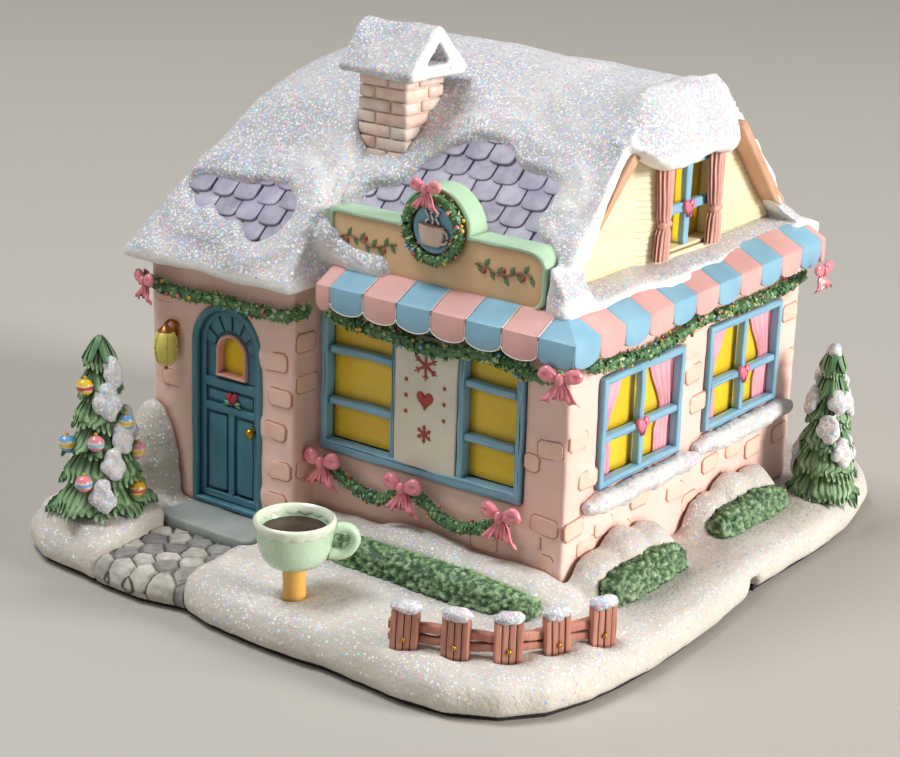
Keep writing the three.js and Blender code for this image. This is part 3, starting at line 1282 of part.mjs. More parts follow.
function doorKnob() {
  const profile = [[0, 0], [0.7, 0], [0.7, -0.5], [1.1, -0.8], [1.25, -1.4], [0.9, -2], [0, -2.3]];
  return turnedOut(profile.map(([radius, out]) => [radius, LEAF_FACE + out]), DOOR_X + 8.3, GROUND_TOP + 21.6, 10);
}

function wallLantern() {
  const [x, y, z] = [DOOR_X - 16, BAY_FRONT - 3.6, GROUND_TOP + 39];
  const profile = [[0, -5.8], [0.5, -5.4], [0.7, -4.8], [1.8, -4.4], [3, -3], [3.4, -0.6], [3.1, 1.8], [2.1, 3.6],
    [2.1, 4.2], [0.8, 5.2], [0.5, 5.8], [0, 6.2]];
  const body = turned(profile.map(([radius, up]) => [radius, z + up]), x, y, 12);
  return body.add(box(x - 0.8, x + 0.8, y, BAY_FRONT, z - 1, z + 1));
}

// Garlands and bows

// Rope of needles hung through the given points
function garland(points, radius) {
  const curve = new THREE.CatmullRomCurve3(points.map((point) => vec(...point)), false, 'centripetal');
  const count = Math.round(curve.getLength() / 2.8);
  const random = seeded(points.length * 31);
  const spots = curve.getSpacedPoints(count);
  const radii = spots.map((_, i) => {
    const end = Math.min(1, 0.45 + Math.min(i, count - i) * 0.4);
    return radius * end * (i % 2 ? 0.84 : 1) * (0.94 + 0.1 * random());
  });
  return tube(spots, radii, 5);
}

function doorGarland() {
  const y = BAY_FRONT - 2.6;
  const x = BAY_RIGHT;
  return garland([
    [HOUSE_LEFT - 0.5, y, WALL_TOP - 5.6], [HOUSE_LEFT + 11.4, y, WALL_TOP - 7.3],
    [HOUSE_LEFT + 23, y, WALL_TOP - 6.6], [HOUSE_LEFT + 32, y, WALL_TOP - 6.9],
    [x - 3.4, y, WALL_TOP - 6.8], [x + 1.6, y + 0.8, WALL_TOP - 6], [x + 3, y + 4.4, WALL_TOP - 5],
  ], 1.7);
}

function frontGarland() {
  const y = SHOP_FRONT - 3.6;
  return garland([
    [BAY_RIGHT + 5, y, WALL_TOP - 5.4], [BAY_RIGHT + 13.6, y, WALL_TOP - 7.3],
    [BAY_RIGHT + 22.3, y, WALL_TOP - 7.5], [BAY_RIGHT + 31, y, WALL_TOP - 8.6],
    [BAY_RIGHT + 38, y, WALL_TOP - 8.5], [BAY_RIGHT + 46, y, WALL_TOP - 6.9],
    [BAY_RIGHT + 54, y, WALL_TOP - 6.9], [BAY_RIGHT + 62, y, WALL_TOP - 8.4],
    [BAY_RIGHT + 69.5, y, WALL_TOP - 8],
  ], 1.9);
}

function sideGarland() {
  const x = HOUSE_RIGHT + 2.5;
  return garland([
    [x, SHOP_FRONT + 2.5, WALL_TOP - 6.2], [x, SHOP_FRONT + 12, WALL_TOP - 7.6],
    [x, SHOP_FRONT + 21.5, WALL_TOP - 8.1], [x, SHOP_FRONT + 29.6, WALL_TOP - 8.7],
    [x, SHOP_FRONT + 42.5, WALL_TOP - 7.2], [x, SHOP_FRONT + 49, WALL_TOP - 6],
    [x, SHOP_FRONT + 63, WALL_TOP - 6.7], [x, SHOP_FRONT + 75, WALL_TOP - 6.8],
    [x, SHOP_FRONT + 90, WALL_TOP - 6.6], [x, SHOP_FRONT + 99.5, WALL_TOP - 5.4],
  ], 1.8);
}

function swagGarland() {
  const y = SHOP_FRONT - 2.6;
  const z = SHOP_WINDOW_SILL;
  return garland([
    [BAY_RIGHT + 3.4, y, z - 1.6], [BAY_RIGHT + 9.8, y, z - 4.8], [BAY_RIGHT + 15.9, y, z - 7],
    [BAY_RIGHT + 21.8, y, z - 6.8], [BAY_RIGHT + 28.6, y, z - 3.4], [BAY_RIGHT + 33.4, y, z - 4.4],
    [BAY_RIGHT + 39.2, y, z - 7.6], [BAY_RIGHT + 46.3, y, z - 7.8], [BAY_RIGHT + 51.7, y, z - 5.6],
    [BAY_RIGHT + 57.4, y, z - 3.2],
  ], 1.6);
}

// Ribbon bow facing the front, then turned about the upright axis
function bow([x, y, z], size, turn = 0) {
  const parts = [ellipsoid([0, -0.02 * size, 0], [0.12 * size, 0.13 * size, 0.13 * size], 5, 3)];
  for (const side of [-1, 1]) {
    const loop = new THREE.SphereGeometry(1, 6, 4);
    loop.scale(0.28 * size, 0.11 * size, 0.19 * size);
    loop.translate(0.27 * size, 0, 0);
    loop.rotateY(side * -0.35);
    loop.scale(side, 1, 1);
    parts.push(toSolid(loop));
    const tail = [[0.02, 0.05, 0.06], [0.16, -0.26, 0.09], [0.3, -0.56, 0.13]].map(([across, down, half], i) => {
      const depth = (i === 1 ? -0.03 : 0) * size;
      return [[-half, -0.035], [half, -0.035], [half, 0.035], [-half, 0.035]].map(([dx, dy]) => (
        vec(side * (across * size) + dx * size, depth + dy * size, down * size)
      ));
    });
    parts.push(loft(tail, (point) => new THREE.Vector2(point.x, point.y)));
  }
  return join(parts).rotate(0, 0, (turn * 180) / Math.PI).translate(x, y, z);
}

// Trees

// Leaf blade drooping outward from a trunk axis: a ridge above, a keel below
function leafBlade(place, foot, reach, start, drop, width, turn) {
  const stations = [
    { out: start, z: 0, half: width * 0.45, thick: 1.1 },
    { out: start + (reach - start) * 0.55, z: -drop * 0.35, half: width * 0.5, thick: 0.9 },
    { out: reach, z: -drop, half: 0.25, thick: 0.3 },
  ];
  const [c, s] = [Math.cos(turn), Math.sin(turn)];
  const rings = stations.map(({ out, z, half, thick }) => (
    [[half, 0], [0, thick], [-half, 0]].map(([across, up]) => (
      vec(place[0] + out * c - across * s, place[1] + out * s + across * c, foot + z + up)
    ))
  ));
  return loft(rings, (point) => new THREE.Vector2(-point.x * s + point.y * c, point.z));
}

function tree(place, foot, height, radius, tiers) {
  const core = turned([
    [0, foot], [TREE_SOCKET, foot], [TREE_SOCKET, foot + 4.5], [radius * 0.66, foot + 6.5],
    [radius * 0.5, foot + height * 0.45], [radius * 0.26, foot + height * 0.78], [0, foot + height],
  ], place[0], place[1], 8);
  const blades = [];
  for (let tier = 0; tier < tiers; tier += 1) {
    const share = tier / (tiers - 1);
    const count = Math.round(7 - 3 * share);
    const reach = radius * (1 - 0.8 * share ** 0.9);
    for (let i = 0; i < count; i += 1) {
      const turn = (2 * Math.PI * (i + 0.5 * (tier % 2))) / count;
      const z = foot + 7.2 + (height - 12) * share;
      const start = reach * 0.25;
      blades.push(leafBlade(place, z, reach, start, reach * 0.34, reach * 0.62, turn));
    }
  }
  return join([core, ...blades]);
}

// Cup sign

const CUP_FOOT = GROUND_TOP + POST_HEIGHT;

function cupBowl() {
  const inner = CUP_FOOT + CUP_HEIGHT - 3;
  const profile = [
    [0, 0], [3.4, 0], [5.4, 1.3], [7.4, 4], [8.5, 7.6], [CUP_RADIUS, CUP_HEIGHT],
  ].map(([radius, up]) => [radius, CUP_FOOT + up]);
  const well = [
    [CUP_RADIUS - CUP_WALL, CUP_FOOT + CUP_HEIGHT], [CUP_RADIUS - CUP_WALL - 0.6, inner], [0, inner],
  ];
  const bowl = turned([...profile, ...well], CUP.x, CUP.y, 20);
  const [dx, dy] = [0.8, 0.6];
  const handle = [[7.2, 3.2], [10.6, 3.4], [13.4, 6.2], [12.6, 9.6], [8.2, 9.4]].map(([out, up]) => (
    vec(CUP.x + dx * out, CUP.y + dy * out, CUP_FOOT + up)
  ));
  const curve = new THREE.CatmullRomCurve3(handle, false, 'centripetal');
  const spots = curve.getSpacedPoints(9);
  const grip = tube(spots, spots.map(() => 1.1), 6);
  const hollow = turned([[0, inner], [6.5, inner], [6.5, inner + 9], [0, inner + 9]], CUP.x, CUP.y, 12);
  return bowl.add(grip.subtract(hollow));
}

function cupCoffee() {
  const floor = CUP_FOOT + CUP_HEIGHT - 3;
  const radius = CUP_RADIUS - CUP_WALL - 0.6 - FIT;
  return turned([[0, floor], [radius, floor], [radius, floor + 1.3], [0, floor + 1.3]], CUP.x, CUP.y, 20);
}

function cupPost() {
  const foot = GROUND_TOP - SOCKET_DEPTH;
  return turned([[0, foot], [POST_RADIUS, foot], [POST_RADIUS, CUP_FOOT], [0, CUP_FOOT]], CUP.x, CUP.y, 14);
}

// Lamp: holder that pulls down out of the underside, and its screw-in bulb

function lampHolder() {
  const top = RECESS_HEIGHT;
  const low = top - FLANGE_THICK;
  const high = low + HOLDER_HEIGHT;
  const barrel = BORE_RADIUS - FIT;
  const blank = turned([
    [0, low], [FLANGE_RADIUS, low], [FLANGE_RADIUS, top], [barrel, top], [barrel, top + 5],
    [barrel - 1, top + 6], [9, top + 6], [9, high], [SCREW_RADIUS + FIT, high], [SCREW_RADIUS + FIT, high - 15],
    [0, high - 15],
  ], LAMP.x, LAMP.y, 18);
  const notch = box(LAMP.x + 8, LAMP.x + 30, LAMP.y - 2, LAMP.y + 2, low - 1, top + 2.5);
  const slots = [-1, 1].map((side) => {
    const y = LAMP.y + side * (barrel - 0.6);
    return box(LAMP.x - 2.5, LAMP.x + 2.5, y - 1.2, y + 1.2, top + 1.2, top + 9);
  });
  return blank.subtract(join([notch, ...slots]));
}

function bulbCap() {
  const foot = RECESS_HEIGHT - FLANGE_THICK + HOLDER_HEIGHT - 14.6;
  const profile = [[0, foot], [2.4, foot], [2.4, foot + 0.8], [SCREW_RADIUS - 0.9, foot + 1.6]];
  for (let i = 0; i < 3; i += 1) {
    profile.push([SCREW_RADIUS, foot + 3 + i * 3.6], [SCREW_RADIUS - 0.6, foot + 4.8 + i * 3.6]);
  }
  profile.push([SCREW_RADIUS, foot + 14.6], [0, foot + 14.6]);
  return turned(profile, LAMP.x, LAMP.y, 12);
}

function bulbGlass() {
  const foot = RECESS_HEIGHT - FLANGE_THICK + HOLDER_HEIGHT;
  const rise = BULB_HEIGHT - 14.6;
  const profile = [
    [0, 0], [SCREW_RADIUS - 0.4, 0], [SCREW_RADIUS + 0.2, 0.1 * rise], [BULB_RADIUS * 0.86, 0.32 * rise],
    [BULB_RADIUS, 0.52 * rise], [BULB_RADIUS * 0.93, 0.7 * rise], [BULB_RADIUS * 0.66, 0.87 * rise],
    [BULB_RADIUS * 0.3, 0.97 * rise], [0, rise],
  ];
  return turned(profile.map(([radius, up]) => [radius, foot + up]), LAMP.x, LAMP.y, 14);
}

// Naming, colour and the finished group

function bows() {
  const wallFace = SHOP_FRONT - 5.2;
  const drop = SHOP_WINDOW_SILL;
  return {
    sign_bow: bow([SIGN.x - 0.4, SIGN.y - 4.6, SIGN.z + 8.4], 9.5),
    bow_corner: bow([HOUSE_RIGHT + 3.6, SHOP_FRONT - AWNING_REACH - 2.2, WALL_TOP - 5.8], 11, 0.3),
    bow_swag_left: bow([BAY_RIGHT + 5.4, wallFace, drop - 1.2], 9.5),
    bow_swag_middle: bow([BAY_RIGHT + 29.2, wallFace, drop - 1.6], 9.5),
    bow_swag_right: bow([BAY_RIGHT + 56.6, wallFace, drop - 1.4], 9.5),
    bow_eave_left: bow([HOUSE_LEFT + 2.6, BAY_FRONT - 5.1, WALL_TOP - 5.6], 7.5),
    bow_awning_back: bow([HOUSE_RIGHT + 9, HOUSE_BACK - 6, WALL_TOP - 2.6], 9, Math.PI / 2),
  };
}

function material(name, roughness, metalness = 0) {
  return new THREE.MeshStandardMaterial({ name, color: COLOURS[name], roughness, metalness });
}

const MATERIALS = {
  snow: material('snow', 0.75), pad: material('pad', 0.9), stone: material('stone', 0.7),
  step: material('step', 0.7), wall: material('wall', 0.65), shingle: material('shingle', 0.6),
  siding: material('siding', 0.6), blue: material('blue', 0.4), door: material('door', 0.4),
  pane: material('pane', 0.25), curtain: material('curtain', 0.5), brick: material('brick', 0.65),
  pink: material('pink', 0.45), tan: material('tan', 0.5), medallion: material('medallion', 0.4),
  panel: material('panel', 0.5), brass: material('brass', 0.35, 0.9), lantern: material('lantern', 0.35),
  garland: material('garland', 0.6), bow: material('bow', 0.25), hedge: material('hedge', 0.75),
  mint: material('mint', 0.25), coffee: material('coffee', 0.2), post: material('post', 0.4),
  fence: material('fence', 0.65), plastic: material('plastic', 0.45), bulb: material('bulb', 0.1),
};

const SPOTS = hedgeSpots();
const [WINDOW_FRONT, WINDOW_BACK] = SIDE_WINDOWS;

const PARTS = [
  ['ground_casting', groundCasting(), 'snow'],
  ['underside_pad', groundPad(), 'pad'],
  ['stone_path', stonePath(), 'stone'],
  ['door_step', doorStep(), 'step'],
  ['house_walls', houseWalls(), 'wall'],
  ['roof_casting', roofCasting(), 'snow'],
  ['shingles_left', shinglePatch(PATCHES.left), 'shingle'],
  ['shingles_right', shinglePatch(PATCHES.right), 'shingle'],
  ['gable_siding', gableSiding(), 'siding'],
  ['gable_window_bars', gableFrame(), 'blue'],
  ['gable_pane', gablePane(), 'pane'],
  ['gable_curtain_front', tiedCurtain(-1), 'curtain'],
  ['gable_curtain_back', tiedCurtain(1), 'curtain'],
  ['chimney_stack', chimneyStack(), 'brick'],
  ['chimney_cap', chimneyCap(), 'snow'],
  ['awning', awning(), 'pink'],
  ['sign_board', signBoard(), 'tan'],
  ['sign_wreath', signWreath(), 'garland'],
  ['sign_medallion', signMedallion(), 'medallion'],
  ['shop_window_frame', shopFrame(), 'blue'],
  ['shop_pane_left', shopPane(SHOP_GLAZING.left), 'pane'],
  ['shop_pane_right', shopPane(SHOP_GLAZING.right), 'pane'],
  ['menu_panel', menuPanel(), 'panel'],
  ['side_window_frame_front', sideFrame(WINDOW_FRONT), 'blue'],
  ['side_window_frame_back', sideFrame(WINDOW_BACK), 'blue'],
  ['side_pane_front', sidePane(WINDOW_FRONT), 'pane'],
  ['side_pane_back', sidePane(WINDOW_BACK), 'pane'],
  ['side_curtains_front', sideCurtains(WINDOW_FRONT), 'pink'],
  ['side_curtains_back', sideCurtains(WINDOW_BACK), 'pink'],
  ['side_sill_front', sideSill(WINDOW_FRONT), 'snow'],
  ['side_sill_back', sideSill(WINDOW_BACK), 'snow'],
  ['door_leaf', doorLeaf(), 'door'],
  ['door_pane', doorPane(), 'pane'],
  ['door_knob', doorKnob(), 'brass'],
  ['wall_lantern', wallLantern(), 'lantern'],
  ['garland_door', doorGarland(), 'garland'],
  ['garland_front', frontGarland(), 'garland'],
  ['garland_side', sideGarland(), 'garland'],
  ['garland_swag', swagGarland(), 'garland'],
  ...Object.entries(bows()).map(([name, solid]) => [name, solid, 'bow']),
  ['hedge_front', hedge(SPOTS.front), 'hedge'],
  ['hedge_side_front', hedge(SPOTS.sideFront), 'hedge'],
  ['hedge_side_back', hedge(SPOTS.sideBack), 'hedge'],
  ['tree_left', tree(TREE_LEFT_PLACE, GROUND_TOP + 2, TREE_LEFT_HEIGHT, 13, 5), 'garland'],
  ['tree_right', tree(TREE_RIGHT_PLACE, GROUND_TOP - SOCKET_DEPTH, TREE_RIGHT_HEIGHT, 10, 5), 'garland'],
  ['cup_bowl', cupBowl(), 'mint'],
  ['cup_coffee', cupCoffee(), 'coffee'],
  ['cup_post', cupPost(), 'post'],
  ['fence', fence(), 'fence'],
  ['lamp_holder', lampHolder(), 'plastic'],
  ['bulb_cap', bulbCap(), 'brass'],
  ['bulb_glass', bulbGlass(), 'bulb'],
];

// The origin is the centre of the ground's plan, at the underside
const xs = OUTLINE.map(([x]) => x);
const ys = OUTLINE.map(([, y]) => y);
const CENTRE = [(Math.min(...xs) + Math.max(...xs)) / 2, (Math.min(...ys) + Math.max(...ys)) / 2];

const shop = new THREE.Group();
shop.name = 'christmas_village_shop';
for (const [name, solid, slot] of PARTS) {
  const mesh = new THREE.Mesh(toGeometry(solid.translate(-CENTRE[0], -CENTRE[1], 0)), MATERIALS[slot]);
  mesh.name = name;
  shop.add(mesh);
}

export default shop;
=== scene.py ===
import math
import random

import bmesh
import bpy
import numpy as np
from mathutils import Matrix, Vector, noise
from mathutils.bvhtree import BVHTree


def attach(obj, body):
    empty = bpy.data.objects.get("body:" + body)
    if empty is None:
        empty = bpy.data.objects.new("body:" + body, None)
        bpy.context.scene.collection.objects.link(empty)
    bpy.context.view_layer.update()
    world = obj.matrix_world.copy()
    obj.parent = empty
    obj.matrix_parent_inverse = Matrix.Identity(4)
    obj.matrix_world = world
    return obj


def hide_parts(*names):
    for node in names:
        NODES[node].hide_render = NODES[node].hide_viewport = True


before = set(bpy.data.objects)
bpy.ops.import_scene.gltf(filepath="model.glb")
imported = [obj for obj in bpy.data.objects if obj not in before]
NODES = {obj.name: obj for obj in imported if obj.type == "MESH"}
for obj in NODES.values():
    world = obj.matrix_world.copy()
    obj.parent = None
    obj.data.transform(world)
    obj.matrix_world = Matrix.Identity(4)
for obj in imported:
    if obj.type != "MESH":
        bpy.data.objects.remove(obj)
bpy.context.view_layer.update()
SHIFT = Vector((0.929, -0.933, 0.0))    # house coordinates to the model's origin, in mm
MM = 0.001                              # metres in a millimetre
WHITE = (1, 1, 1)
noise.seed_set(1)                       # the same unevenness in every run


def place(x, y, z):
    """Point in house coordinates as a place in the scene."""
    return (Vector((x, y, z)) + SHIFT) * MM


# Camera, lamps, floor

# Camera fitted to the photograph: its place in house coordinates, and the image's right and up directions
CAMERA_AT = (295.42, -418.53, 207.67)
CAMERA_RIGHT = (0.80040063, 0.59863746, 0.03149649)
CAMERA_UP = (-0.21112027, 0.23232168, 0.94944977)


def make_camera():
    data = bpy.data.cameras.new("camera")
    data.sensor_width = 36.0
    data.lens = 88.0
    data.clip_start = 0.05
    camera = bpy.data.objects.new("camera", data)
    right, up = Vector(CAMERA_RIGHT), Vector(CAMERA_UP)
    back = right.cross(up).normalized()
    up = back.cross(right).normalized()
    right.normalize()
    turn = Matrix((right, up, back)).transposed().to_4x4()
    camera.matrix_world = Matrix.Translation(place(*CAMERA_AT)) @ turn
    bpy.context.scene.collection.objects.link(camera)
    bpy.context.scene.camera = camera


# Lamps: place, target, diameter (metres), power and colour
LAMPS = {
    "key": ((1.65, 0.45, 0.63), (0, 0, 0.04), 0.62, 40.0, (1.0, 0.97, 0.94)),
    "fill": ((-0.55, -0.95, 0.60), (0, 0, 0.05), 0.7, 1.0, (1.0, 0.95, 0.90)),
    "top": ((-0.60, -0.50, 1.95), (0, 0, 0.05), 0.9, 31.0, (0.96, 0.98, 1.0)),
}


def area_lamp(name, where, target, size, power, colour):
    data = bpy.data.lights.new(name, "AREA")
    data.shape = "DISK"
    data.size = size
    data.energy = power
    data.color = colour
    lamp = bpy.data.objects.new(name, data)
    lamp.location = where
    lamp.rotation_euler = (Vector(target) - Vector(where)).to_track_quat("-Z", "Y").to_euler()
    bpy.context.scene.collection.objects.link(lamp)


def linear(code):
    """Colour written as six hex digits, as linear numbers."""
    parts = [int(code[i:i + 2], 16) / 255 for i in (0, 2, 4)]
    return tuple(p / 12.92 if p < 0.04045 else ((p + 0.055) / 1.055) ** 2.4 for p in parts)


def add(tree, kind, inputs=None, **settings):
    """Shader node with its inputs linked or set."""
    node = tree.nodes.new("ShaderNode" + kind)
    for key, value in settings.items():
        setattr(node, key, value)
    for key, value in (inputs or {}).items():
        if isinstance(value, bpy.types.NodeSocket):
            tree.links.new(value, node.inputs[key])
        else:
            node.inputs[key].default_value = value
    return node


def backdrop_mesh(half, depth, bend, height):
    """Floor that bends up into a wall behind the object; all in metres."""
    rows = [(-half, 0.0)]
    rows += [(depth - bend + bend * math.sin(a), bend - bend * math.cos(a)) for a in np.linspace(0, math.pi / 2, 12)]
    rows.append((depth, height))
    direction = Vector((-0.56, 0.767, 0)).normalized()
    side = Vector((direction.y, -direction.x, 0))
    verts = [direction * reach + side * across + Vector((0, 0, z)) for reach, z in rows for across in (-half, half)]
    faces = [(2 * i, 2 * i + 1, 2 * i + 3, 2 * i + 2) for i in range(len(rows) - 1)]
    mesh = bpy.data.meshes.new("backdrop")
    mesh.from_pydata(verts, [], faces)
    mesh.shade_smooth()
    return mesh


def stage():
    make_camera()
    for name, settings in LAMPS.items():
        area_lamp(name, *settings)
    bpy.context.scene.view_settings.view_transform = "Standard"
    world = bpy.data.worlds.new("studio")
    world.use_nodes = True
    shade = world.node_tree.nodes["Background"]
    shade.inputs["Color"].default_value = (0.82, 0.80, 0.77, 1)
    shade.inputs["Strength"].default_value = 0.29
    bpy.context.scene.world = world
    mesh = backdrop_mesh(3.0, 1.9, 0.6, 2.2)
    floor = bpy.data.objects.new("backdrop", mesh)
    bpy.context.scene.collection.objects.link(floor)
    paper, tree, shader, where = base("backdrop", 0.6)
    tone = add(tree, "ValToRGB", {"Fac": add(tree, "TexNoise", {"Vector": where, "Scale": 900.0}).outputs["Fac"]})
    for element, code in zip(tone.color_ramp.elements, ("ADA9A2", "B4B0A9")):
        element.color = (*linear(code), 1)
    tree.links.new(tone.outputs["Color"], shader.inputs["Base Color"])
    mesh.materials.append(paper)


# Materials

def base(name, rough, metallic=0.0):
    """New material, its tree and shader, and the object's own coordinates."""
    material = bpy.data.materials.new(name)
    material.use_nodes = True
    tree = material.node_tree
    shader = tree.nodes["Principled BSDF"]
    shader.inputs["Roughness"].default_value = rough
    shader.inputs["Metallic"].default_value = metallic
    where = add(tree, "TexCoord").outputs["Object"]
    return material, tree, shader, where


def mixed(tree, factor, a, b, blend="MIX"):
    """Two colours mixed; each value is a socket or a number or colour."""
    node = add(tree, "Mix", {0: factor}, data_type="RGBA", blend_type=blend)
    for index, value in ((6, a), (7, b)):
        if isinstance(value, bpy.types.NodeSocket):
            tree.links.new(value, node.inputs[index])
        else:
            node.inputs[index].default_value = (*value[:3], 1)
    return node.outputs[2]


def maths(tree, operation, a, b=0.0, clamp=False):
    return add(tree, "Math", {0: a, 1: b}, operation=operation, use_clamp=clamp).outputs[0]


def vectors(tree, operation, inputs):
    return add(tree, "VectorMath", inputs, operation=operation).outputs[0]


def noise_at(tree, where, scale, detail=3.0, rough=0.55):
    node = add(tree, "TexNoise", {"Vector": where, "Scale": scale, "Detail": detail, "Roughness": rough})
    return node.outputs["Fac"]


def stretch(tree, where, x, y, z):
    return add(tree, "Mapping", {"Vector": where, "Scale": (x, y, z)}).outputs["Vector"]


def spread(tree, value, low, high):
    """Value stretched so that low becomes 0 and high becomes 1."""
    node = add(tree, "MapRange", {"Value": value, "From Min": low, "From Max": high})
    return node.outputs["Result"]


def bumped(tree, shader, layers):
    """Bump from (height, distance in mm) layers laid over each other."""
    normal = None
    for height, distance in layers:
        node = add(tree, "Bump", {"Height": height, "Distance": distance * MM, "Strength": 1.0})
        if normal is not None:
            tree.links.new(normal, node.inputs["Normal"])
        normal = node.outputs["Normal"]
    tree.links.new(normal, shader.inputs["Normal"])
    return normal


def painted_hollow_shade(tree, colour, tint, distance, strength):
    """Painted shade: the colour is darkened towards the tint in the hollows that ambient occlusion finds; distance in
    mm.
    """
    shade = add(tree, "AmbientOcclusion", {"Distance": distance * MM}, samples=6)
    hollow_shade = maths(tree, "MULTIPLY", maths(tree, "SUBTRACT", 1.0, shade.outputs["AO"]), strength, clamp=True)
    return mixed(tree, hollow_shade, colour, tint)


def painted(name, colour=None, other=None, rough=0.45, mottle=0.35, scale=120.0, hollow_shade=None, depth=1.5,
            shade_strength=0.9, bump=0.06, bump_scale=900.0, coat=0.0, grain=None, metal=0.0):
    """Hand-painted cast resin: a mottled colour, painted shade darkening the hollows that ambient occlusion finds, and
    a slightly uneven skin.
    With no colour, it comes from the piece's own tint."""
    material, tree, shader, where = base(name, rough, metal)
    if grain:
        where = stretch(tree, where, *grain)
    patches = spread(tree, noise_at(tree, where, scale), 0.35, 0.68)
    if colour is None:
        first = add(tree, "Attribute", attribute_name="tint").outputs["Color"]
        second = mixed(tree, 1.0, first, linear(other or "D8D2CC"), "MULTIPLY")
    else:
        first, second = linear(colour), linear(other)
    shade = mixed(tree, maths(tree, "MULTIPLY", patches, mottle * 2, clamp=True), first, second)
    # painted shade: the hollows that ambient occlusion finds are darkened towards the colour given for them
    if hollow_shade:
        shade = painted_hollow_shade(tree, shade, linear(hollow_shade), depth, shade_strength)
    tree.links.new(shade, shader.inputs["Base Color"])
    fine = noise_at(tree, where, bump_scale, 4.0)
    bumped(tree, shader, [(patches, bump * 0.6), (fine, bump)])
    uneven = maths(tree, "MULTIPLY", spread(tree, fine, 0.2, 0.9), 0.16)
    tree.links.new(maths(tree, "ADD", uneven, rough - 0.08), shader.inputs["Roughness"])
    if coat:
        shader.inputs["Coat Weight"].default_value = coat
        shader.inputs["Coat Roughness"].default_value = 0.12
    return material


# Colours of the flakes of glitter: where each starts on the ramp
FLAKES = [(0.0, "FFFFFF"), (0.18, "E2EEFF"), (0.3, "AFD4FF"), (0.39, "FFF6F0"), (0.5, "FFB8DA"),
          (0.59, "F4F4FA"), (0.68, "C9B8FF"), (0.77, "FFFFFF"), (0.86, "A9F0F2"), (0.94, "FFE4B8")]
FLAKE_LAYERS = [(2100.0, 0.86), (1300.0, 0.46)]     # scale, and share of the cells that are a flake


def snow(name, glitter, white="F4F1EB", shade="E2DFDD"):
    """White snow coat crowded with fine flakes that each show a pale colour and a slope of their own."""
    material, tree, shader, where = base(name, 0.6)
    shader.inputs["Subsurface Weight"].default_value = 0.05
    shader.inputs["Subsurface Radius"].default_value = (0.002, 0.0018, 0.0016)
    soft = noise_at(tree, where, 60.0)
    colour = mixed(tree, spread(tree, soft, 0.3, 0.7), linear(white), linear(shade))
    amount = maths(tree, "MULTIPLY", add(tree, "Attribute", attribute_name="glitter").outputs["Fac"], glitter)
    thick = spread(tree, noise_at(tree, where, 40.0, 3.0), 0.32, 0.6)
    cover = maths(tree, "MULTIPLY", amount, maths(tree, "ADD", maths(tree, "MULTIPLY", thick, 0.5), 0.5))
    colour = mixed(tree, maths(tree, "MULTIPLY", cover, 0.75, clamp=True), colour, linear("A3A4AA"))
    mask, tilt = None, None
    for scale, share in FLAKE_LAYERS:
        cell = add(tree, "TexVoronoi", {"Vector": where, "Scale": scale, "Randomness": 1.0})
        parts = add(tree, "SeparateColor", {"Color": cell.outputs["Color"]})
        near = maths(tree, "LESS_THAN", cell.outputs["Distance"], 0.46)
        picked = maths(tree, "LESS_THAN", parts.outputs[0], maths(tree, "MULTIPLY", cover, share))
        flake = maths(tree, "MULTIPLY", near, picked)
        hue = add(tree, "ValToRGB", {"Fac": parts.outputs[1]})
        ramp = hue.color_ramp
        ramp.interpolation = "CONSTANT"
        ramp.elements.remove(ramp.elements[1])
        ramp.elements[0].color = (*linear(FLAKES[0][1]), 1)
        for begin, code in FLAKES[1:]:
            ramp.elements.new(begin).color = (*linear(code), 1)
        colour = mixed(tree, flake, colour, hue.outputs["Color"])
        lean = vectors(tree, "SUBTRACT", {0: cell.outputs["Color"], 1: (0.5, 0.5, 0.5)})
        lean = vectors(tree, "SCALE", {0: lean, "Scale": flake})
        tilt = lean if tilt is None else vectors(tree, "ADD", {0: tilt, 1: lean})
        mask = flake if mask is None else maths(tree, "MAXIMUM", mask, flake)
    tree.links.new(colour, shader.inputs["Base Color"])
    crust = noise_at(tree, where, 900.0, 4.0, 0.65)
    lumps = noise_at(tree, where, 160.0, 2.0)
    normal = bumped(tree, shader, [(lumps, 0.3), (crust, 0.3)])
    turned = vectors(tree, "ADD", {0: normal, 1: vectors(tree, "SCALE", {0: tilt, "Scale": 0.6})})
    tree.links.new(vectors(tree, "NORMALIZE", {0: turned}), shader.inputs["Normal"])
    tree.links.new(maths(tree, "SUBTRACT", 0.62, maths(tree, "MULTIPLY", mask, 0.42)), shader.inputs["Roughness"])
    return material


# Shape tools: all sizes in millimetres, in house coordinates

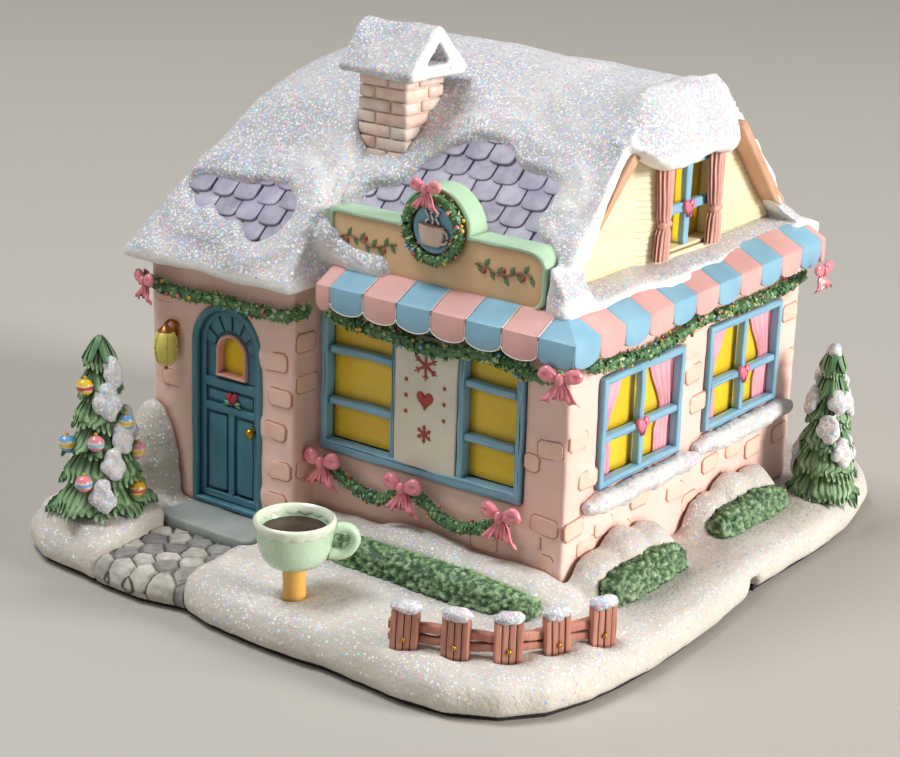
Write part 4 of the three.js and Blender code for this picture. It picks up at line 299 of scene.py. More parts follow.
class Build:
    """Gathers the vertices, faces, tints and share of glitter of one piece."""

    def __init__(self):
        self.verts, self.faces, self.tints, self.glitter = [], [], [], []

    def add(self, verts, faces, tint=WHITE):
        start = len(self.verts)
        self.verts.extend(verts)
        self.faces.extend(tuple(i + start for i in face) for face in faces)
        self.tints.extend([tint] * len(verts))
        self.glitter.extend([1.0] * len(verts))

    def mesh(self, name):
        mesh = bpy.data.meshes.new(name)
        verts = (np.array([tuple(v) for v in self.verts]) + np.array(SHIFT)) * MM
        mesh.from_pydata(verts.tolist(), [], self.faces)
        return mesh

    def piece(self, name, material, slot, replaces=(), body="house", sharp=40):
        mesh = self.mesh(name)
        tint = mesh.color_attributes.new("tint", "FLOAT_COLOR", "POINT")
        flat = np.ones((len(self.verts), 4), np.float32)
        flat[:, :3] = self.tints
        tint.data.foreach_set("color", flat.ravel())
        shine = mesh.attributes.new("glitter", "FLOAT", "POINT")
        shine.data.foreach_set("value", np.array(self.glitter, np.float32))
        mesh.shade_smooth()
        if sharp:
            mesh.set_sharp_from_angle(angle=math.radians(sharp))
        mesh.materials.append(material)
        obj = bpy.data.objects.new(name, mesh)
        bpy.context.scene.collection.objects.link(obj)
        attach(obj, body)
        if replaces:
            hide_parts(*replaces)
        return obj


def along(origin, x, y, z):
    """Local frame with its three directions as columns."""
    return Matrix((Vector(x), Vector(y), Vector(z))).transposed().to_4x4(), Vector(origin)


def upright(x, y, z):
    """Frame with the house's own directions."""
    return along((x, y, z), (1, 0, 0), (0, 1, 0), (0, 0, 1))


def facing_front(x, y, z):
    """Frame on a wall that faces -Y: local x to the right, local y up, local z outward."""
    return along((x, y, z), (1, 0, 0), (0, 0, 1), (0, -1, 0))


def facing_side(x, y, z):
    """Frame on a wall that faces +X."""
    return along((x, y, z), (0, 1, 0), (0, 0, 1), (1, 0, 0))


def into(local, points):
    """Points of a local frame in house coordinates."""
    matrix, origin = local
    return [matrix @ Vector(p) + origin for p in points]


def angles(count):
    """Even angles round a circle."""
    return [2 * math.pi * k / count for k in range(count)]


def columns(pairs):
    return [p[0] for p in pairs], [p[1] for p in pairs]


def rings(build, loops, tint=WHITE, closed=False):
    """Skin over loops of equal length, closed to a ring or capped at both ends."""
    size, count = len(loops[0]), len(loops)
    faces = []
    for r in range(count if closed else count - 1):
        for i in range(size):
            j, s = (i + 1) % size, (r + 1) % count
            faces.append((r * size + i, r * size + j, s * size + j, s * size + i))
    if not closed:
        faces.append(tuple(reversed(range(size))))
        faces.append(tuple(range((count - 1) * size, count * size)))
    build.add([v for loop in loops for v in loop], faces, tint)


def inset(outline, distance):
    """Outline moved inward; points run anticlockwise."""
    count = len(outline)
    moved = []
    for i in range(count):
        a, b, c = (Vector(outline[k % count]) for k in (i - 1, i, i + 1))
        e, f = (b - a).normalized(), (c - b).normalized()
        n1, n2 = Vector((-e.y, e.x)), Vector((-f.y, f.x))
        bis = n1 + n2
        if bis.length < 1e-6:
            bis = n1.copy()
        bis.normalize()
        stretch_by = min(1.6, 1 / max(0.3, bis.dot(n1)))
        moved.append(tuple(b + bis * distance * stretch_by))
    return moved


def slab(build, local, outline, height, bevel=0.3, tint=WHITE, dome=0.0, low=0.0):
    """Outline raised from low to height with a rounded top edge, in a local frame."""
    outline = [tuple(p) for p in outline]
    area = sum(a[0] * b[1] - b[0] * a[1] for a, b in zip(outline, outline[1:] + outline[:1]))
    if area < 0:
        outline.reverse()
    steps = [(0.0, low), (0.0, height - bevel)]
    steps += [(bevel * (1 - math.cos(a)), height - bevel + bevel * math.sin(a)) for a in (0.6, 1.1, 1.5708)]
    loops = [[(x, y, z) for x, y in inset(outline, d)] for d, z in steps]
    if dome:
        centre = Vector((sum(p[0] for p in outline), sum(p[1] for p in outline))) / len(outline)
        last = inset(outline, bevel)
        for share, up in ((0.6, 0.7), (0.25, 0.97)):
            loops.append([(centre.x + (x - centre.x) * share, centre.y + (y - centre.y) * share, height + dome * up)
                          for x, y in last])
    rings(build, [into(local, loop) for loop in loops], tint)


def smooth_line(points, spacing):
    """Points at even spacing on a smooth line through the given points."""
    points = [Vector(p) for p in points]
    dense = []
    for i in range(len(points) - 1):
        p0 = points[i - 1] if i else points[0] * 2 - points[1]
        p1, p2 = points[i], points[i + 1]
        p3 = points[i + 2] if i + 2 < len(points) else points[-1] * 2 - points[-2]
        for k in range(12):
            t = k / 12
            dense.append(0.5 * ((2 * p1) + (p2 - p0) * t + (2 * p0 - 5 * p1 + 4 * p2 - p3) * t ** 2
                                + (3 * p1 - p0 - 3 * p2 + p3) * t ** 3))
    dense.append(points[-1])
    lengths = [0.0]
    for a, b in zip(dense, dense[1:]):
        lengths.append(lengths[-1] + (b - a).length)
    count = max(2, round(lengths[-1] / spacing))
    found, k = [], 0
    for i in range(count + 1):
        target = lengths[-1] * i / count
        while k < len(dense) - 2 and lengths[k + 1] < target:
            k += 1
        span = max(lengths[k + 1] - lengths[k], 1e-9)
        found.append(dense[k].lerp(dense[k + 1], (target - lengths[k]) / span))
    return found


def tube(build, points, radii, sides=8, tint=WHITE, flatten=1.0, hint=(0, 0, 1)):
    """Round bar along points, with one radius or one for each point; flatten scales its height."""
    count = len(points)
    if not hasattr(radii, "__len__"):
        radii = [radii] * count
    loops = []
    for i, point in enumerate(points):
        line = (points[min(i + 1, count - 1)] - points[max(i - 1, 0)]).normalized()
        side = Vector(hint).cross(line)
        if side.length < 1e-4:
            side = Vector((1, 0, 0)).cross(line)
        side.normalize()
        up = line.cross(side)
        loops.append([point + side * (radii[i] * math.cos(a)) + up * (radii[i] * flatten * math.sin(a))
                      for a in angles(sides)])
    rings(build, loops, tint)


def blob(build, centre, radii, around=10, down=6, tint=WHITE, turn=None):
    """Rounded lump with unequal radii."""
    verts, faces = [], []
    centre = Vector(centre)
    for r in range(1, down):
        a = math.pi * r / down
        for b in angles(around):
            verts.append(Vector((radii[0] * math.sin(a) * math.cos(b), radii[1] * math.sin(a) * math.sin(b),
                                 radii[2] * math.cos(a))))
    top, bottom = len(verts), len(verts) + 1
    verts += [Vector((0, 0, radii[2])), Vector((0, 0, -radii[2]))]
    for r in range(down - 2):
        for k in range(around):
            j = (k + 1) % around
            faces.append((r * around + k, (r + 1) * around + k, (r + 1) * around + j, r * around + j))
    for k in range(around):
        j = (k + 1) % around
        faces.append((top, k, j))
        faces.append((bottom, (down - 2) * around + j, (down - 2) * around + k))
    if turn is not None:
        verts = [turn @ v for v in verts]
    build.add([v + centre for v in verts], faces, tint)


def lathe(build, profile, local, around=24, tint=WHITE):
    """Profile of (radius, height) turned about the local frame's third direction."""
    loops = []
    for radius, height in profile:
        radius = max(radius, 0.001)
        loops.append(into(local, [(radius * math.cos(a), radius * math.sin(a), height) for a in angles(around)]))
    rings(build, loops, tint)


def heart_line(size, count=28):
    """Outline of a heart about its middle."""
    points = []
    for k in range(count):
        t = 2 * math.pi * k / count
        x = 16 * math.sin(t) ** 3
        y = 13 * math.cos(t) - 5 * math.cos(2 * t) - 2 * math.cos(3 * t) - math.cos(4 * t)
        points.append((-x * size / 16, y * size / 16))
    return points





def recast(node, voxel, passes, extra=None):
    """Vertices (mm, house coordinates), normals and faces of a CAD node whose edges are rounded off as in a
    poured casting, joined with the solids of the extra build; node may be None."""
    joined = bmesh.new()
    if node:
        joined.from_mesh(NODES[node].data)
    if extra:
        joined.from_mesh(extra.mesh("extra"))
    data = bpy.data.meshes.new("recast")
    joined.to_mesh(data)
    joined.free()
    obj = bpy.data.objects.new("recast", data)
    bpy.context.scene.collection.objects.link(obj)
    remesh = obj.modifiers.new("r", "REMESH")
    remesh.mode = "VOXEL"
    remesh.voxel_size = voxel * MM
    soften = obj.modifiers.new("s", "SMOOTH")
    soften.factor = 0.5
    soften.iterations = passes
    graph = bpy.context.evaluated_depsgraph_get()
    mesh = bpy.data.meshes.new_from_object(obj.evaluated_get(graph))
    flat = np.empty(len(mesh.vertices) * 3, np.float64)
    mesh.vertices.foreach_get("co", flat)
    verts = flat.reshape(-1, 3) * 1000 - np.array(SHIFT)
    normal = np.empty(len(mesh.vertices) * 3, np.float64)
    mesh.vertices.foreach_get("normal", normal)
    faces = [tuple(p.vertices) for p in mesh.polygons]
    bpy.data.objects.remove(obj)
    bpy.data.meshes.remove(mesh)
    return verts, normal.reshape(-1, 3), faces


def seeded(seed):
    """Repeatable numbers between 0 and 1."""
    state = seed
    while True:
        state = state * 16807 % 2147483647
        yield state / 2147483647


def rect_line(x0, x1, y0, y1, step=2.5, corner=0.4):
    """Rectangle with clipped corners and points along its edges, anticlockwise."""
    corners = [Vector(p) for p in ((x0, y0), (x1, y0), (x1, y1), (x0, y1))]
    points = []
    for i, a in enumerate(corners):
        b = corners[(i + 1) % 4]
        length = (b - a).length
        count = max(1, round((length - 2 * corner) / step))
        points += [tuple(a.lerp(b, (corner + (length - 2 * corner) * k / count) / length)) for k in range(count + 1)]
    return points


def arch_line(x, width, z0, height, arc=18):
    """Outline of a doorway with a round head; x is its middle, z0 its foot."""
    step = 3.0
    radius = width / 2
    spring = z0 + height - radius
    base_count = max(1, round(width / step))
    rise = max(1, round((spring - z0) / step))
    points = [(x - radius + width * k / base_count, z0) for k in range(base_count)]
    points += [(x + radius, z0 + (spring - z0) * k / rise) for k in range(rise)]
    points += [(x + radius * math.cos(math.pi * k / arc), spring + radius * math.sin(math.pi * k / arc))
               for k in range(arc + 1)]
    points += [(x - radius, spring - (spring - z0) * k / rise) for k in range(1, rise)]
    return points


def band(build, local, outer, width, low, height, bevel=0.25):
    """Frame of even width just inside an outline."""
    loops = []
    for o, i in zip(outer, inset(outer, width)):
        o, i = Vector(o), Vector(i)
        step = (i - o).normalized() * bevel
        loops.append(into(local, [(*o, low), (*o, height - bevel), (*(o + step), height),
                                  (*(i - step), height), (*i, height - bevel), (*i, low)]))
    rings(build, loops, closed=True)


def shaken(build, amount, scale):
    """Small unevenness of a hand-made shape."""
    for i, v in enumerate(build.verts):
        at = Vector(v) * scale + Vector((3.0, 6.0, -3.0))
        build.verts[i] = Vector(v) + noise.noise_vector(at) * amount
    return build


def inside(points, polygon):
    """Which of the points lie within a polygon, and each one's distance to its edge."""
    points = np.asarray(points, float)
    polygon = np.asarray(polygon, float)
    hit = np.zeros(len(points), bool)
    near = np.full(len(points), 1e9)
    for (ax, ay), (bx, by) in zip(polygon, np.roll(polygon, -1, axis=0)):
        crosses = (ay > points[:, 1]) != (by > points[:, 1])
        at = ax + (points[:, 1] - ay) * (bx - ax) / (by - ay if by != ay else 1e-9)
        hit ^= crosses & (points[:, 0] < at)
        edge = np.array((bx - ax, by - ay))
        t = np.clip(((points - (ax, ay)) @ edge) / max(edge @ edge, 1e-9), 0, 1)
        gap = np.hypot(points[:, 0] - ax - t * edge[0], points[:, 1] - ay - t * edge[1])
        near = np.minimum(near, gap)
    return hit, near


def cast_build(node, voxel, passes, rough, grow, shape=None, extra=None):
    """Rounded and slightly lumpy copy of a CAD node as a Build, with its vertices and normals. Each part of
    rough is (height of the lumps in mm, lumps per mm), and grow is added all round."""
    verts, normals, faces = recast(node, voxel, passes, extra)
    push = np.full(len(verts), grow)
    for k, (amount, scale) in enumerate(rough):
        push += [amount * noise.noise(Vector(v) * scale + Vector((k * 7.1, 1.3, 5.0))) for v in verts]
    verts = verts + normals * push[:, None]
    if shape:
        verts = shape(verts, normals)
    build = Build()
    build.add([tuple(v) for v in verts], faces)
    return build, verts, normals


def smooth_step(value, low, high):
    """0 below low, 1 above high and a smooth rise between them."""
    t = np.clip((np.asarray(value, float) - low) / (high - low), 0, 1)
    return t * t * (3 - 2 * t)


# Sizes shared with the source, in house coordinates

HOUSE_LEFT, HOUSE_RIGHT, SHOP_FRONT, HOUSE_BACK = -63.0, 52.0, -42.0, 61.0
BAY_FRONT, BAY_RIGHT, GROUND_TOP = -51.3, -18.0, 10.0
MID_Y = 9.5                 # half way between the front and back walls
PITCH = 1.065               # the roof's rise over its run
SLOPE_COS, SLOPE_SIN = 1 / math.hypot(1, PITCH), PITCH / math.hypot(1, PITCH)


def on_slope(y, z):
    """Frame on the front slope of the roof: local y up the slope, local z outward."""
    return along((0, y, z), (1, 0, 0), (0, SLOPE_COS, SLOPE_SIN), (0, -SLOPE_SIN, SLOPE_COS))


SLOPES = {"left": on_slope(-57.636, 72.4), "right": on_slope(-44.498, 79.15)}

# Outlines of the bare patches on those slopes
PATCHES = {
    "left": [(-57, 21), (-51, 14), (-47.5, 15.6), (-41.5, 12.4), (-37, 13.4), (-31.5, 8.6), (-25.5, 12),
             (-23.8, 19), (-29, 24.5), (-42, 23), (-49, 23)],
    "right": [(-12.5, 5), (40, 4.5), (43, 10), (35, 16), (37.5, 24), (34.5, 28), (24, 29.4), (20, 33.4),
              (12, 34.6), (5, 31), (0, 25), (-3, 19), (-10.5, 16.2)],
}


def closed_line(points, spacing):
    """Even points on a closed smooth line."""
    wrapped = [(*p, 0) for p in points]
    wrapped = wrapped[-2:] + wrapped + wrapped[:2]
    dense = smooth_line(wrapped, spacing)
    start = min(range(len(dense) // 2), key=lambda i: (dense[i] - Vector(wrapped[2])).length)
    end = min(range(len(dense) // 2, len(dense)), key=lambda i: (dense[i] - Vector(wrapped[2])).length)
    return [(p.x, p.y) for p in dense[start:end]]


PATCH_LINES = {key: closed_line(points, 1.0) for key, points in PATCHES.items()}


# Snow

GABLE_LIP = [(-18.5, 107.2), (-17, 106.4), (-12.5, 103.2), (-8.1, 101.4), (-3, 100.9), (5.6, 101.2), (11.3, 101.9),
             (19.5, 101.2), (25, 101.6), (29.5, 104.5)]
LEDGE_REACH = [(-47, 52.6), (-38, 52.7), (-31, 53.2), (-20, 52.6), (-12, 53.2), (-6, 54.9), (0, 55.4), (4, 53.2),
               (10, 53.4), (16, 54.0), (22, 52.8), (34, 52.4), (46, 52.8), (56, 53.4), (63, 53.6)]


def gable_shift(x, y, z):
    """How far the back of the gable leans towards the front."""
    upper = smooth_step(z, 79.5, 86) * (1 - smooth_step(z, 108, 119))
    return 5.0 * smooth_step(x, 8, 42) * smooth_step(y, 14, 30) * upper


# Heaps of snow at the sign's foot: middle, and radii
SIGN_HEAPS = [((-14.5, -43.9, 79.6), (4.6, 2.4, 4.4)), ((-10.5, -44.1, 78.0), (4.4, 2.0, 3.4)),
              ((-6, -44.4, 77.0), (4.6, 1.8, 2.5)), ((-1.6, -44.6, 76.4), (4.4, 1.5, 1.8)),
              ((2.6, -44.7, 75.9), (3.4, 1.2, 1.1)), ((51.5, -43.6, 77.0), (3.5, 2.4, 2.0))]


def snow_extras():
    """Snow heaped over the head of the gable and over the sign's left foot."""
    extra = Build()
    loops = []
    first, last = GABLE_LIP[0][0], GABLE_LIP[-1][0]
    for y in np.linspace(first, last, 34):
        low = np.interp(y, *columns(GABLE_LIP)) + 0.25 * math.sin(y * 1.1)
        roof = min(119.0, 78.0 + PITCH * (y + 44.5), 78.0 + PITCH * (63.5 - y))
        out = 45.5 + 8.3 * min(1.0, (y - first + 0.4) / 4, (last + 0.4 - y) / 4) ** 0.5
        top = max(low + 2.5, roof - 0.5)
        section = [(43.0, low + 2.5), (47.5, low + 0.7), (out - 3.0, low), (out - 0.9, low + 0.5)]
        section += [(out - back, low + share * (top - low))
                    for back, share in ((0, 0.16), (0.6, 0.34), (2.6, 0.6), (5.6, 0.85))]
        loops.append([Vector((x, y, z)) for x, z in section + [(43.5, top)]])
    rings(extra, loops)
    for centre, radii in SIGN_HEAPS:
        blob(extra, centre, radii, 16, 10)
    return extra


def roof_shape(verts, normals):
    """Snow heaped up round the bare patches, and hanging in soft waves along the gable and the eaves."""
    moved = verts.copy()
    for key, (matrix, origin) in SLOPES.items():
        turn = np.array(matrix.to_3x3())
        flat = (verts - np.array(origin)) @ turn
        found = np.nonzero(np.abs(flat[:, 2]) < 3.5)[0]
        hit, gap = inside(flat[found, :2], PATCH_LINES[key])
        wave = np.array([noise.noise(Vector((u * 0.22, v * 0.22, 4.0))) for u, v in flat[found, :2]])
        out = np.where(hit, -gap, gap)
        puff = smooth_step(out, -0.4, 1.6) * (1 - smooth_step(out, 5.0, 10.0)) * (1.35 + 0.5 * wave)
        if key == "right":
            near_sign = smooth_step(verts[found, 0], -16, -10) * (1 - smooth_step(verts[found, 0], 46, 49))
            puff *= 1 - near_sign * (1 - smooth_step(flat[found, 1], 4.0, 9.0))
        facing = np.clip(normals[found] @ turn[:, 2], 0, 1)
        moved[found] += (puff * facing)[:, None] * turn[:, 2]
        slide = np.where((out > -2.5) & (out < 2.5), 1.0, 0.0) * (0.5 + wave)
        moved[found] += (slide * facing * 0.4)[:, None] * -turn[:, 1]
    x, y, z = moved.T
    moved[:, 1] = y - gable_shift(x, y, z)
    # The ledge under the gable gets its wavy edge and slopes down to it
    ledge = (z > 69) & (z < 86) & (x > 44)
    share = np.clip((x - 46) / 8.4, 0, 1)
    limit = np.interp(y, *columns(LEDGE_REACH))
    moved[:, 0] = np.where(ledge, x - np.maximum(0, 54.6 - limit) * share ** 1.5, x)
    moved[:, 2] = np.where(ledge & (z > 75), z - 1.7 * share ** 2, z)
    # Its back end is lower
    heap = smooth_step(x, 42, 48) * smooth_step(y, 46, 54) * (z > 78.5)
    moved[:, 2] = np.where(heap > 0, 78.5 + (moved[:, 2] - 78.5) * (1 - 0.55 * heap), moved[:, 2])
    tail = smooth_step(x, 43, 48) * smooth_step(y, 53, 63.5) * (z > 72)
    moved[:, 2] -= tail * (0.35 * (moved[:, 2] - 72))
    # The eave over the shop stays behind the sign and the awning
    front = (x < 46.6) & (z > 70) & (z < 84) & (y < -43.2)
    hold = np.where(front, smooth_step(x, 1.5, 6.0), 0)
    moved[:, 1] += hold * (-43.2 - moved[:, 1])
    return moved


def ground_shape(verts, normals):
    """Drifts on the ground's top; its foot stays off the floor."""
    top = smooth_step(normals[:, 2], 0.3, 0.9)
    drift = np.array([noise.noise(Vector((v[0] * 0.045, v[1] * 0.045, 2.0))) for v in verts])
    moved = verts.copy()
    moved[:, 2] += top * drift * 0.9
    moved[:, 2] = np.maximum(moved[:, 2], 1.2)
    return moved


def roof_glitter(verts, normals):
    """Glitter lies on what faces up, and thins out along the lower edges."""
    x, y, z = verts.T
    up = normals[:, 2]
    lip = np.minimum(smooth_step(up, -0.15, 0.3), 1.0)
    gable_edge = (x > 44) & (z > 84) & ((y < -15) | (y > 29))
    for where, share in (((y < -50) & (z < 76), smooth_step(z, 70.8, 73.6)),
                         (gable_edge, 1 - 0.85 * smooth_step(normals[:, 0], 0.2, 0.7)),
                         ((x > 50.5) & (z < 79), smooth_step(up, 0.55, 0.9))):
        lip = np.where(where, lip * share, lip)
    return lip


def snow_pieces(heavy, soft):
    rough = (0.6, 0.075), (0.25, 0.22)
    build, verts, normals = cast_build("roof_casting", 0.8, 6, rough, 0.2, roof_shape, snow_extras())
    build.glitter = list(roof_glitter(verts, normals))
    build.piece("snow_roof", heavy, "snow", ["roof_casting"], sharp=0)

    build, verts, normals = cast_build("chimney_cap", 0.45, 5, ((0.5, 0.13), (0.2, 0.4)), 0.2)
    build.glitter = list(1 - smooth_step(normals[:, 0], 0.5, 0.8) * 0.9)
    build.piece("snow_chimney_cap", heavy, "snow", ["chimney_cap"], sharp=0)

    # The ground's snow takes the darker, warmer snow paint, which is painted shade.
    build, verts, normals = cast_build("ground_casting", 0.95, 6, ((0.3, 0.12), (0.15, 0.3)), 0.3, ground_shape)
    build.glitter = list(0.45 + 0.55 * smooth_step(normals[:, 2], 0.2, 0.8))
    build.piece("snow_ground", soft, "snow", ["ground_casting"], sharp=0)
    for end in ("front", "back"):
        build, verts, normals = cast_build("side_sill_" + end, 0.32, 4, ((0.7, 0.2), (0.3, 0.55)), 0.75)
        build.glitter = [0.55] * len(verts)
        build.piece("snow_sill_" + end, heavy, "snow", ["side_sill_" + end], sharp=0)


# Walls and their bricks

# Each wall: its start, the direction along it, its outward direction, and its bricks as (offset, height)
BRICKS = {
    "bay": ((HOUSE_LEFT, BAY_FRONT), (1, 0), (0, -1),
            [(5, 51), (7.4, 30), (39.6, 41), (41.1, 32.5), (39.5, 24), (41.1, 14.5), (39.8, 6.5)]),
    "bay_end": ((BAY_RIGHT, BAY_FRONT), (0, 1), (1, 0), [(4, 46), (4.6, 36), (4.8, 15)]),
    "shop": ((HOUSE_RIGHT, SHOP_FRONT), (-1, 0), (0, -1),
             [(4.2, 34), (9, 30), (5, 16), (9.2, 11.5), (5.4, 7), (21, 8)]),
    "side": ((HOUSE_RIGHT, SHOP_FRONT), (0, 1), (1, 0),
             [(4, 36), (8.5, 26), (3.8, 15.4), (9, 9.8), (16, 12.6), (24, 9), (31, 15), (50.4, 46.5), (54.5, 52.5),
              (52, 40), (55, 32), (47, 12), (54, 7.5), (63, 14.6), (74, 15.5), (84, 13), (98, 45), (98.5, 33),
              (97.5, 13.5)]),
}


def scatter(length, seed):
    """Bricks on a wall that the photograph doesn't show."""
    draw = seeded(seed)
    count = int(length // 15)
    return [(8 + (i + 0.3 * next(draw)) * (length - 16) / (count - 0.5), 7 + 46 * next(draw)) for i in range(count)]


BRICKS["back"] = ((HOUSE_LEFT, HOUSE_BACK), (1, 0), (0, 1), scatter(115, 7))
BRICKS["left"] = ((HOUSE_LEFT, HOUSE_BACK), (0, -1), (-1, 0), scatter(103, 23))


def wall_pieces(wall, brick, line):
    build, _, _ = cast_build("house_walls", 0.75, 3, ((0.22, 0.09), (0.1, 0.35)), 0.05)
    build.piece("plaster_walls", wall, "wall", ["house_walls"], sharp=0)
    faces, lines = Build(), Build()
    draw = random.Random(5)
    joint = 0.26
    for key, ((x, y), (dx, dy), (nx, ny), spots) in BRICKS.items():
        for offset, z in spots:
            half = 0.6 if key == "shop" and (offset, z) == (9, 30) else 1.0     # it has little room by the window
            turn = math.radians(draw.uniform(-4, 4))
            right, up = Vector((dx, dy, 0)), Vector((0, 0, 1))
            if right.cross(up).dot(Vector((nx, ny, 0))) < 0:
                right = -right
            right, up = (right * math.cos(turn) + up * math.sin(turn), up * math.cos(turn) - right * math.sin(turn))
            local = along((x + dx * offset, y + dy * offset, GROUND_TOP + z), right, up, (nx, ny, 0))
            w, h = (3.35 + draw.uniform(-0.2, 0.35)) * half, 2.05 + draw.uniform(-0.15, 0.15)
            # Dark ring under the brick's edge: painted shadow of the groove round each brick.
            rim = rect_line(-w - joint, w + joint, -h - joint, h + joint, 1.2, 0.95)
            slab(lines, local, rim, 0.3, 0.1, low=-0.6)
            shade = draw.uniform(0.9, 1.06)
            slab(faces, local, rect_line(-w, w, -h, h, 1.2, 0.8), 0.46, 0.2, (shade, shade, shade), 0.05, low=-0.5)
    lines.piece("brick_outline_shadows", line, "wall")
    shaken(faces, 0.1, 0.5).piece("wall_bricks", brick, "wall", sharp=0)


# Shingles

SHINGLE_WIDE, SHINGLE_ROW = 6.9, 4.9
SHINGLE_SIDE = [(1, 4.6), (1, 2.0), (0.96, 1.1), (0.8, 0.42), (0.5, 0.06)]     # share of half the width, height


def shingle_pieces(material):
    draw = random.Random(8)
    for key, (matrix, origin) in SLOPES.items():
        us, vs = columns(PATCH_LINES[key])
        build = Build()
        row, v = 0, min(columns(PATCHES[key])[1]) - SHINGLE_ROW
        while v < max(vs):
            u = min(us) - SHINGLE_WIDE
            while u < max(us) + SHINGLE_WIDE:
                across = u + (row % 2) * SHINGLE_WIDE / 2
                hit, gap = inside([(across, v + 2.6)], PATCH_LINES[key])
                reach = gap[0] if hit[0] else -gap[0]
                in_sign = key == "right" and across < 47 and v < 4.5
                if reach > -2.4 and not in_sign:
                    tilt = Matrix.Rotation(-0.1 + draw.uniform(-0.02, 0.02), 4, "X")
                    twist = Matrix.Rotation(draw.uniform(-0.035, 0.035), 4, "Z")
                    spot = matrix @ Vector((across, v, -0.05 + draw.uniform(-0.15, 0.15))) + origin
                    w = 3.28 + draw.uniform(-0.08, 0.08)
                    outline = [(w, 7.0), (-w, 7.0)] + [(-w * share, t) for share, t in SHINGLE_SIDE] + [(0, -0.04)]
                    outline += [(w * share, t) for share, t in reversed(SHINGLE_SIDE)]
                    tone = draw.uniform(0.86, 1.1)
                    tint = tuple(c * tone for c in linear("B8B5C6"))
                    slab(build, (matrix @ tilt @ twist, spot), outline, 0.12, 0.26, tint, 0.1, low=-1.1)
                u += SHINGLE_WIDE
            v += SHINGLE_ROW
            row += 1
        shaken(build, 0.12, 0.4)
        build.piece("shingle_rows_" + key, material, "shingle", ["shingles_" + key], sharp=50)


# Gable: boards, rake boards, window, curtains

GABLE_KNEE, GABLE_TOP, GABLE_HALF, GABLE_FACE = 84.5, 105.0, 44.5, 45.2
PANE_Y, PANE_Z, PANE_W, PANE_H = 10.5, 90.4, 12.5, 10.6     # middle and half sizes of the gable's window


def gable_half(z):
    return GABLE_HALF - max(0.0, z - GABLE_KNEE) / 1.08


BOX_OUT = 3.0      # how far the gable's window stands forward of its boards


def board_face(y):
    """The boards turn out to meet the window's front side."""
    return GABLE_FACE + BOX_OUT * float(np.interp(y, (-9.5, -2.6, 0, 23.5, 24.2), (0, 1, 1, 1, 0)))


def rake_y(side, z):
    """Where the gable ends at a height, on its front (-1) or back (1) side."""
    y = MID_Y + side * gable_half(z)
    return y - float(gable_shift(50, y, z))


def clapboard_pieces(siding):
    draw = random.Random(12)
    build = Build()
    z, pitch = 77.6, 1.42
    while z < GABLE_TOP + 1:
        head = min(z + pitch, GABLE_TOP)
        spans = [(rake_y(-1, head), rake_y(1, head))]
        if z + pitch >= PANE_Z - PANE_H + 0.6 and z <= PANE_Z + PANE_H - 0.6:
            spans = [(spans[0][0], PANE_Y - PANE_W), (PANE_Y + PANE_W, spans[0][1])]
        for y0, y1 in spans:
            count = max(4, int((y1 - y0) / 0.9))
            loops = []
            for k in range(count + 1):
                y = y0 + (y1 - y0) * k / count
                dip = 0.22 * noise.noise(Vector((y * 0.3, z, 0))) + 0.1 * noise.noise(Vector((y * 1.1, z, 9)))
                face = board_face(y) + 0.1 * noise.noise(Vector((y * 0.7, z, 3)))
                section = [(GABLE_FACE - 2.4, z + dip), (face + 0.05, z + dip), (face + 0.24, z + dip + 0.16),
                           (face + 0.2, z + 0.8), (face, z + pitch + 0.3), (GABLE_FACE - 2.4, z + pitch + 0.3)]
                loops.append([Vector((x, y, h)) for x, h in section])
            tone = draw.uniform(0.95, 1.04)
            rings(build, loops, (tone, tone, tone))
        z += pitch
    build.piece("clapboards", siding, "siding", ["gable_siding"], sharp=35)


def rake_pieces(tan):
    rakes = Build()
    for side in (-1, 1):
        wide, end_x = (1.0, 50.2) if side > 0 else (0.3, 49.2)
        loops = []
        for k in range(25):
            t = k / 24
            z = GABLE_KNEE - 1.5 + (GABLE_TOP + 2.5 - GABLE_KNEE) * t
            y = rake_y(side, z)
            inward = Vector((-side, -0.75)).normalized()
            thick = wide + 0.15 * noise.noise(Vector((y * 0.3, z * 0.3, 1))) + (1.6 * t ** 3 if side < 0 else 0)
            outer = Vector((y, z)) - inward * 1.4
            inner = Vector((y, z)) + inward * thick
            section = ((GABLE_FACE - 0.3, outer), (end_x, outer), (end_x, inner - inward * 0.3),
                       (end_x - 0.3, inner), (GABLE_FACE - 0.3, inner))
            loops.append([Vector((x, *point)) for x, point in section])
        rings(rakes, loops)
    shaken(rakes, 0.15, 0.3).piece("rake_boards", tan, "tan")


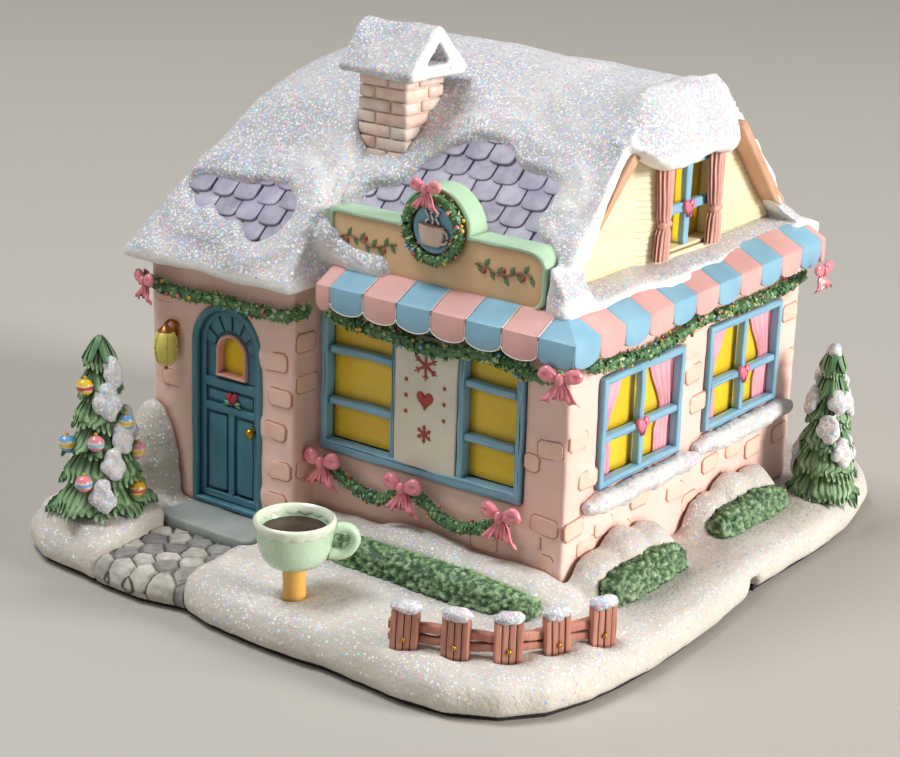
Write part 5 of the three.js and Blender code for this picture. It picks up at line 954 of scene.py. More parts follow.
def gable_window_pieces(siding, blue, pink):
    y, z, w, h = PANE_Y, PANE_Z, PANE_W - 0.3, PANE_H - 0.3
    bars = Build()
    local = facing_side(GABLE_FACE + BOX_OUT - 2.2, 0, 0)
    for *spot, high in ((y - 1.2, y + 1.2, z - h, z + h, 1.5), (y - w, y + w, z - 2.3, z, 1.42),
                        (y - w, y + w, z + h - 1.7, z + h, 1.5)):
        slab(bars, local, rect_line(*spot, 2, 0.3), high, 0.4)
    shaken(bars, 0.2, 0.25).piece("gable_bars", blue, "blue", ["gable_window_bars"])
    sides = Build()
    local = facing_side(GABLE_FACE - 2.5, 0, 0)
    for spot in ((y - w - 0.2, y - w - 0.2 + 0.7, z - h, z + h), (y + w - 0.5, y + w - 0.5 + 0.7, z - h, z + h),
                 (y - w, y + w, z - h - 0.6, z - h + 0.2)):
        slab(sides, local, rect_line(*spot, 2.5, 0.1), BOX_OUT + 1.8, 0.2)
    sides.piece("gable_reveal", siding, "siding")
    heart = Build()
    slab(heart, facing_side(GABLE_FACE + BOX_OUT - 0.9, y, z - 1.3), heart_line(2.3), 1.0, 0.5, dome=0.35)
    heart.piece("gable_heart", pink, "pink", sharp=60)


def tied_curtain_pieces(curtain):
    tie, height = 0.38, 21.8
    face, foot = GABLE_FACE + BOX_OUT, PANE_Z - PANE_H - 0.6
    for side, offset, name in ((-1, -13.0, "front"), (1, 9.6, "back")):
        curtains = Build()
        loops = []
        for i in range(49):
            t = i / 48
            pinch = math.exp(-((t - tie) / 0.06) ** 2)
            half = 2.3 - 0.8 * pinch + 0.12 * math.sin(t * 9) + 0.5 * abs(t - tie)
            mid = PANE_Y + offset + 0.12 * math.sin(t * 5 + side)
            loop = []
            for a in angles(72):
                ripple = math.cos(a * 13 + 0.9 * math.sin(t * 4))
                fold = 1 + (0.13 - 0.05 * pinch) * ripple + 0.04 * math.cos(a * 5 + t * 3)
                depth = 1.5 if math.sin(a) > 0 else 1.0
                loop.append(Vector((face + 0.5 + depth * fold * math.sin(a), mid + half * fold * math.cos(a),
                                    foot + t * height)))
            loops.append(loop)
        rings(curtains, loops)
        for k in range(3):
            spot = face + 1.2, PANE_Y + offset + (k - 1) * 1.1, foot + tie * height + 0.1 * k
            blob(curtains, spot, (1.1, 0.95, 1.0), 14, 9)
        curtains.piece("tied_curtain_" + name, curtain, "curtain", ["gable_curtain_" + name], sharp=60)


# Chimney

def chimney_pieces(brick, mortar):
    x0, y0, side, top = -19.5, -27.5, 14.0, 116.2
    course_height, gap, back = 2.9, 0.24, 0.55      # the mortar lies back behind the bricks
    core = Build()
    outline = rect_line(x0 + back, x0 + side - back, y0 + back, y0 + side - back, 3, 0.4)
    slab(core, upright(0, 0, 0), outline, top + 0.4, 0.2, low=97.0)
    core.piece("chimney_mortar", mortar, "brick", ["chimney_stack"])
    bricks = Build()
    draw = random.Random(21)
    course, z = 0, top
    while z > 95:
        split = side * (0.36 if course % 2 else 0.62)
        jitter = draw.uniform(-0.6, 0.6)
        xs, ys = x0 + split + jitter, y0 + side - split + jitter
        for ax, bx in ((x0, xs - gap), (xs + gap, x0 + side)):
            for ay, by in ((y0, ys - gap), (ys + gap, y0 + side)):
                tone = draw.uniform(0.84, 1.08)
                warm = draw.uniform(0, 1)
                tint = tuple(tone * (a + (b - a) * warm) for a, b in zip(linear("FAEBE2"), linear("F4D3C6")))
                low, high = z - course_height + 0.42, z
                if ay > y0 + 8 and z < 100:
                    continue        # inside the roof
                grow = draw.uniform(0, 0.12)
                outline = rect_line(ax - grow, bx + grow, ay - grow, by + grow, 1.5, 0.45)
                rings(bricks, [[Vector((*p, h)) for p in inset(outline, d)] for d, h in (
                    (0.22, low), (0.0, low + 0.2), (0.0, high - 0.2), (0.22, high))], tint)
        z -= course_height
        course += 1
    shaken(bricks, 0.09, 0.45).piece("chimney_bricks", brick, "brick", sharp=50)


# Awning

AWNING_START, AWNING_END = -7.6, 57.4                   # x on the front, y on the side
FRONT_REACH, SIDE_REACH = (2.0, 9.3), (-0.6, 6.7)       # how far top and fold stand out from the walls
AWNING_TOP, AWNING_FOLD, AWNING_LOW, AWNING_INSIDE = 75.7, 72.1, 68.2, 69.7
AWNING_THICK, AWNING_RISE, SCALLOP = 1.5, 0.021, 2.1


def awning_point(share, off, z, at, front):
    """Place on the awning: share runs from its top (0) to its fold (1), off stands out from that."""
    front_out, side_out = (near + (far - near) * share + off for near, far in (FRONT_REACH, SIDE_REACH))
    if front:
        x, y = min(at, HOUSE_RIGHT + side_out), SHOP_FRONT - front_out
    else:
        x, y = HOUSE_RIGHT + side_out, max(at, SHOP_FRONT - front_out)
    return Vector((x, y, z + AWNING_RISE * max(0.0, y - SHOP_FRONT + FRONT_REACH[1])))


def scallop_at(t):
    """Height of a stripe's rounded lower edge at the share t of its width."""
    return AWNING_LOW - SCALLOP * math.sqrt(max(0.0, 1 - (2 * t - 1) ** 2))


def awning_section(t, width):
    """Section of a stripe at the share t of its width: (share, off, height)."""
    edge = min(t, 1 - t) * width
    sink = 0.16 * (1 - min(1, edge / 0.3)) ** 0.7
    crown = 0.1 * (1 - (2 * t - 1) ** 2) - sink
    drop = scallop_at(t)
    top, fold = AWNING_TOP, AWNING_FOLD
    section = [(0, 2.6, AWNING_INSIDE), (0, 2.6, top - 1.7), (0, -0.4, top - 0.2)]
    section += [(s, 0, top + (fold - top) * s + crown) for s in (0.0, 0.3, 0.6, 0.85, 0.97)]
    section += [(1, off, z) for off, z in (
        (crown * 0.5, fold), (crown + 0.02, fold - 0.22), (crown + 0.05, (fold + drop) / 2), (crown, drop + 0.6),
        (crown - 0.15, drop + 0.12), (-0.6, drop), (-AWNING_THICK + 0.2, drop + 0.2), (-AWNING_THICK, drop + 1.0),
        (-AWNING_THICK, AWNING_INSIDE))]
    return section


def stripe(build, start, end, front):
    """One awning stripe from start to end along its wall."""
    loops = []
    for t in (0, 0.015, 0.035, 0.08, 0.16, 0.27, 0.4, 0.5, 0.6, 0.73, 0.84, 0.92, 0.965, 0.985, 1):
        at = start + (end - start) * t
        loops.append([awning_point(share, off, z, at, front) for share, off, z in awning_section(t, end - start)])
    rings(build, loops)


def edge_lines(build, start, end, front):
    """Thin pale line along a stripe's right side and its scalloped edge."""
    section = awning_section(1.0, end - start)[3:10]
    line = [awning_point(share, off + 0.1, z + 0.12, end, front) for share, off, z in section]
    line.append(awning_point(1, 0.0, AWNING_LOW + 0.1, end, front))
    tube(build, smooth_line(line, 0.6), 0.15, 6)
    line = [awning_point(1, 0.02, scallop_at(k / 22) + 0.14, start + (end - start) * (k / 22), front)
            for k in range(23)]
    tube(build, line, 0.13, 6)


def awning_pieces(pink, blue, edge):
    stripes = {"pink": Build(), "blue": Build()}
    lines = Build()
    pitch = (HOUSE_RIGHT + SIDE_REACH[1] - AWNING_START) / 7
    for i in range(7):
        ends = AWNING_START + i * pitch, AWNING_START + (i + 1) * pitch
        stripe(stripes["pink" if i % 2 else "blue"], *ends, True)
        if i < 6:
            edge_lines(lines, *ends, True)
    stripe(stripes["pink"], AWNING_START - 4.2, AWNING_START, True)
    corner = SHOP_FRONT - FRONT_REACH[1]
    pitch = (AWNING_END - corner) / 11
    for i in range(11):
        stripe(stripes["pink" if i % 2 else "blue"], corner + i * pitch, corner + (i + 1) * pitch, False)
    stripe(stripes["pink"], AWNING_END, AWNING_END + 2.3, False)
    for key, material in (("pink", pink), ("blue", blue)):
        shaken(stripes[key], 0.08, 0.2).piece("awning_" + key, material, key, ["awning"], sharp=28)
    shaken(lines, 0.08, 0.2).piece("awning_edges", edge, "panel", sharp=0)


# Leaves, garlands and bows

GREENS = [linear(code) for code in ("86AE74", "6B9560", "9EC088", "557F54", "BCCB94")]
BEADS = [linear(code) for code in ("E5B832", "C9453F", "7FB3DA", "E2808F", "E5B832")]


def leaf(build, at, out, side, length, width, thick, tint):
    """Pointed leaf with a raised middle vein."""
    up = out.cross(side).normalized()
    middle = at + out * length * 0.45
    points = [at - out * length * 0.15, middle + side * width, at + out * length, middle - side * width,
              at + out * length * 0.4 + up * thick, at + out * length * 0.35 - up * thick * 0.6]
    faces = [(k, (k + 1) % 4, 4) for k in range(4)] + [((k + 1) % 4, k, 5) for k in range(4)]
    build.add(points, faces, tint)


def spoke(line, i, angle):
    """Direction of the line at its point i, and a direction that stands out from it at an angle."""
    forward = (line[i + 1] - line[i]).normalized()
    across = forward.cross(Vector((0, 0, 1))).normalized()
    up = across.cross(forward)
    return forward, across * math.cos(angle) + up * math.sin(angle)


def rope(build, beads, points, radius, seed, density=2.6, closed=False):
    """Leafy garland along points, with little beads."""
    draw = random.Random(seed)
    line = smooth_line(points, 0.9)
    core = [radius * 0.72 * (1 + 0.14 * math.sin(i * 1.9)) for i in range(len(line))]
    if not closed:
        core[0] = core[-1] = radius * 0.4
    tube(build, line, core, 8, GREENS[3])
    for _ in range(int(len(line) * density * 2.3)):
        along_it = draw.uniform(0, len(line) - 1.001)
        i = int(along_it)
        here = line[i].lerp(line[i + 1], along_it - i)
        forward, radial = spoke(line, i, draw.uniform(0, 2 * math.pi))
        sway = draw.choice((-1, 1))
        out = (radial * draw.uniform(0.5, 1.0) + forward * sway * draw.uniform(0.5, 1.1)).normalized()
        side = out.cross(radial)
        if side.length < 0.05:
            continue
        side.normalize()
        end = min(along_it, len(line) - 1 - along_it) / 3 if not closed else 1
        size = radius * draw.uniform(0.5, 0.78) * min(1, 0.6 + end)
        leaf(build, here + radial * radius * 0.6, out, side, size, size * 0.42, size * 0.3, draw.choice(GREENS))
    for _ in range(int(len(line) * 0.42)):
        i = int(draw.uniform(1, len(line) - 2))
        _, radial = spoke(line, i, draw.uniform(0, 2 * math.pi))
        size = draw.uniform(0.34, 0.5)
        blob(beads, line[i] + radial * radius * 0.98, (size, size, size), 8, 6, draw.choice(BEADS))


GARLANDS = {
    "door": ([(-63.5, -53.9, 64.4), (-51.6, -53.9, 62.7), (-40, -53.9, 63.4), (-31, -53.9, 63.1), (-21.4, -53.9, 63.2),
              (-16.4, -53.1, 64), (-15, -49.5, 65)], 1.9),
    "front": ([(x, -45.7, z) for x, z in ((-13, 64.6), (-4.4, 62.7), (4.3, 62.5), (13, 61.4), (20, 61.5), (28, 63.1),
                                          (36, 63.1), (44, 61.6), (51.5, 62))], 2.1),
    "side": ([(54.5, y, z) for y, z in ((-39.5, 63.8), (-30, 62.4), (-20.5, 61.9), (-12.4, 61.3), (0.5, 62.8), (7, 64),
                                        (21, 63.3), (33, 63.2), (48, 63.4), (57.5, 64.6))], 1.75),
    "swag": ([(x, -44.7, z) for x, z in ((-14.6, 27.4), (-8.2, 24.2), (-2.1, 22), (3.8, 22.2), (10.6, 25.6),
                                         (15.4, 24.6), (21.2, 21.4), (28.3, 21.2), (33.7, 23.4), (39.4, 25.8))], 1.8),
}


def garland_pieces(green, bead):
    for k, (name, (points, radius)) in enumerate(GARLANDS.items()):
        leaves, beads = Build(), Build()
        rope(leaves, beads, points, radius, 50 + k)
        leaves.piece("leaves_" + name, green, "garland", ["garland_" + name], sharp=30)
        beads.piece("beads_" + name, bead, "garland", sharp=0)


BOW_CREASES = [(-0.42, 0.75), (0.05, 1.0), (0.5, 0.7)]        # place across the loop, depth
BOW_TAILS = [(0.36, 0.6, 0.05), (0.13, 0.52, 0.02)]            # reach to the side, drop, lean


def bow_build(build, centre, size, turn):
    """Ribbon bow facing the front, then turned about the upright axis: a knot, two loops and four tails."""
    spin = Matrix.Rotation(turn, 3, "Z")
    centre = Vector(centre)

    def put(x, y, z):
        return centre + spin @ Vector((x * size, y * size, z * size))

    loops = []
    for k in range(15):
        a = math.pi * k / 14
        loops.append([put(0.115 * math.sin(a) * math.cos(b) * (1 + 0.08 * math.cos(3 * b)),
                          -0.06 + 0.1 * math.sin(a) * math.sin(b), -0.15 * math.cos(a)) for b in angles(14)])
    rings(build, loops)
    for side in (-1, 1):
        loops = []
        for k in range(19):
            t = k / 18
            half = 0.055 + 0.19 * math.sin(math.pi * min(1, t ** 0.85)) ** 0.8 * (0.55 + 0.45 * t)
            if t > 0.86:
                half *= math.sqrt(max(0.05, 1 - ((t - 0.86) / 0.145) ** 2))
            thick = 0.035 + 0.085 * math.sin(math.pi * min(1, t ** 0.8)) + (0.02 if t < 0.9 else 0)
            mid_z = 0.02 + 0.075 * math.sin(math.pi * t * 0.8)
            loop = []
            for b in angles(26):
                across, crease = math.cos(b), 0.0
                if math.sin(b) < 0:
                    for at, depth in BOW_CREASES:
                        crease += depth * math.exp(-((across - at * (0.5 + t)) / 0.13) ** 2) * (1 - 0.75 * t)
                    crease += 0.9 * math.exp(-((t - 0.62) / 0.16) ** 2) * math.exp(-(across / 0.36) ** 2)
                loop.append(put(side * (0.05 + 0.5 * t), -0.01 + thick * math.sin(b) * (1 - 0.42 * min(1.4, crease)),
                                mid_z + half * across))
            loops.append(loop)
        rings(build, loops)
        for reach, drop, lean in BOW_TAILS:
            loops = []
            for k in range(11):
                t = k / 10
                x, z = side * (0.02 + reach * t ** 1.15), -0.03 - drop * t
                half = 0.05 + 0.085 * t ** 0.8
                y = 0.015 + lean * math.sin(t * 6) * (0.6 + t) - 0.03
                left, right = put(x - half, y, z), put(x + half, y, z)
                loop = []
                for i, off in [(i, -0.02) for i in range(9)] + [(i, 0.035) for i in range(8, -1, -1)]:
                    s = i / 8
                    notch = 0.1 * (1 - abs(2 * s - 1)) * t if t > 0.89 else 0.0
                    ripple = 0.022 * math.cos(s * 3 * math.pi) * (0.3 + 0.7 * t)
                    loop.append(left.lerp(right, s) + spin @ Vector((0, (off + ripple) * size, notch * size)))
                loops.append(loop)
            rings(build, loops)


BOWS = {
    "sign_bow": ((16, -48.0, 98.0), 7.6, 0), "bow_corner": ((55.4, -51.5, 64.4), 9.0, 0.35),
    "bow_swag_left": ((-12.6, -47.2, 27.8), 10, 0), "bow_swag_middle": ((11.2, -47.2, 27.4), 10, 0),
    "bow_swag_right": ((38.6, -47.2, 27.6), 10, 0), "bow_eave_left": ((-60.4, -56.4, 64.4), 8, -0.3),
    "bow_awning_back": ((61, 55, 67.4), 7.8, math.pi / 2),
}


def bow_pieces(material):
    for name, (centre, size, turn) in BOWS.items():
        build = Build()
        bow_build(build, centre, size, turn)
        build.piece("ribbon_" + name, material, "bow", [name], sharp=55)


# Sign

HEAD_X, HEAD_Z = 16.4, 88.6       # middle of the sign's round head


def sign_outline(inset_by):
    """Board with a rounded right end and a round head standing over it."""
    x0, x1 = -13.6 + inset_by, 46.0 - inset_by
    z0, z1 = 74.4 + inset_by * 0.2, HEAD_Z - inset_by
    corner, radius = 4.4 - inset_by * 0.6, 9.6 - inset_by
    meet = math.asin((z1 - HEAD_Z) / radius)
    quarter = [math.pi / 2 * k / 8 for k in range(1, 9)]
    points = [(x0 + (x1 - corner - x0) * k / 20, z0) for k in range(21)]
    points += [(x1 - corner + corner * math.sin(a), z0 + corner - corner * math.cos(a)) for a in quarter]
    points += [(x1 - corner + corner * math.cos(a), z1 - corner + corner * math.sin(a)) for a in quarter]
    edge = HEAD_X + radius * math.cos(meet)
    points += [(x1 - corner + (edge - x1 + corner) * k / 8, z1) for k in range(1, 8)]
    points += [(HEAD_X + radius * math.cos(a), HEAD_Z + radius * math.sin(a))
               for a in (meet + (math.pi - 2 * meet) * k / 24 for k in range(25))]
    left = HEAD_X - radius * math.cos(meet)
    points += [(left + (x0 + 1 - left) * k / 10, z1) for k in range(1, 11)] + [(x0, z1 - 1)]
    points += [(x0, z1 - 1 + (z0 - z1 + 1) * k / 4) for k in range(1, 4)]
    return points


def sign_vine(build):
    """A twig with leaves and berries on each side of the wreath."""
    for x0, x1, phase in ((-10.6, 5.6, 0.0), (27.4, 42.2, 1.0)):
        points = [(x0 + (x1 - x0) * k / 16, -44.32, 82.0 + 0.8 * math.sin(phase + k * 0.5)) for k in range(17)]
        line = smooth_line(points, 0.45)
        tube(build, line, 0.26, 8, linear("8A5A3C"), flatten=0.8)
        for k in range(1, len(line) - 1, 4):
            side = 1 if (k // 4) % 2 else -1
            forward = (line[k + 1] - line[k]).normalized()
            out = (forward * 0.7 + Vector((0, 0, side))).normalized()
            leaf(build, line[k] + out * 0.15, out, out.cross(Vector((0, 1, 0))), 2.3, 0.62, 0.3, linear("5E8E58"))
            if (k // 4) % 3 == 1:
                spot = line[k] - Vector((0, 0, side * 1.2))
                blob(build, spot, (0.6, 0.4, 0.6), 9, 6, linear("B5483C"))


def sign_mug(build):
    """Relief of a steaming mug."""
    clay = linear("DCC3B4")
    half = [(2.9, -3.1), (3.3, -1.5), (3.45, 0.8), (1.2, 0.95)]
    profile = [(-2.0, -3.9), (2.0, -3.9)] + half + [(-x, z) for x, z in reversed(half)]
    slab(build, facing_front(16.1, -45.0, HEAD_Z), profile, 0.95, 0.4, clay, dome=0.25)
    tube(build, [Vector((19.3 + 1.35 * math.cos(a), -45.7, 87.2 + 1.5 * math.sin(a)))
                 for a in (-2.2 + 4.4 * k / 14 for k in range(15))], 0.34, 8, clay)
    for shift in (-1.3, 0.1, 1.5):
        wisp = [(16.1 + shift + 0.4 * math.sin(k * 0.9 + shift), -45.5, 89.9 + k * 0.4) for k in range(8)]
        tube(build, smooth_line(wisp, 0.2), 0.27, 8, linear("F4F1EC"))
    blob(build, (16.1, -45.75, 89.5), (3.0, 0.35, 0.35), 14, 6, linear("8A5C44"))


def sign_pieces(mint, tan, tinted, green, blue, berry):
    board = Build()
    local = facing_front(0, -38.5, 0)
    rim = sign_outline(0)
    slab(board, local, rim, 5.6, 0.3)
    band(board, local, rim, 1.15, 5.3, 6.25, 0.35)
    shaken(board, 0.16, 0.15).piece("sign_rim", mint, "mint", ["sign_board"], sharp=45)
    face = Build()
    slab(face, local, sign_outline(1.0), 5.72, 0.1)
    shaken(face, 0.16, 0.15).piece("sign_face", tan, "tan", sharp=45)
    vine = Build()
    sign_vine(vine)
    vine.piece("sign_vine", tinted, "bow", sharp=50)

    wreath, berries = Build(), Build()
    ring_points = [(HEAD_X + 7.1 * math.cos(a), -45.6, HEAD_Z + 7.1 * math.sin(a)) for a in angles(28)]
    ring_points.append((HEAD_X + 7.1 * math.cos(2 * math.pi), -45.6, HEAD_Z + 7.1 * math.sin(2 * math.pi)))
    rope(wreath, berries, ring_points, 1.5, 77, 3.0, closed=True)
    wreath.piece("leaves_wreath", green, "garland", ["sign_wreath"], sharp=30)
    berries.piece("berries_wreath", berry, "garland", sharp=0)
    disc = Build()
    lathe(disc, [(0, 0), (5.6, 0), (5.6, 1.0), (5.3, 1.3), (4.9, 1.3), (4.6, 1.05), (0, 1.05)],
          facing_front(HEAD_X, -44.1, HEAD_Z), 48)
    disc.piece("sign_disc", blue, "medallion", ["sign_medallion"], sharp=40)
    mug = Build()
    sign_mug(mug)
    mug.piece("sign_mug", tinted, "medallion", sharp=50)


# Windows

DRAPE_SHAPE = [(0, 6.4), (0.25, 6.6), (0.42, 5.0), (0.5, 4.8), (0.62, 6.0), (0.8, 8.6), (1, 10.6)]


def hung(build, y0, side, bottom, top, x):
    """Cast curtain drawn to one side; DRAPE_SHAPE gives its width at each share of its height."""
    loops = []
    depth, count = 0.75, 22
    for k in range(25):
        t = k / 24
        width = np.interp(t, *columns(DRAPE_SHAPE))
        z = bottom + (top - bottom) * t
        lean = 0.8 * math.sin(t * 3)
        loop = [Vector((x + depth * (0.55 + 0.45 * math.cos(i / count * math.pi * 7 + lean)) * (0.75 + 0.25 * t),
                        y0 + side * width * i / count, z)) for i in range(count + 1)]
        loops.append(loop + [Vector((x - 0.35, y0 + side * width, z)), Vector((x - 0.35, y0, z))])
    rings(build, loops)


def snowflake(build, x, y, z, size):
    """Six-armed snowflake as a painted relief."""
    for k in range(3):
        a = math.pi * k / 3 + math.pi / 6
        d = Vector((math.cos(a), 0, math.sin(a)))
        line = [Vector((x, y, z)) + d * (size * s) for s in (-1, -0.5, 0, 0.5, 1)]
        tube(build, line, [0.14, 0.3, 0.34, 0.3, 0.14], 8)
        for s in (-0.68, 0.68):
            for lean in (-0.75, 0.75):
                tip = Vector((math.cos(a + lean), 0, math.sin(a + lean))) * (size * 0.3) * (1 if s > 0 else -1)
                foot = Vector((x, y, z)) + d * (size * s * 0.85)
                tube(build, [foot, foot + tip * 0.6, foot + tip], [0.24, 0.22, 0.12], 8)


def shop_window_pieces(blue, panel, red):
    bars = Build()
    local = facing_front(0, -40.3, 0)
    x0, x1, z0, z1 = -16.7, 40.4, 29.3, 64.7
    for *spot, high in ((x0, -14.8, z0, z1, 2.9), (38.8, x1, z0, z1, 2.9), (x0, x1, 63.4, z1, 2.75),
                        (x0, x1, z0, 31.9, 3.0), (3.9, 5.1, z0, z1, 2.8), (22.9, 24.5, z0, z1, 2.8)):
        slab(bars, local, rect_line(*spot, 2.5, 0.25), high, 0.45)
    for share in (0.35, 0.7):
        z = 29 + 36 * share
        for a, b in ((-14.4, 4.1), (24.3, 38.4)):
            slab(bars, local, rect_line(a, b, z - 0.85, z + 0.85, 2.5, 0.2), 2.2, 0.4)
    shaken(bars, 0.28, 0.16).piece("shop_frame_bars", blue, "blue", ["shop_window_frame"])
    board = Build()
    slab(board, facing_front(0, -41.6, 0), rect_line(5.2, 22.8, 30.7, 63.1, 2.5, 0.35), 1.7, 0.35)
    shaken(board, 0.14, 0.14).piece("menu_board", panel, "panel", ["menu_panel"])
    marks = Build()
    x, face, middle = 14, -43.32, 48.2
    for z, size in ((56.2, 3.6), (40.0, 2.2)):
        snowflake(marks, x, face, z, size)
    slab(marks, facing_front(x, face + 0.25, middle), heart_line(2.4), 0.5, 0.25, dome=0.2)
    for dot_x in (8.6, 19.4):
        for z in (52, middle, 44.4):
            blob(marks, (dot_x, face, z), (0.5, 0.32, 0.5), 10, 6)
    marks.piece("menu_ornament", red, "bow", sharp=50)


def side_window_pieces(blue, pink, curtain):
    for name, y, z in (("front", -30.0, 32.0), ("back", 16.0, 33.4)):
        bars = Build()
        local = facing_side(50.9, 0, 0)
        a, b, c, d = y + 0.3, y + 34.7, z + 0.3, z + 26.2
        mid_y, mid_z = (a + b) / 2, z + 11.4
        for *spot, high in ((a, a + 1.7, c, d, 2.15), (b - 1.7, b, c, d, 2.15), (a, b, d - 1.7, d, 2.05),
                            (a, b, c, c + 1.7, 2.1)):
            slab(bars, local, rect_line(*spot, 2.5, 0.25), high, 0.45)
        slab(bars, local, rect_line(mid_y - 0.9, mid_y + 0.9, c + 1, d - 1, 2.5, 0.2), 1.75, 0.4)
        slab(bars, local, rect_line(a + 1, b - 1, mid_z - 0.85, mid_z + 0.85, 2.5, 0.2), 1.7, 0.4)
        shaken(bars, 0.24, 0.17).piece("side_frame_bars_" + name, blue, "blue", ["side_window_frame_" + name])
        heart = Build()
        slab(heart, facing_side(52.4, mid_y, mid_z - 0.1), heart_line(2.5), 1.0, 0.5, dome=0.35)
        heart.piece("side_heart_" + name, pink, "pink", sharp=60)
        drapes = Build()
        for start, side in ((1.6, 1), (33.4, -1)):
            hung(drapes, y + start, side, z + 1.5, z + 24.8, 50.25)
        shaken(drapes, 0.1, 0.3)
        drapes.piece("side_drapes_" + name, curtain, "pink", ["side_curtains_" + name], sharp=50)


# Door, step, lantern

DOOR_X, PANE_X = -39.0, -38.5      # middle of the door's leaf and of its pane


def reach_to(outline, x, z, angle):
    """Distance from an inner point to the outline in one direction."""
    rx, rz = math.cos(angle), math.sin(angle)
    found = []
    for (ax, az), (bx, bz) in zip(outline, outline[1:] + outline[:1]):
        ex, ez = bx - ax, bz - az
        det = rx * -ez + ex * rz
        if abs(det) > 1e-9:
            t = ((ax - x) * -ez + ex * (az - z)) / det
            s = (rx * (az - z) - rz * (ax - x)) / det
            if t > 0 and -1e-6 <= s <= 1 + 1e-6:
                found.append(t)
    return min(found)


def door_leaf(build, local):
    """Leaf with its frame, rails, panels and the stones round its pane."""
    x, pane_x = DOOR_X, PANE_X
    band(build, local, arch_line(x, 19.4, 10.6, 50.1), 2.1, 0, 2.25, 0.35)
    for *spot, high in ((x - 8, x + 8.2, 40.0, 42.4, 2.1), (x - 8, x + 8.2, 34.0, 36.0, 2.15),
                        (x - 8, x + 8.2, 11.2, 13.6, 2.15), (pane_x - 0.9, pane_x + 0.9, 12.5, 35.2, 2.1)):
        slab(build, local, rect_line(*spot, 2.5, 0.2), high, 0.35)
    for spot in ((x - 7.0, pane_x - 1.6, 14.2, 33.4), (pane_x + 1.6, x + 7.2, 14.2, 33.4),
                 (x - 7.0, x + 7.2, 36.7, 39.4)):
        slab(build, local, rect_line(*spot, 2.5, 0.3), 1.75, 0.35)
    backing = arch_line(x, 18.8, 10.9, 49.6, 30)
    middle, thick = 48.6, 1.25
    loops = []
    for hx, hz in arch_line(pane_x, 8.6, 43.4, 10.2, 16):
        angle = math.atan2(hz - middle, hx - pane_x)
        far = reach_to(backing, pane_x, middle, angle)
        ox, oz = pane_x + far * math.cos(angle), middle + far * math.sin(angle)
        loops.append(into(local, [(hx, hz, 0), (hx, hz, thick), (ox, oz, thick), (ox, oz, 0)]))
    rings(build, loops, closed=True)
    for degrees in (-66, -38, -12, 14, 40, 68):
        a0, a1 = math.radians(degrees - 10.5), math.radians(degrees + 10.5)
        mid, near, far = (a0 + a1) / 2, 5.6, 9.4 + 0.5 * math.cos(math.radians(degrees))
        wedge = [(pane_x + r * math.sin(a), 49.2 + r * math.cos(a))
                 for r, a in ((near, a0), (near, a1), (near + 1.5, a1), (far, a1), (far, mid), (far, a0),
                              (near + 1.5, a0))]
        wedge[4] = (wedge[4][0], wedge[4][1] + 0.12)
        slab(build, local, wedge, 1.8, 0.3)


def door_pieces(teal, trim, brass, tinted):
    local = facing_front(0, -48.0, 0)
    carving = Build()
    door_leaf(carving, local)
    shaken(carving, 0.14, 0.2).piece("door_carving", teal, "door", ["door_leaf"])
    casing = Build()
    band(casing, facing_front(0, BAY_FRONT + 0.7, 0), arch_line(-38.6, 22.2, 10.2, 51.6), 1.7, 0, 1.35, 0.45)
    shaken(casing, 0.14, 0.2).piece("door_casing", teal, "door")
    edge = Build()
    band(edge, local, arch_line(PANE_X, 9.4, 43.4 - 0.3, 10.9, 20), 0.7, 0, 2.45, 0.3)
    shaken(edge, 0.08, 0.3).piece("door_pane_trim", trim, "pink")
    emblem = Build()
    slab(emblem, facing_front(PANE_X + 0.3, -49.7, 38.2), heart_line(1.75), 0.75, 0.35, linear("C2344A"), dome=0.25)
    for side in (-1, 1):
        for k, code in enumerate(("4E9A62", "8FC79A")):
            out = Vector((side, 0, -0.25 + 0.5 * k)).normalized()
            leaf(emblem, Vector((PANE_X + 0.3 + side * 0.9, -50.1, 36.75 + 0.25 * k)), out,
                 out.cross(Vector((0, 1, 0))), 2.3 - 0.5 * k, 0.5, 0.3, linear(code))
    emblem.piece("door_emblem", tinted, "bow", sharp=50)
    knob = Build()
    lathe(knob, [(0, 0), (1.15, 0), (1.15, 0.25), (0.95, 0.45), (0.5, 0.6), (0.45, 1.1), (0.7, 1.35), (1.15, 1.75),
                 (1.3, 2.3), (1.15, 2.85), (0.7, 3.2), (0, 3.35)], facing_front(DOOR_X + 8.1, -49.8 + 0.1, 31.6), 28)
    knob.piece("door_knob_turned", brass, "brass", ["door_knob"], sharp=60)


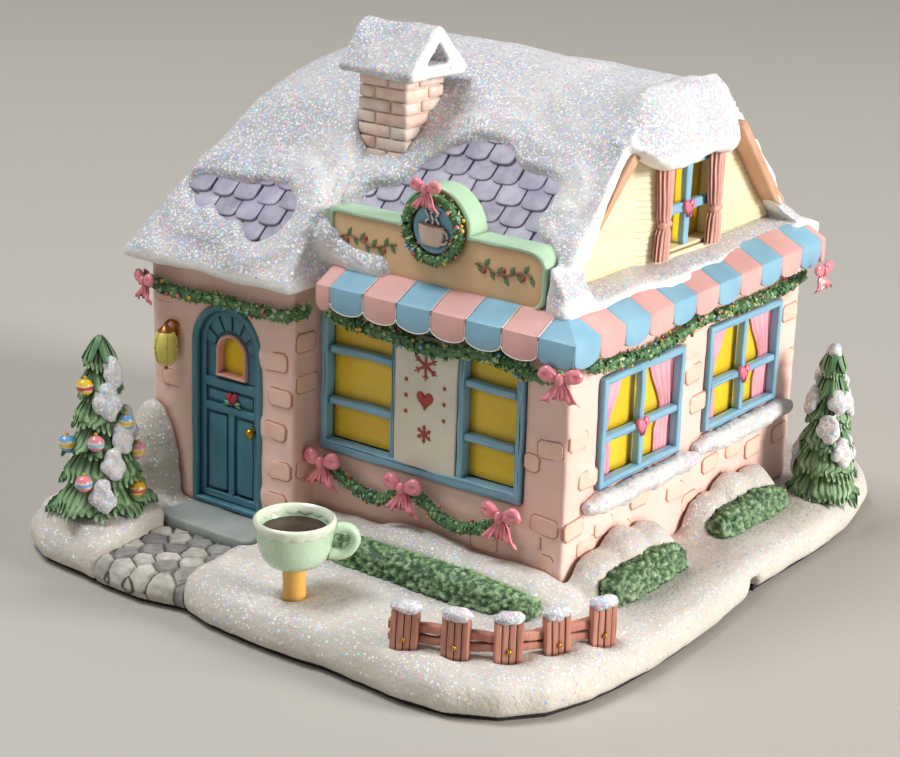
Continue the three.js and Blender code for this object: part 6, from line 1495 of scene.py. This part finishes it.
def lantern_pieces(glass, copper):
    lamp, metal = Build(), Build()
    x, y, z = -55, -54.9, 49
    stand = upright(x, y, z)
    lathe(lamp, [(0, -4.9), (1.3, -4.7), (2.15, -3.9), (2.7, -2.4), (2.95, -0.4), (2.85, 1.2), (2.5, 2.6),
                 (1.95, 3.7), (0, 4)], stand, 32)
    for turn in angles(6):
        a = turn + 0.3
        rib = [(x + r * math.cos(a), y + r * math.sin(a), z + up)
               for r, up in ((1.2, -4.7), (2.2, -3.8), (2.78, -2.4), (3.0, -0.4), (2.9, 1.2), (2.55, 2.6), (1.95, 3.7))]
        tube(lamp, smooth_line(rib, 0.5), 0.16, 6)
    lamp.piece("lantern_glass", glass, "lantern", ["wall_lantern"], sharp=0)
    lathe(metal, [(0, 3.4), (1.9, 3.4), (2.0, 3.65), (1.8, 3.95), (1.3, 4.5), (0.8, 5.0), (0.45, 5.3), (0.4, 5.7),
                  (0, 5.9)], stand, 32)
    lathe(metal, [(0, -6.0), (0.35, -5.9), (0.55, -5.5), (0.4, -5.1), (0.9, -4.8), (1.3, -4.5), (0, -4.2)], stand, 20)
    arm = [(x, y, 54.6), (x, -53.4, 55.1), (x, -51.9, 54.4), (x, -51.0, 53.2)]
    tube(metal, smooth_line(arm, 0.4), 0.38, 8)
    slab(metal, facing_front(x, -51.2, 52.6), rect_line(-1.1, 1.1, -1.8, 1.8, 1, 0.5), 0.6, 0.25)
    metal.piece("lantern_metal", copper, "brass", sharp=50)


def step_pieces(step):
    stone = Build()
    outline = rect_line(-50, -21.5, -63.7, -51.5, 2.5, 1.4)
    loops = [[Vector((*p, z)) for p in inset(outline, d)]
             for d, z in ((0.0, 1.4), (0.0, 9.7), (0.1, 10.05), (0.3, 10.3), (0.6, 10.4))]
    middle = Vector((-35.75, -57.6))
    for share in (0.8, 0.5, 0.2):
        loops.append([Vector((*(middle + (Vector(p) - middle) * share), 10.42)) for p in inset(outline, 0.6)])
    rings(stone, loops)
    shaken(stone, 0.25, 0.18).piece("step_block", step, "step", ["door_step"], sharp=50)


# Path

def path_pieces(material):
    """Cobbles as the cells round scattered sites, dark between them."""
    build, verts, _ = cast_build("stone_path", 0.3, 3, ((0.12, 0.25), (0.08, 0.8)), 0.05)
    draw = seeded(41)
    sites = []
    for row in range(-1, 7):
        for column in range(-1, 6):
            x = -46.4 + (column + (row % 2 if row >= 0 else -1) * 0.5 + 0.3 * next(draw)) * 6.4
            y = -63.7 - (row + 0.5 + 0.4 * next(draw)) * 4.9
            sites.append((x, y))
    sites = np.array(sites)
    gaps = np.hypot(verts[:, None, 0] - sites[None, :, 0], verts[:, None, 1] - sites[None, :, 1])
    nearest, second = np.argsort(gaps, axis=1)[:, :2].T
    rows = np.arange(len(verts))
    away = sites[second] - sites[nearest]
    length = np.maximum(np.hypot(away[:, 0], away[:, 1]), 1e-6)
    edge = (gaps[rows, second] ** 2 - gaps[rows, nearest] ** 2) / (2 * length)
    tone = random.Random(6)
    greys = [linear(code) for code in ("CBC8C0", "B9B7B0", "A2A19D", "7F7F80", "D2CEC4", "8E8D8B")]
    shades = np.array([np.array(tone.choice(greys)) * tone.uniform(0.88, 1.08) for _ in sites])
    inner = smooth_step(edge, 0.1, 0.36)[:, None]
    build.tints = [tuple(c) for c in shades[nearest] * inner + np.array(linear("4F4B46")) * (1 - inner)]
    build.piece("cobbles", material, "stone", ["stone_path"], sharp=0)


# Trees

STRANDS, LOBE_ROWS = 7, 10
# Greens of the needles: the dark one is painted shade, the light one the dry-brushed ridges and tips
NEEDLE_LIGHT, NEEDLE_DARK = linear("B4D3A0"), linear("43704B")


def needle_lobe(build, trunk, foot, turn, start, reach, drop, width, seed, tone):
    """Drooping grooved branch, ragged at its tip, standing out from the trunk."""
    draw = random.Random(seed)
    columns_count = STRANDS * 5 + 1
    lengths = [draw.uniform(0.93, 1.05) * (1 - 0.075 * abs(k - 3)) for k in range(STRANDS)]
    c, s = math.cos(turn), math.sin(turn)

    def surface(u, v, under):
        """Point and tint at the share u of the way out and v of the way across."""
        strand = min(STRANDS - 1, int(v * STRANDS))
        groove = math.sin(math.pi * (v * STRANDS - strand)) ** 0.55
        far = u * lengths[strand]
        point_in = 1 - 0.85 * (1 - groove) * smooth_step(u, 0.7, 1.0)
        out = start + (reach - start) * far ** 1.12 * (1 - 0.12 * (2 * v - 1) ** 2)
        half = width * (0.3 + 0.7 * min(1.0, u / 0.65) ** 0.8) * (1 - 0.22 * max(0, u - 0.7) / 0.3)
        side = (2 * v - 1) * half
        z = foot - drop * far * (0.8 + 0.2 * float(point_in)) - 0.3 * half * abs(2 * v - 1) ** 2.2
        # Tint: the underside, the grooves and each lobe's root under the tier above are darkened as painted shade,
        # darkest on the underside; the pale ridges and tips are dry-brushed paint.
        if under:
            out += -0.9 * (1 - 0.6 * u)
            shade = 0.05
        else:
            out += 0.6 * groove * (0.4 + 0.6 * math.sin(math.pi * min(1, u + 0.15)))
            shade = min(1.0, 0.08 + 0.92 * groove ** 2 * (0.12 + 0.88 * u ** 1.3)) * tone
        point = Vector((trunk[0] + out * c - side * s, trunk[1] + out * s + side * c, z))
        return point, tuple(d + (l - d) * shade for d, l in zip(NEEDLE_DARK, NEEDLE_LIGHT))

    both = [surface(r / (LOBE_ROWS - 1), k / (columns_count - 1) * 0.9999, under)
            for under in (False, True) for r in range(LOBE_ROWS) for k in range(columns_count)]
    faces = []
    size = LOBE_ROWS * columns_count
    for r in range(LOBE_ROWS - 1):
        for k in range(columns_count - 1):
            a = r * columns_count + k
            faces.append((a, a + 1, a + columns_count + 1, a + columns_count))
            faces.append((a + size, a + size + columns_count, a + size + columns_count + 1, a + size + 1))
    border = list(range(columns_count))
    border += [r * columns_count + columns_count - 1 for r in range(1, LOBE_ROWS)]
    border += [(LOBE_ROWS - 1) * columns_count + k for k in range(columns_count - 2, -1, -1)]
    border += [r * columns_count for r in range(LOBE_ROWS - 2, 0, -1)]
    for a, b in zip(border, border[1:] + border[:1]):
        faces.append((b, a, a + size, b + size))
    first = len(build.verts)
    build.add([point for point, _ in both], faces)
    build.tints[first:] = [tint for _, tint in both]


LUMPS = [(-0.55, -0.35, 0.8), (0.1, 0.45, 1.0), (0.6, -0.5, 0.85), (0.15, -1.15, 0.7)]     # side, rise, size


def tree_build(build, snow_build, trunk, foot, height, radius, seed, capped):
    """Fir with drooping fans of needles that overlap like tiles down its cone, and lumps of snow on some."""
    tiers, most, fewest = 6, 8, 4
    draw = random.Random(seed)
    lathe(build, [(0, 0), (4.9, 0), (4.9, 4), (radius * 0.4, 6.5), (radius * 0.32, height * 0.42),
                  (radius * 0.17, height * 0.74), (radius * 0.05, height * 0.97), (0, height - 0.4)],
          upright(*trunk, foot), 20, linear("2C4A31"))
    snowed = []
    for tier in range(tiers):
        share = tier / (tiers - 1)
        count = round(most - (most - fewest) * share)
        reach = radius * (1.0 - 0.71 * share)
        length = 11.0 - 2.6 * share
        for i in range(count):
            turn = 2 * math.pi * (i + 0.5 * (tier % 2) + draw.uniform(-0.1, 0.1)) / count
            top = foot + 11.2 + (height - 11.0) * share + draw.uniform(-0.4, 0.4)
            far = reach * draw.uniform(0.92, 1.05)
            start = far * 0.28 * (1 - share) + 0.2
            drop, width = length * draw.uniform(0.9, 1.05), math.pi * reach / count * 1.3 + 0.4
            needle_lobe(build, trunk, top, turn, start, far, drop, width, seed * 100 + tier * 12 + i,
                        draw.uniform(0.8, 1.1))
            if draw.random() < 0.2 and tier < tiers - 1:
                snowed.append((turn, top, far, length))
    for turn, top, far, length in snowed:
        down = draw.uniform(0.35, 0.6)
        out = far * (0.3 + 0.75 * down ** 0.7)
        size = 1.1 + radius * draw.uniform(0.07, 0.11)
        centre = Vector((trunk[0] + out * math.cos(turn), trunk[1] + out * math.sin(turn),
                         top - length * down ** 1.5 + 0.6))
        spin = Matrix.Rotation(turn, 3, "Z")
        for side, rise, part in LUMPS:
            spot = centre + spin @ Vector((-0.45 * rise * size - 0.3, side * size, rise * size))
            blob(snow_build, spot, (size * part * 0.75, size * part * 1.1, size * part * 1.2), 14, 9, turn=spin)
    if capped:
        blob(snow_build, (*trunk, foot + height - 1.6), (1.9, 1.8, 2.6), 14, 9)


# Trees: place of the trunk, foot, height, radius, seed, and whether snow caps the top
TREES = {"left": ((-58.5, -73.3), 12.0, 42.6, 12.6, 4, False), "right": ((65.2, 56.5), 8.5, 40.0, 10.2, 9, True)}
# Ornaments of the left tree: direction, height, colour, colour of the stripe
ORNAMENTS = [(-1.5, 43.2, "E8C12E", "C4453C"), (0.2, 34.2, "7EB4DE", "E8C642"), (-0.95, 30.0, "E58FA0", "9CCBE6"),
             (-2.02, 28.6, "6FA7D8", "E5C24A"), (0.3, 17.2, "E9B62C", "D65B3A"), (-1.2, 20.6, "E8899B", "7FB2DC"),
             (0.6, 26.0, "EFA0AE", "E8C642"), (1.8, 20.5, "7EB4DE", "C4453C"), (2.9, 30.0, "E8C12E", "7FB2DC")]


def ornament_pieces(lobes, material):
    """Balls that hang where a ray from outside meets the left tree's needles."""
    trunk = TREES["left"][0]
    size = 2.05
    profile = [(0, -size)] + [(size * math.cos(a), size * math.sin(a)) for a in np.linspace(-1.35, 1.35, 17)]
    profile += [(0.45, size * 0.98), (0.45, size * 1.22), (0.3, size * 1.32), (0, size * 1.34)]
    for k, (turn, z, main_colour, stripe_colour) in enumerate(ORNAMENTS):
        out = Vector((math.cos(turn), math.sin(turn), 0.12)).normalized()
        centre = Vector((*trunk, z))
        hit = lobes.ray_cast(centre + out * 40, -out)
        spot = hit[0] + out * 0.9 if hit[0] else centre + out * 9
        build = Build()
        local = along(spot, out.cross(Vector((0, 0, 1))).normalized(), out, (0, 0, 1))
        lathe(build, profile, local, 28)
        for i, v in enumerate(build.verts):
            level = (v - spot).z / size
            code = main_colour
            if abs(level) < 0.24:
                code = stripe_colour
            elif abs(level) < 0.36:
                code = "F3E6C0"
            elif level > 0.96:
                code = "C79A44"
            build.tints[i] = linear(code)
        build.piece("ornament_%d" % (k + 1), material, "bow", sharp=0)


def tree_pieces(green, white, ball):
    lobes = {}
    for name, (trunk, foot, height, radius, seed, capped) in TREES.items():
        build, snow_build = Build(), Build()
        tree_build(build, snow_build, trunk, foot, height, radius, seed, capped)
        build.piece("fir_" + name, green, "garland", ["tree_" + name], sharp=38)
        lumps, _, _ = cast_build(None, 0.36, 5, ((0.35, 0.45), (0.15, 1.1)), 0.12, extra=snow_build)
        lumps.glitter = [0.7] * len(lumps.verts)
        lumps.piece("fir_snow_" + name, white, "snow", sharp=0)
        lobes[name] = BVHTree.FromPolygons([Vector(v) for v in build.verts], build.faces)
    ornament_pieces(lobes["left"], ball)


# Hedges

def hedge_pieces(material):
    """Clipped hedges with curly leaves, paler at their tips."""
    dark, light = np.array(linear("3A5F3E")), np.array(linear("A8C698"))
    for name in ("hedge_front", "hedge_side_front", "hedge_side_back"):
        verts, normals, faces = recast(name, 0.36, 3)
        curl = np.array([noise.noise(at * 0.85) * 0.75 + abs(noise.noise(at * 1.7)) * 0.9
                         for at in (Vector(v) for v in verts)])
        build = Build()
        build.add([tuple(v) for v in verts + normals * (curl * 0.95)[:, None]], faces)
        share = smooth_step(curl, -0.05, 0.75)[:, None]
        build.tints = [tuple(c) for c in dark * (1 - share) + light * share]
        build.piece("curly_" + name, material, "hedge", [name], sharp=0)


# Cup sign

CUP_AT = (6.4, -79.0, 17.0)
CUP_OUTSIDE = [(0, 0.0), (3.0, 0.0), (3.5, 0.2), (4.4, 0.55), (6.0, 1.25), (7.3, 2.8), (8.05, 4.9), (8.5, 7.6),
               (8.85, 10.2), (9.0, 10.9)]
CUP_LIP = [(8.95, 11.25), (8.7, 11.42), (8.4, 11.42), (8.1, 11.2), (7.8, 10.4), (7.5, 9.2), (7.2, 8.5), (0, 8.4)]
CUP_HANDLE = [(7.6, 3.4), (10.2, 3.3), (12.2, 4.4), (13.3, 6.4), (12.9, 8.4), (11.2, 9.5), (8.3, 9.3)]


def cup_trim(build, local, inner):
    """Scalloped pale band along the inside or outside of the rim."""
    lobes = 16

    def skin(z, off):
        if inner:
            return np.interp(z, (9.2, 10.4, 11.2), (7.5, 7.8, 8.1)) - off
        return np.interp(z, (7.8, 10.2, 10.9, 11.25), (8.3, 8.8, 9.0, 8.95)) + off

    loops = []
    for a in angles(144):
        scallop = abs(math.cos(lobes / 2 * a)) ** 0.8
        low = 11.3 - (1.3 + 0.6 * scallop if inner else 1.7 + 0.85 * scallop)
        ring = [(skin(low, -0.25), low), (skin(low, 0.1), low + 0.05), (skin(low + 0.3, 0.24), low + 0.3),
                (skin(10.9, 0.2), 10.9), (skin(11.2, 0.1), 11.35), (8.55, 11.62), (8.55, 11.3)]
        loops.append(into(local, [(r * math.cos(a), r * math.sin(a), z) for r, z in ring]))
    rings(build, loops, closed=True)


def cup_pieces(mint, white, coffee, post):
    cup = Build()
    local = upright(*CUP_AT)
    lathe(cup, CUP_OUTSIDE + CUP_LIP, local, 72)
    x, y, z = CUP_AT
    points = smooth_line([(x + 0.8 * out, y + 0.6 * out, z + up) for out, up in CUP_HANDLE], 0.5)
    radii = [1.15 + 0.25 * abs(2 * i / (len(points) - 1) - 1) ** 3 for i in range(len(points))]
    tube(cup, points, radii, 14, hint=(0.6, -0.8, 0), flatten=1.15)
    shaken(cup, 0.1, 0.15).piece("mug_body", mint, "mint", ["cup_bowl"], sharp=50)
    trim = Build()
    for inner in (False, True):
        cup_trim(trim, local, inner)
    trim.piece("mug_scallops", white, "mint", sharp=60)
    drink = Build()
    profile = [(0, 8.3), (7.25, 8.3), (7.3, 8.75), (7.1, 9.0), (6.6, 8.95)]
    profile += [(r, 8.95 + 0.06 * math.sin(r * 3)) for r in (5.5, 4.2, 2.8, 1.4)] + [(0, 8.95)]
    lathe(drink, profile, local, 40)
    drink.piece("mug_drink", coffee, "coffee", ["cup_coffee"], sharp=40)
    stem = Build()
    lathe(stem, [(0, -8.4), (2.55, -8.4), (2.6, -6), (2.5, -3.6), (2.62, -1.2), (2.9, -0.2), (2.9, 0.2), (0, 0.3)],
          local, 28)
    shaken(stem, 0.22, 0.35).piece("mug_post", post, "post", ["cup_post"], sharp=60)


# Fence

FENCE_LINE = [(41, -84.3, 0), (60.6, -75.5, 0), (71.6, -55.1, 0)]
PICKET_BOARDS = [(-3.0, -1.62), (-1.56, -0.1), (0.0, 1.5), (1.56, 3.0)]        # left and right side of each board


def fence_pieces(wood, white, brass):
    line = smooth_line(FENCE_LINE, 0.25)
    pickets, rails, caps, brads = Build(), Build(), Build(), Build()
    draw = random.Random(15)
    for i in range(5):
        at = i / 4 * (len(line) - 1)
        k = min(int(at), len(line) - 2)
        point, forward = line[k].lerp(line[k + 1], at - k), (line[k + 1] - line[k]).normalized()
        outward = Vector((forward.y, -forward.x, 0))
        lean = math.radians(draw.uniform(-2.5, 2.5))
        up = (Vector((0, 0, 1)) * math.cos(lean) + forward * math.sin(lean)).normalized()
        local = along((point.x, point.y, 8.6), forward, up, outward)
        for a, b in PICKET_BOARDS:
            top = 10.6 + draw.uniform(-0.3, 0.3)
            outline = [(a, 0), (b, 0)] + [(b, top * t) for t in (0.25, 0.5, 0.75)]
            outline += [(b, top - 0.5), ((a + b) / 2, top + 0.1), (a, top - 0.5)]
            outline += [(a, top * t) for t in (0.75, 0.5, 0.25)]
            slab(pickets, local, outline, 0.95 + draw.uniform(-0.2, 0.15), 0.28, low=-0.9)
        spin = Matrix((forward, outward, Vector((0, 0, 1)))).transposed()
        blob(caps, into(local, [(0, 10.9, 0.0)])[0], (3.45, 2.0, 1.4), 18, 10, turn=spin)
        for side, size in ((-1.6, 1.0), (1.5, 0.9), (0.1, 1.15)):
            spot = into(local, [(side, 10.55 + draw.uniform(-0.3, 0.3), 0.55)])[0]
            blob(caps, spot, (size * 1.4, 1.1, size * 1.05), 12, 8, turn=spin)
        blob(brads, into(local, [(0, 3.6, 1.0)])[0], (0.6, 0.6, 0.6), 12, 8)
    for low, high in ((11.3, 13.1), (13.6, 15.6)):
        loops = []
        for k in range(41):
            at = k / 40
            i = min(int(at * (len(line) - 1)), len(line) - 2)
            forward = (line[i + 1] - line[i]).normalized()
            point = line[i] + forward * (at - 0.5) * 7
            inward = Vector((-forward.y, forward.x, 0))
            wave = 0.18 * math.sin(k * 0.9 + low)
            section = ((0.4, low + 0.25), (0.65, low), (2.0, low), (2.0, high), (0.65, high), (0.4, high - 0.25))
            loops.append([point + inward * off + Vector((0, 0, z + wave)) for off, z in section])
        rings(rails, loops)
    for i, v in enumerate(caps.verts):
        caps.verts[i] = v + Vector((0, 0, 0.35)) * noise.noise(v * 0.6) + noise.noise_vector(v * 0.9) * 0.25
    shaken(pickets, 0.12, 0.4).piece("fence_pickets", wood, "fence", ["fence"], sharp=45)
    shaken(rails, 0.1, 0.4).piece("fence_rails", wood, "fence", sharp=45)
    caps.piece("fence_snow", white, "snow", sharp=0)
    brads.piece("fence_brads", brass, "brass", sharp=0)


# Everything together

def dress(node, material):
    """Paint a CAD node that is shown as it is."""
    NODES[node].data.materials.clear()
    NODES[node].data.materials.append(material)


# In the paints below, the colour given for the hollows is painted shade that ambient occlusion lays into hollows and
# creases.
def shared_paints():
    """Paints that several pieces use."""
    return {
        "blue": painted("paint_blue", "8DBCD2", "77A6C0", 0.36, 0.3, hollow_shade="3F6478", depth=1.2),
        "pink": painted("paint_pink", "E2B0AB", "D69C98", 0.38, 0.3, hollow_shade="A7625E", depth=1.2),
        "heart": painted("paint_heart", "E27C97", "D66483", 0.3, 0.25, hollow_shade="A63C58", depth=0.8),
        "bead": painted("paint_bead", None, None, 0.25, 0.1, coat=0.5),
        "tinted": painted("paint_tinted", None, None, 0.36, 0.2, hollow_shade="4A3A34", depth=0.6),
        "green": painted("paint_leaves", None, "D6E4CC", 0.42, 0.3, 300, hollow_shade="2C4530", depth=0.7, shade_strength=0.8),
        "brass": painted("brass", "C9963E", "A87430", 0.28, 0.3, hollow_shade="4B3216", depth=0.6, metal=0.85),
        "snow": snow("snow_glitter", 1.0),
    }


def house(paints):
    """Walls, roof, gable, chimney and awning."""
    blue = paints["blue"]
    # the ground's snow is darker and warmer than the roof's, as painted shade; it also has less glitter
    snow_pieces(paints["snow"], snow("snow_soft_shaded", 0.42, "DED7C9", "D0C8B9"))
    wall_pieces(
        painted("plaster", "F5D1C5", "EEC3B6", 0.55, 0.35, 60, hollow_shade="B5806F", depth=1.8, shade_strength=0.8, bump=0.1,
                bump_scale=500),
        painted("brick_face", "F5CDBA", "EFC0A9", 0.5, 0.4, 200, hollow_shade="9A5E48", depth=0.7),
        # the darker colour of the ring round each brick is painted shadow of its groove
        painted("brick_outline_shadow", "C08B79", "AB7866", 0.6, 0.3, 300))
    shingle_pieces(painted("slate", None, "CFC8DA", 0.5, 0.45, 220, hollow_shade="625B76", depth=1.2, shade_strength=1.0, bump=0.1))
    siding = painted("clapboard", "EBE2C2", "E2D3A6", 0.5, 0.4, 150, hollow_shade="B49A52", depth=0.8, shade_strength=0.9, bump=0.16,
                     bump_scale=800, grain=(1, 0.12, 1))
    clapboard_pieces(siding)
    rake_pieces(painted("rake_tan", "D2A687", "C09073", 0.5, 0.35, 120, hollow_shade="7A5138", depth=1.5))
    gable_window_pieces(siding, blue, paints["heart"])
    tied_curtain_pieces(painted("curtain_mauve", "DCA99C", "CB9286", 0.45, 0.35, 200, hollow_shade="7A463F", depth=0.8,
                                shade_strength=0.9))
    chimney_pieces(
        painted("brick_red", None, "EDDCD0", 0.6, 0.4, 260, hollow_shade="A67E6C", depth=0.6, shade_strength=0.7, bump=0.12),
        painted("mortar", "E9DBCC", "DCCBB9", 0.8, 0.5, 300, hollow_shade="9A8370", depth=0.6, shade_strength=0.7, bump=0.14))
    awning_pieces(paints["pink"], blue, painted("edge_white", "F2ECE6", "E6DDD4", 0.5, 0.3, hollow_shade="B9AFA6", depth=0.4))


def fittings(paints):
    """Garlands, bows, sign, windows, door, lantern and step."""
    blue, tinted = paints["blue"], paints["tinted"]
    garland_pieces(paints["green"], paints["bead"])
    bow_pieces(painted("paint_ribbon", "E98E99", "DC7884", 0.3, 0.25, 200, hollow_shade="8E3A48", depth=1.1, coat=0.35))
    sign_pieces(painted("sign_mint", "B3D0B1", "A0C2A1", 0.38, 0.3, hollow_shade="4E7354", depth=1.0),
                painted("sign_tan", "E4C294", "D4AD80", 0.42, 0.35, 80, hollow_shade="7D5A38", depth=1.6), tinted,
                paints["green"], painted("sign_blue", "7FB0C8", "6A9CB8", 0.35, 0.3, hollow_shade="35566A", depth=0.8),
                paints["bead"])
    shop_window_pieces(
        blue, painted("panel_white", "E9E3D3", "DBD2BF", 0.42, 0.4, 70, hollow_shade="8C7E66", depth=1.6),
        painted("paint_red", "B5443A", "9C3529", 0.35, 0.3, hollow_shade="5C1F18", depth=0.5))
    side_window_pieces(
        blue, paints["heart"],
        painted("paint_drape", "F3B3BE", "E593A4", 0.4, 0.3, hollow_shade="B85E6F", depth=0.8, shade_strength=1.2))
    door_pieces(painted("door_teal", "4E8496", "3F7284", 0.34, 0.35, 110, hollow_shade="1F3D4B", depth=1.3, shade_strength=1.1),
                painted("trim_pink", "E9B5A4", "DA9E8C", 0.4, 0.3, hollow_shade="8E5B4B", depth=0.8), paints["brass"], tinted)
    lantern_pieces(
        painted("lantern_yellow", "EDE274", "E0D158", 0.25, 0.3, hollow_shade="7E6A14", depth=0.8, coat=0.4),
        painted("copper", "B9793F", "96582C", 0.32, 0.3, hollow_shade="3F2412", depth=0.6, metal=0.75))
    step_pieces(painted("step_grey", "A5AAA6", "8F9692", 0.55, 0.45, 90, hollow_shade="4C514E", depth=1.8, bump=0.12))
    pane = painted("paint_pane", "F0CA2E", "E3B422", 0.26, 0.3, 90, hollow_shade="6E5A14", depth=2.2, shade_strength=1.1, coat=0.12)
    for node in ("shop_pane_left", "shop_pane_right", "side_pane_front", "side_pane_back", "gable_pane", "door_pane"):
        dress(node, pane)


def garden(paints):
    """Path, trees, hedges, cup sign and fence."""
    path_pieces(painted("cobble", None, "CDC9C2", 0.55, 0.5, 260, hollow_shade="37332E", depth=0.5, shade_strength=0.8, bump=0.14))
    tree_pieces(painted("fir_green", None, "D2E2C4", 0.5, 0.35, 240, hollow_shade="16281A", depth=1.2, shade_strength=1.1, bump=0.1),
                paints["snow"], paints["bead"])
    hedge_pieces(painted("hedge_green", None, "CFDFBC", 0.55, 0.4, 300, hollow_shade="14261A", depth=1.0, shade_strength=1.1,
                         bump=0.12))
    cup_pieces(painted("mug_mint", "C3DCBE", "B3D0B0", 0.28, 0.25, hollow_shade="5E7E62", depth=1.0, coat=0.3),
               painted("mug_cream", "DBE3CF", "CED8C0", 0.28, 0.25, hollow_shade="8FA084", depth=0.5, coat=0.3),
               painted("mug_brown", "40271C", "2C1911", 0.4, 0.4, 200, coat=0.1, bump=0.05),
               painted("post_yellow", "E8B75E", "DAA048", 0.42, 0.35, 200, hollow_shade="7E4F16", depth=1.0,
                       grain=(1, 1, 0.2)))
    fence_pieces(painted("fence_wood", "C48A75", "AF715D", 0.55, 0.5, 260, hollow_shade="54291D", depth=0.9, shade_strength=1.2,
                         bump=0.22, bump_scale=1100, grain=(1, 1, 0.14)), paints["snow"], paints["brass"])


def underside(paints):
    dress("underside_pad", painted("underside_felt", "2A2726", "3A3533", 0.9, 0.5, 500, hollow_shade="0E0D0D", depth=1.0,
                                   bump=0.25, bump_scale=2500))
    dress("lamp_holder", painted("holder_plastic", "E9E4D8", "DED7C7", 0.4, 0.25, 200, hollow_shade="8B8372", depth=1.5,
                                 bump=0.03))
    dress("bulb_cap", paints["brass"])
    dress("bulb_glass", bulb_glass())


def bulb_glass():
    material, tree, shader, where = base("bulb_frosted", 0.12)
    shader.inputs["Base Color"].default_value = (0.94, 0.9, 0.82, 1)
    shader.inputs["Transmission Weight"].default_value = 0.55
    shader.inputs["IOR"].default_value = 1.48
    haze = noise_at(tree, where, 400.0, 2.0)
    bumped(tree, shader, [(haze, 0.02)])
    tree.links.new(maths(tree, "ADD", maths(tree, "MULTIPLY", haze, 0.12), 0.08), shader.inputs["Roughness"])
    return material


stage()
PAINTS = shared_paints()
house(PAINTS)
fittings(PAINTS)
garden(PAINTS)
underside(PAINTS)
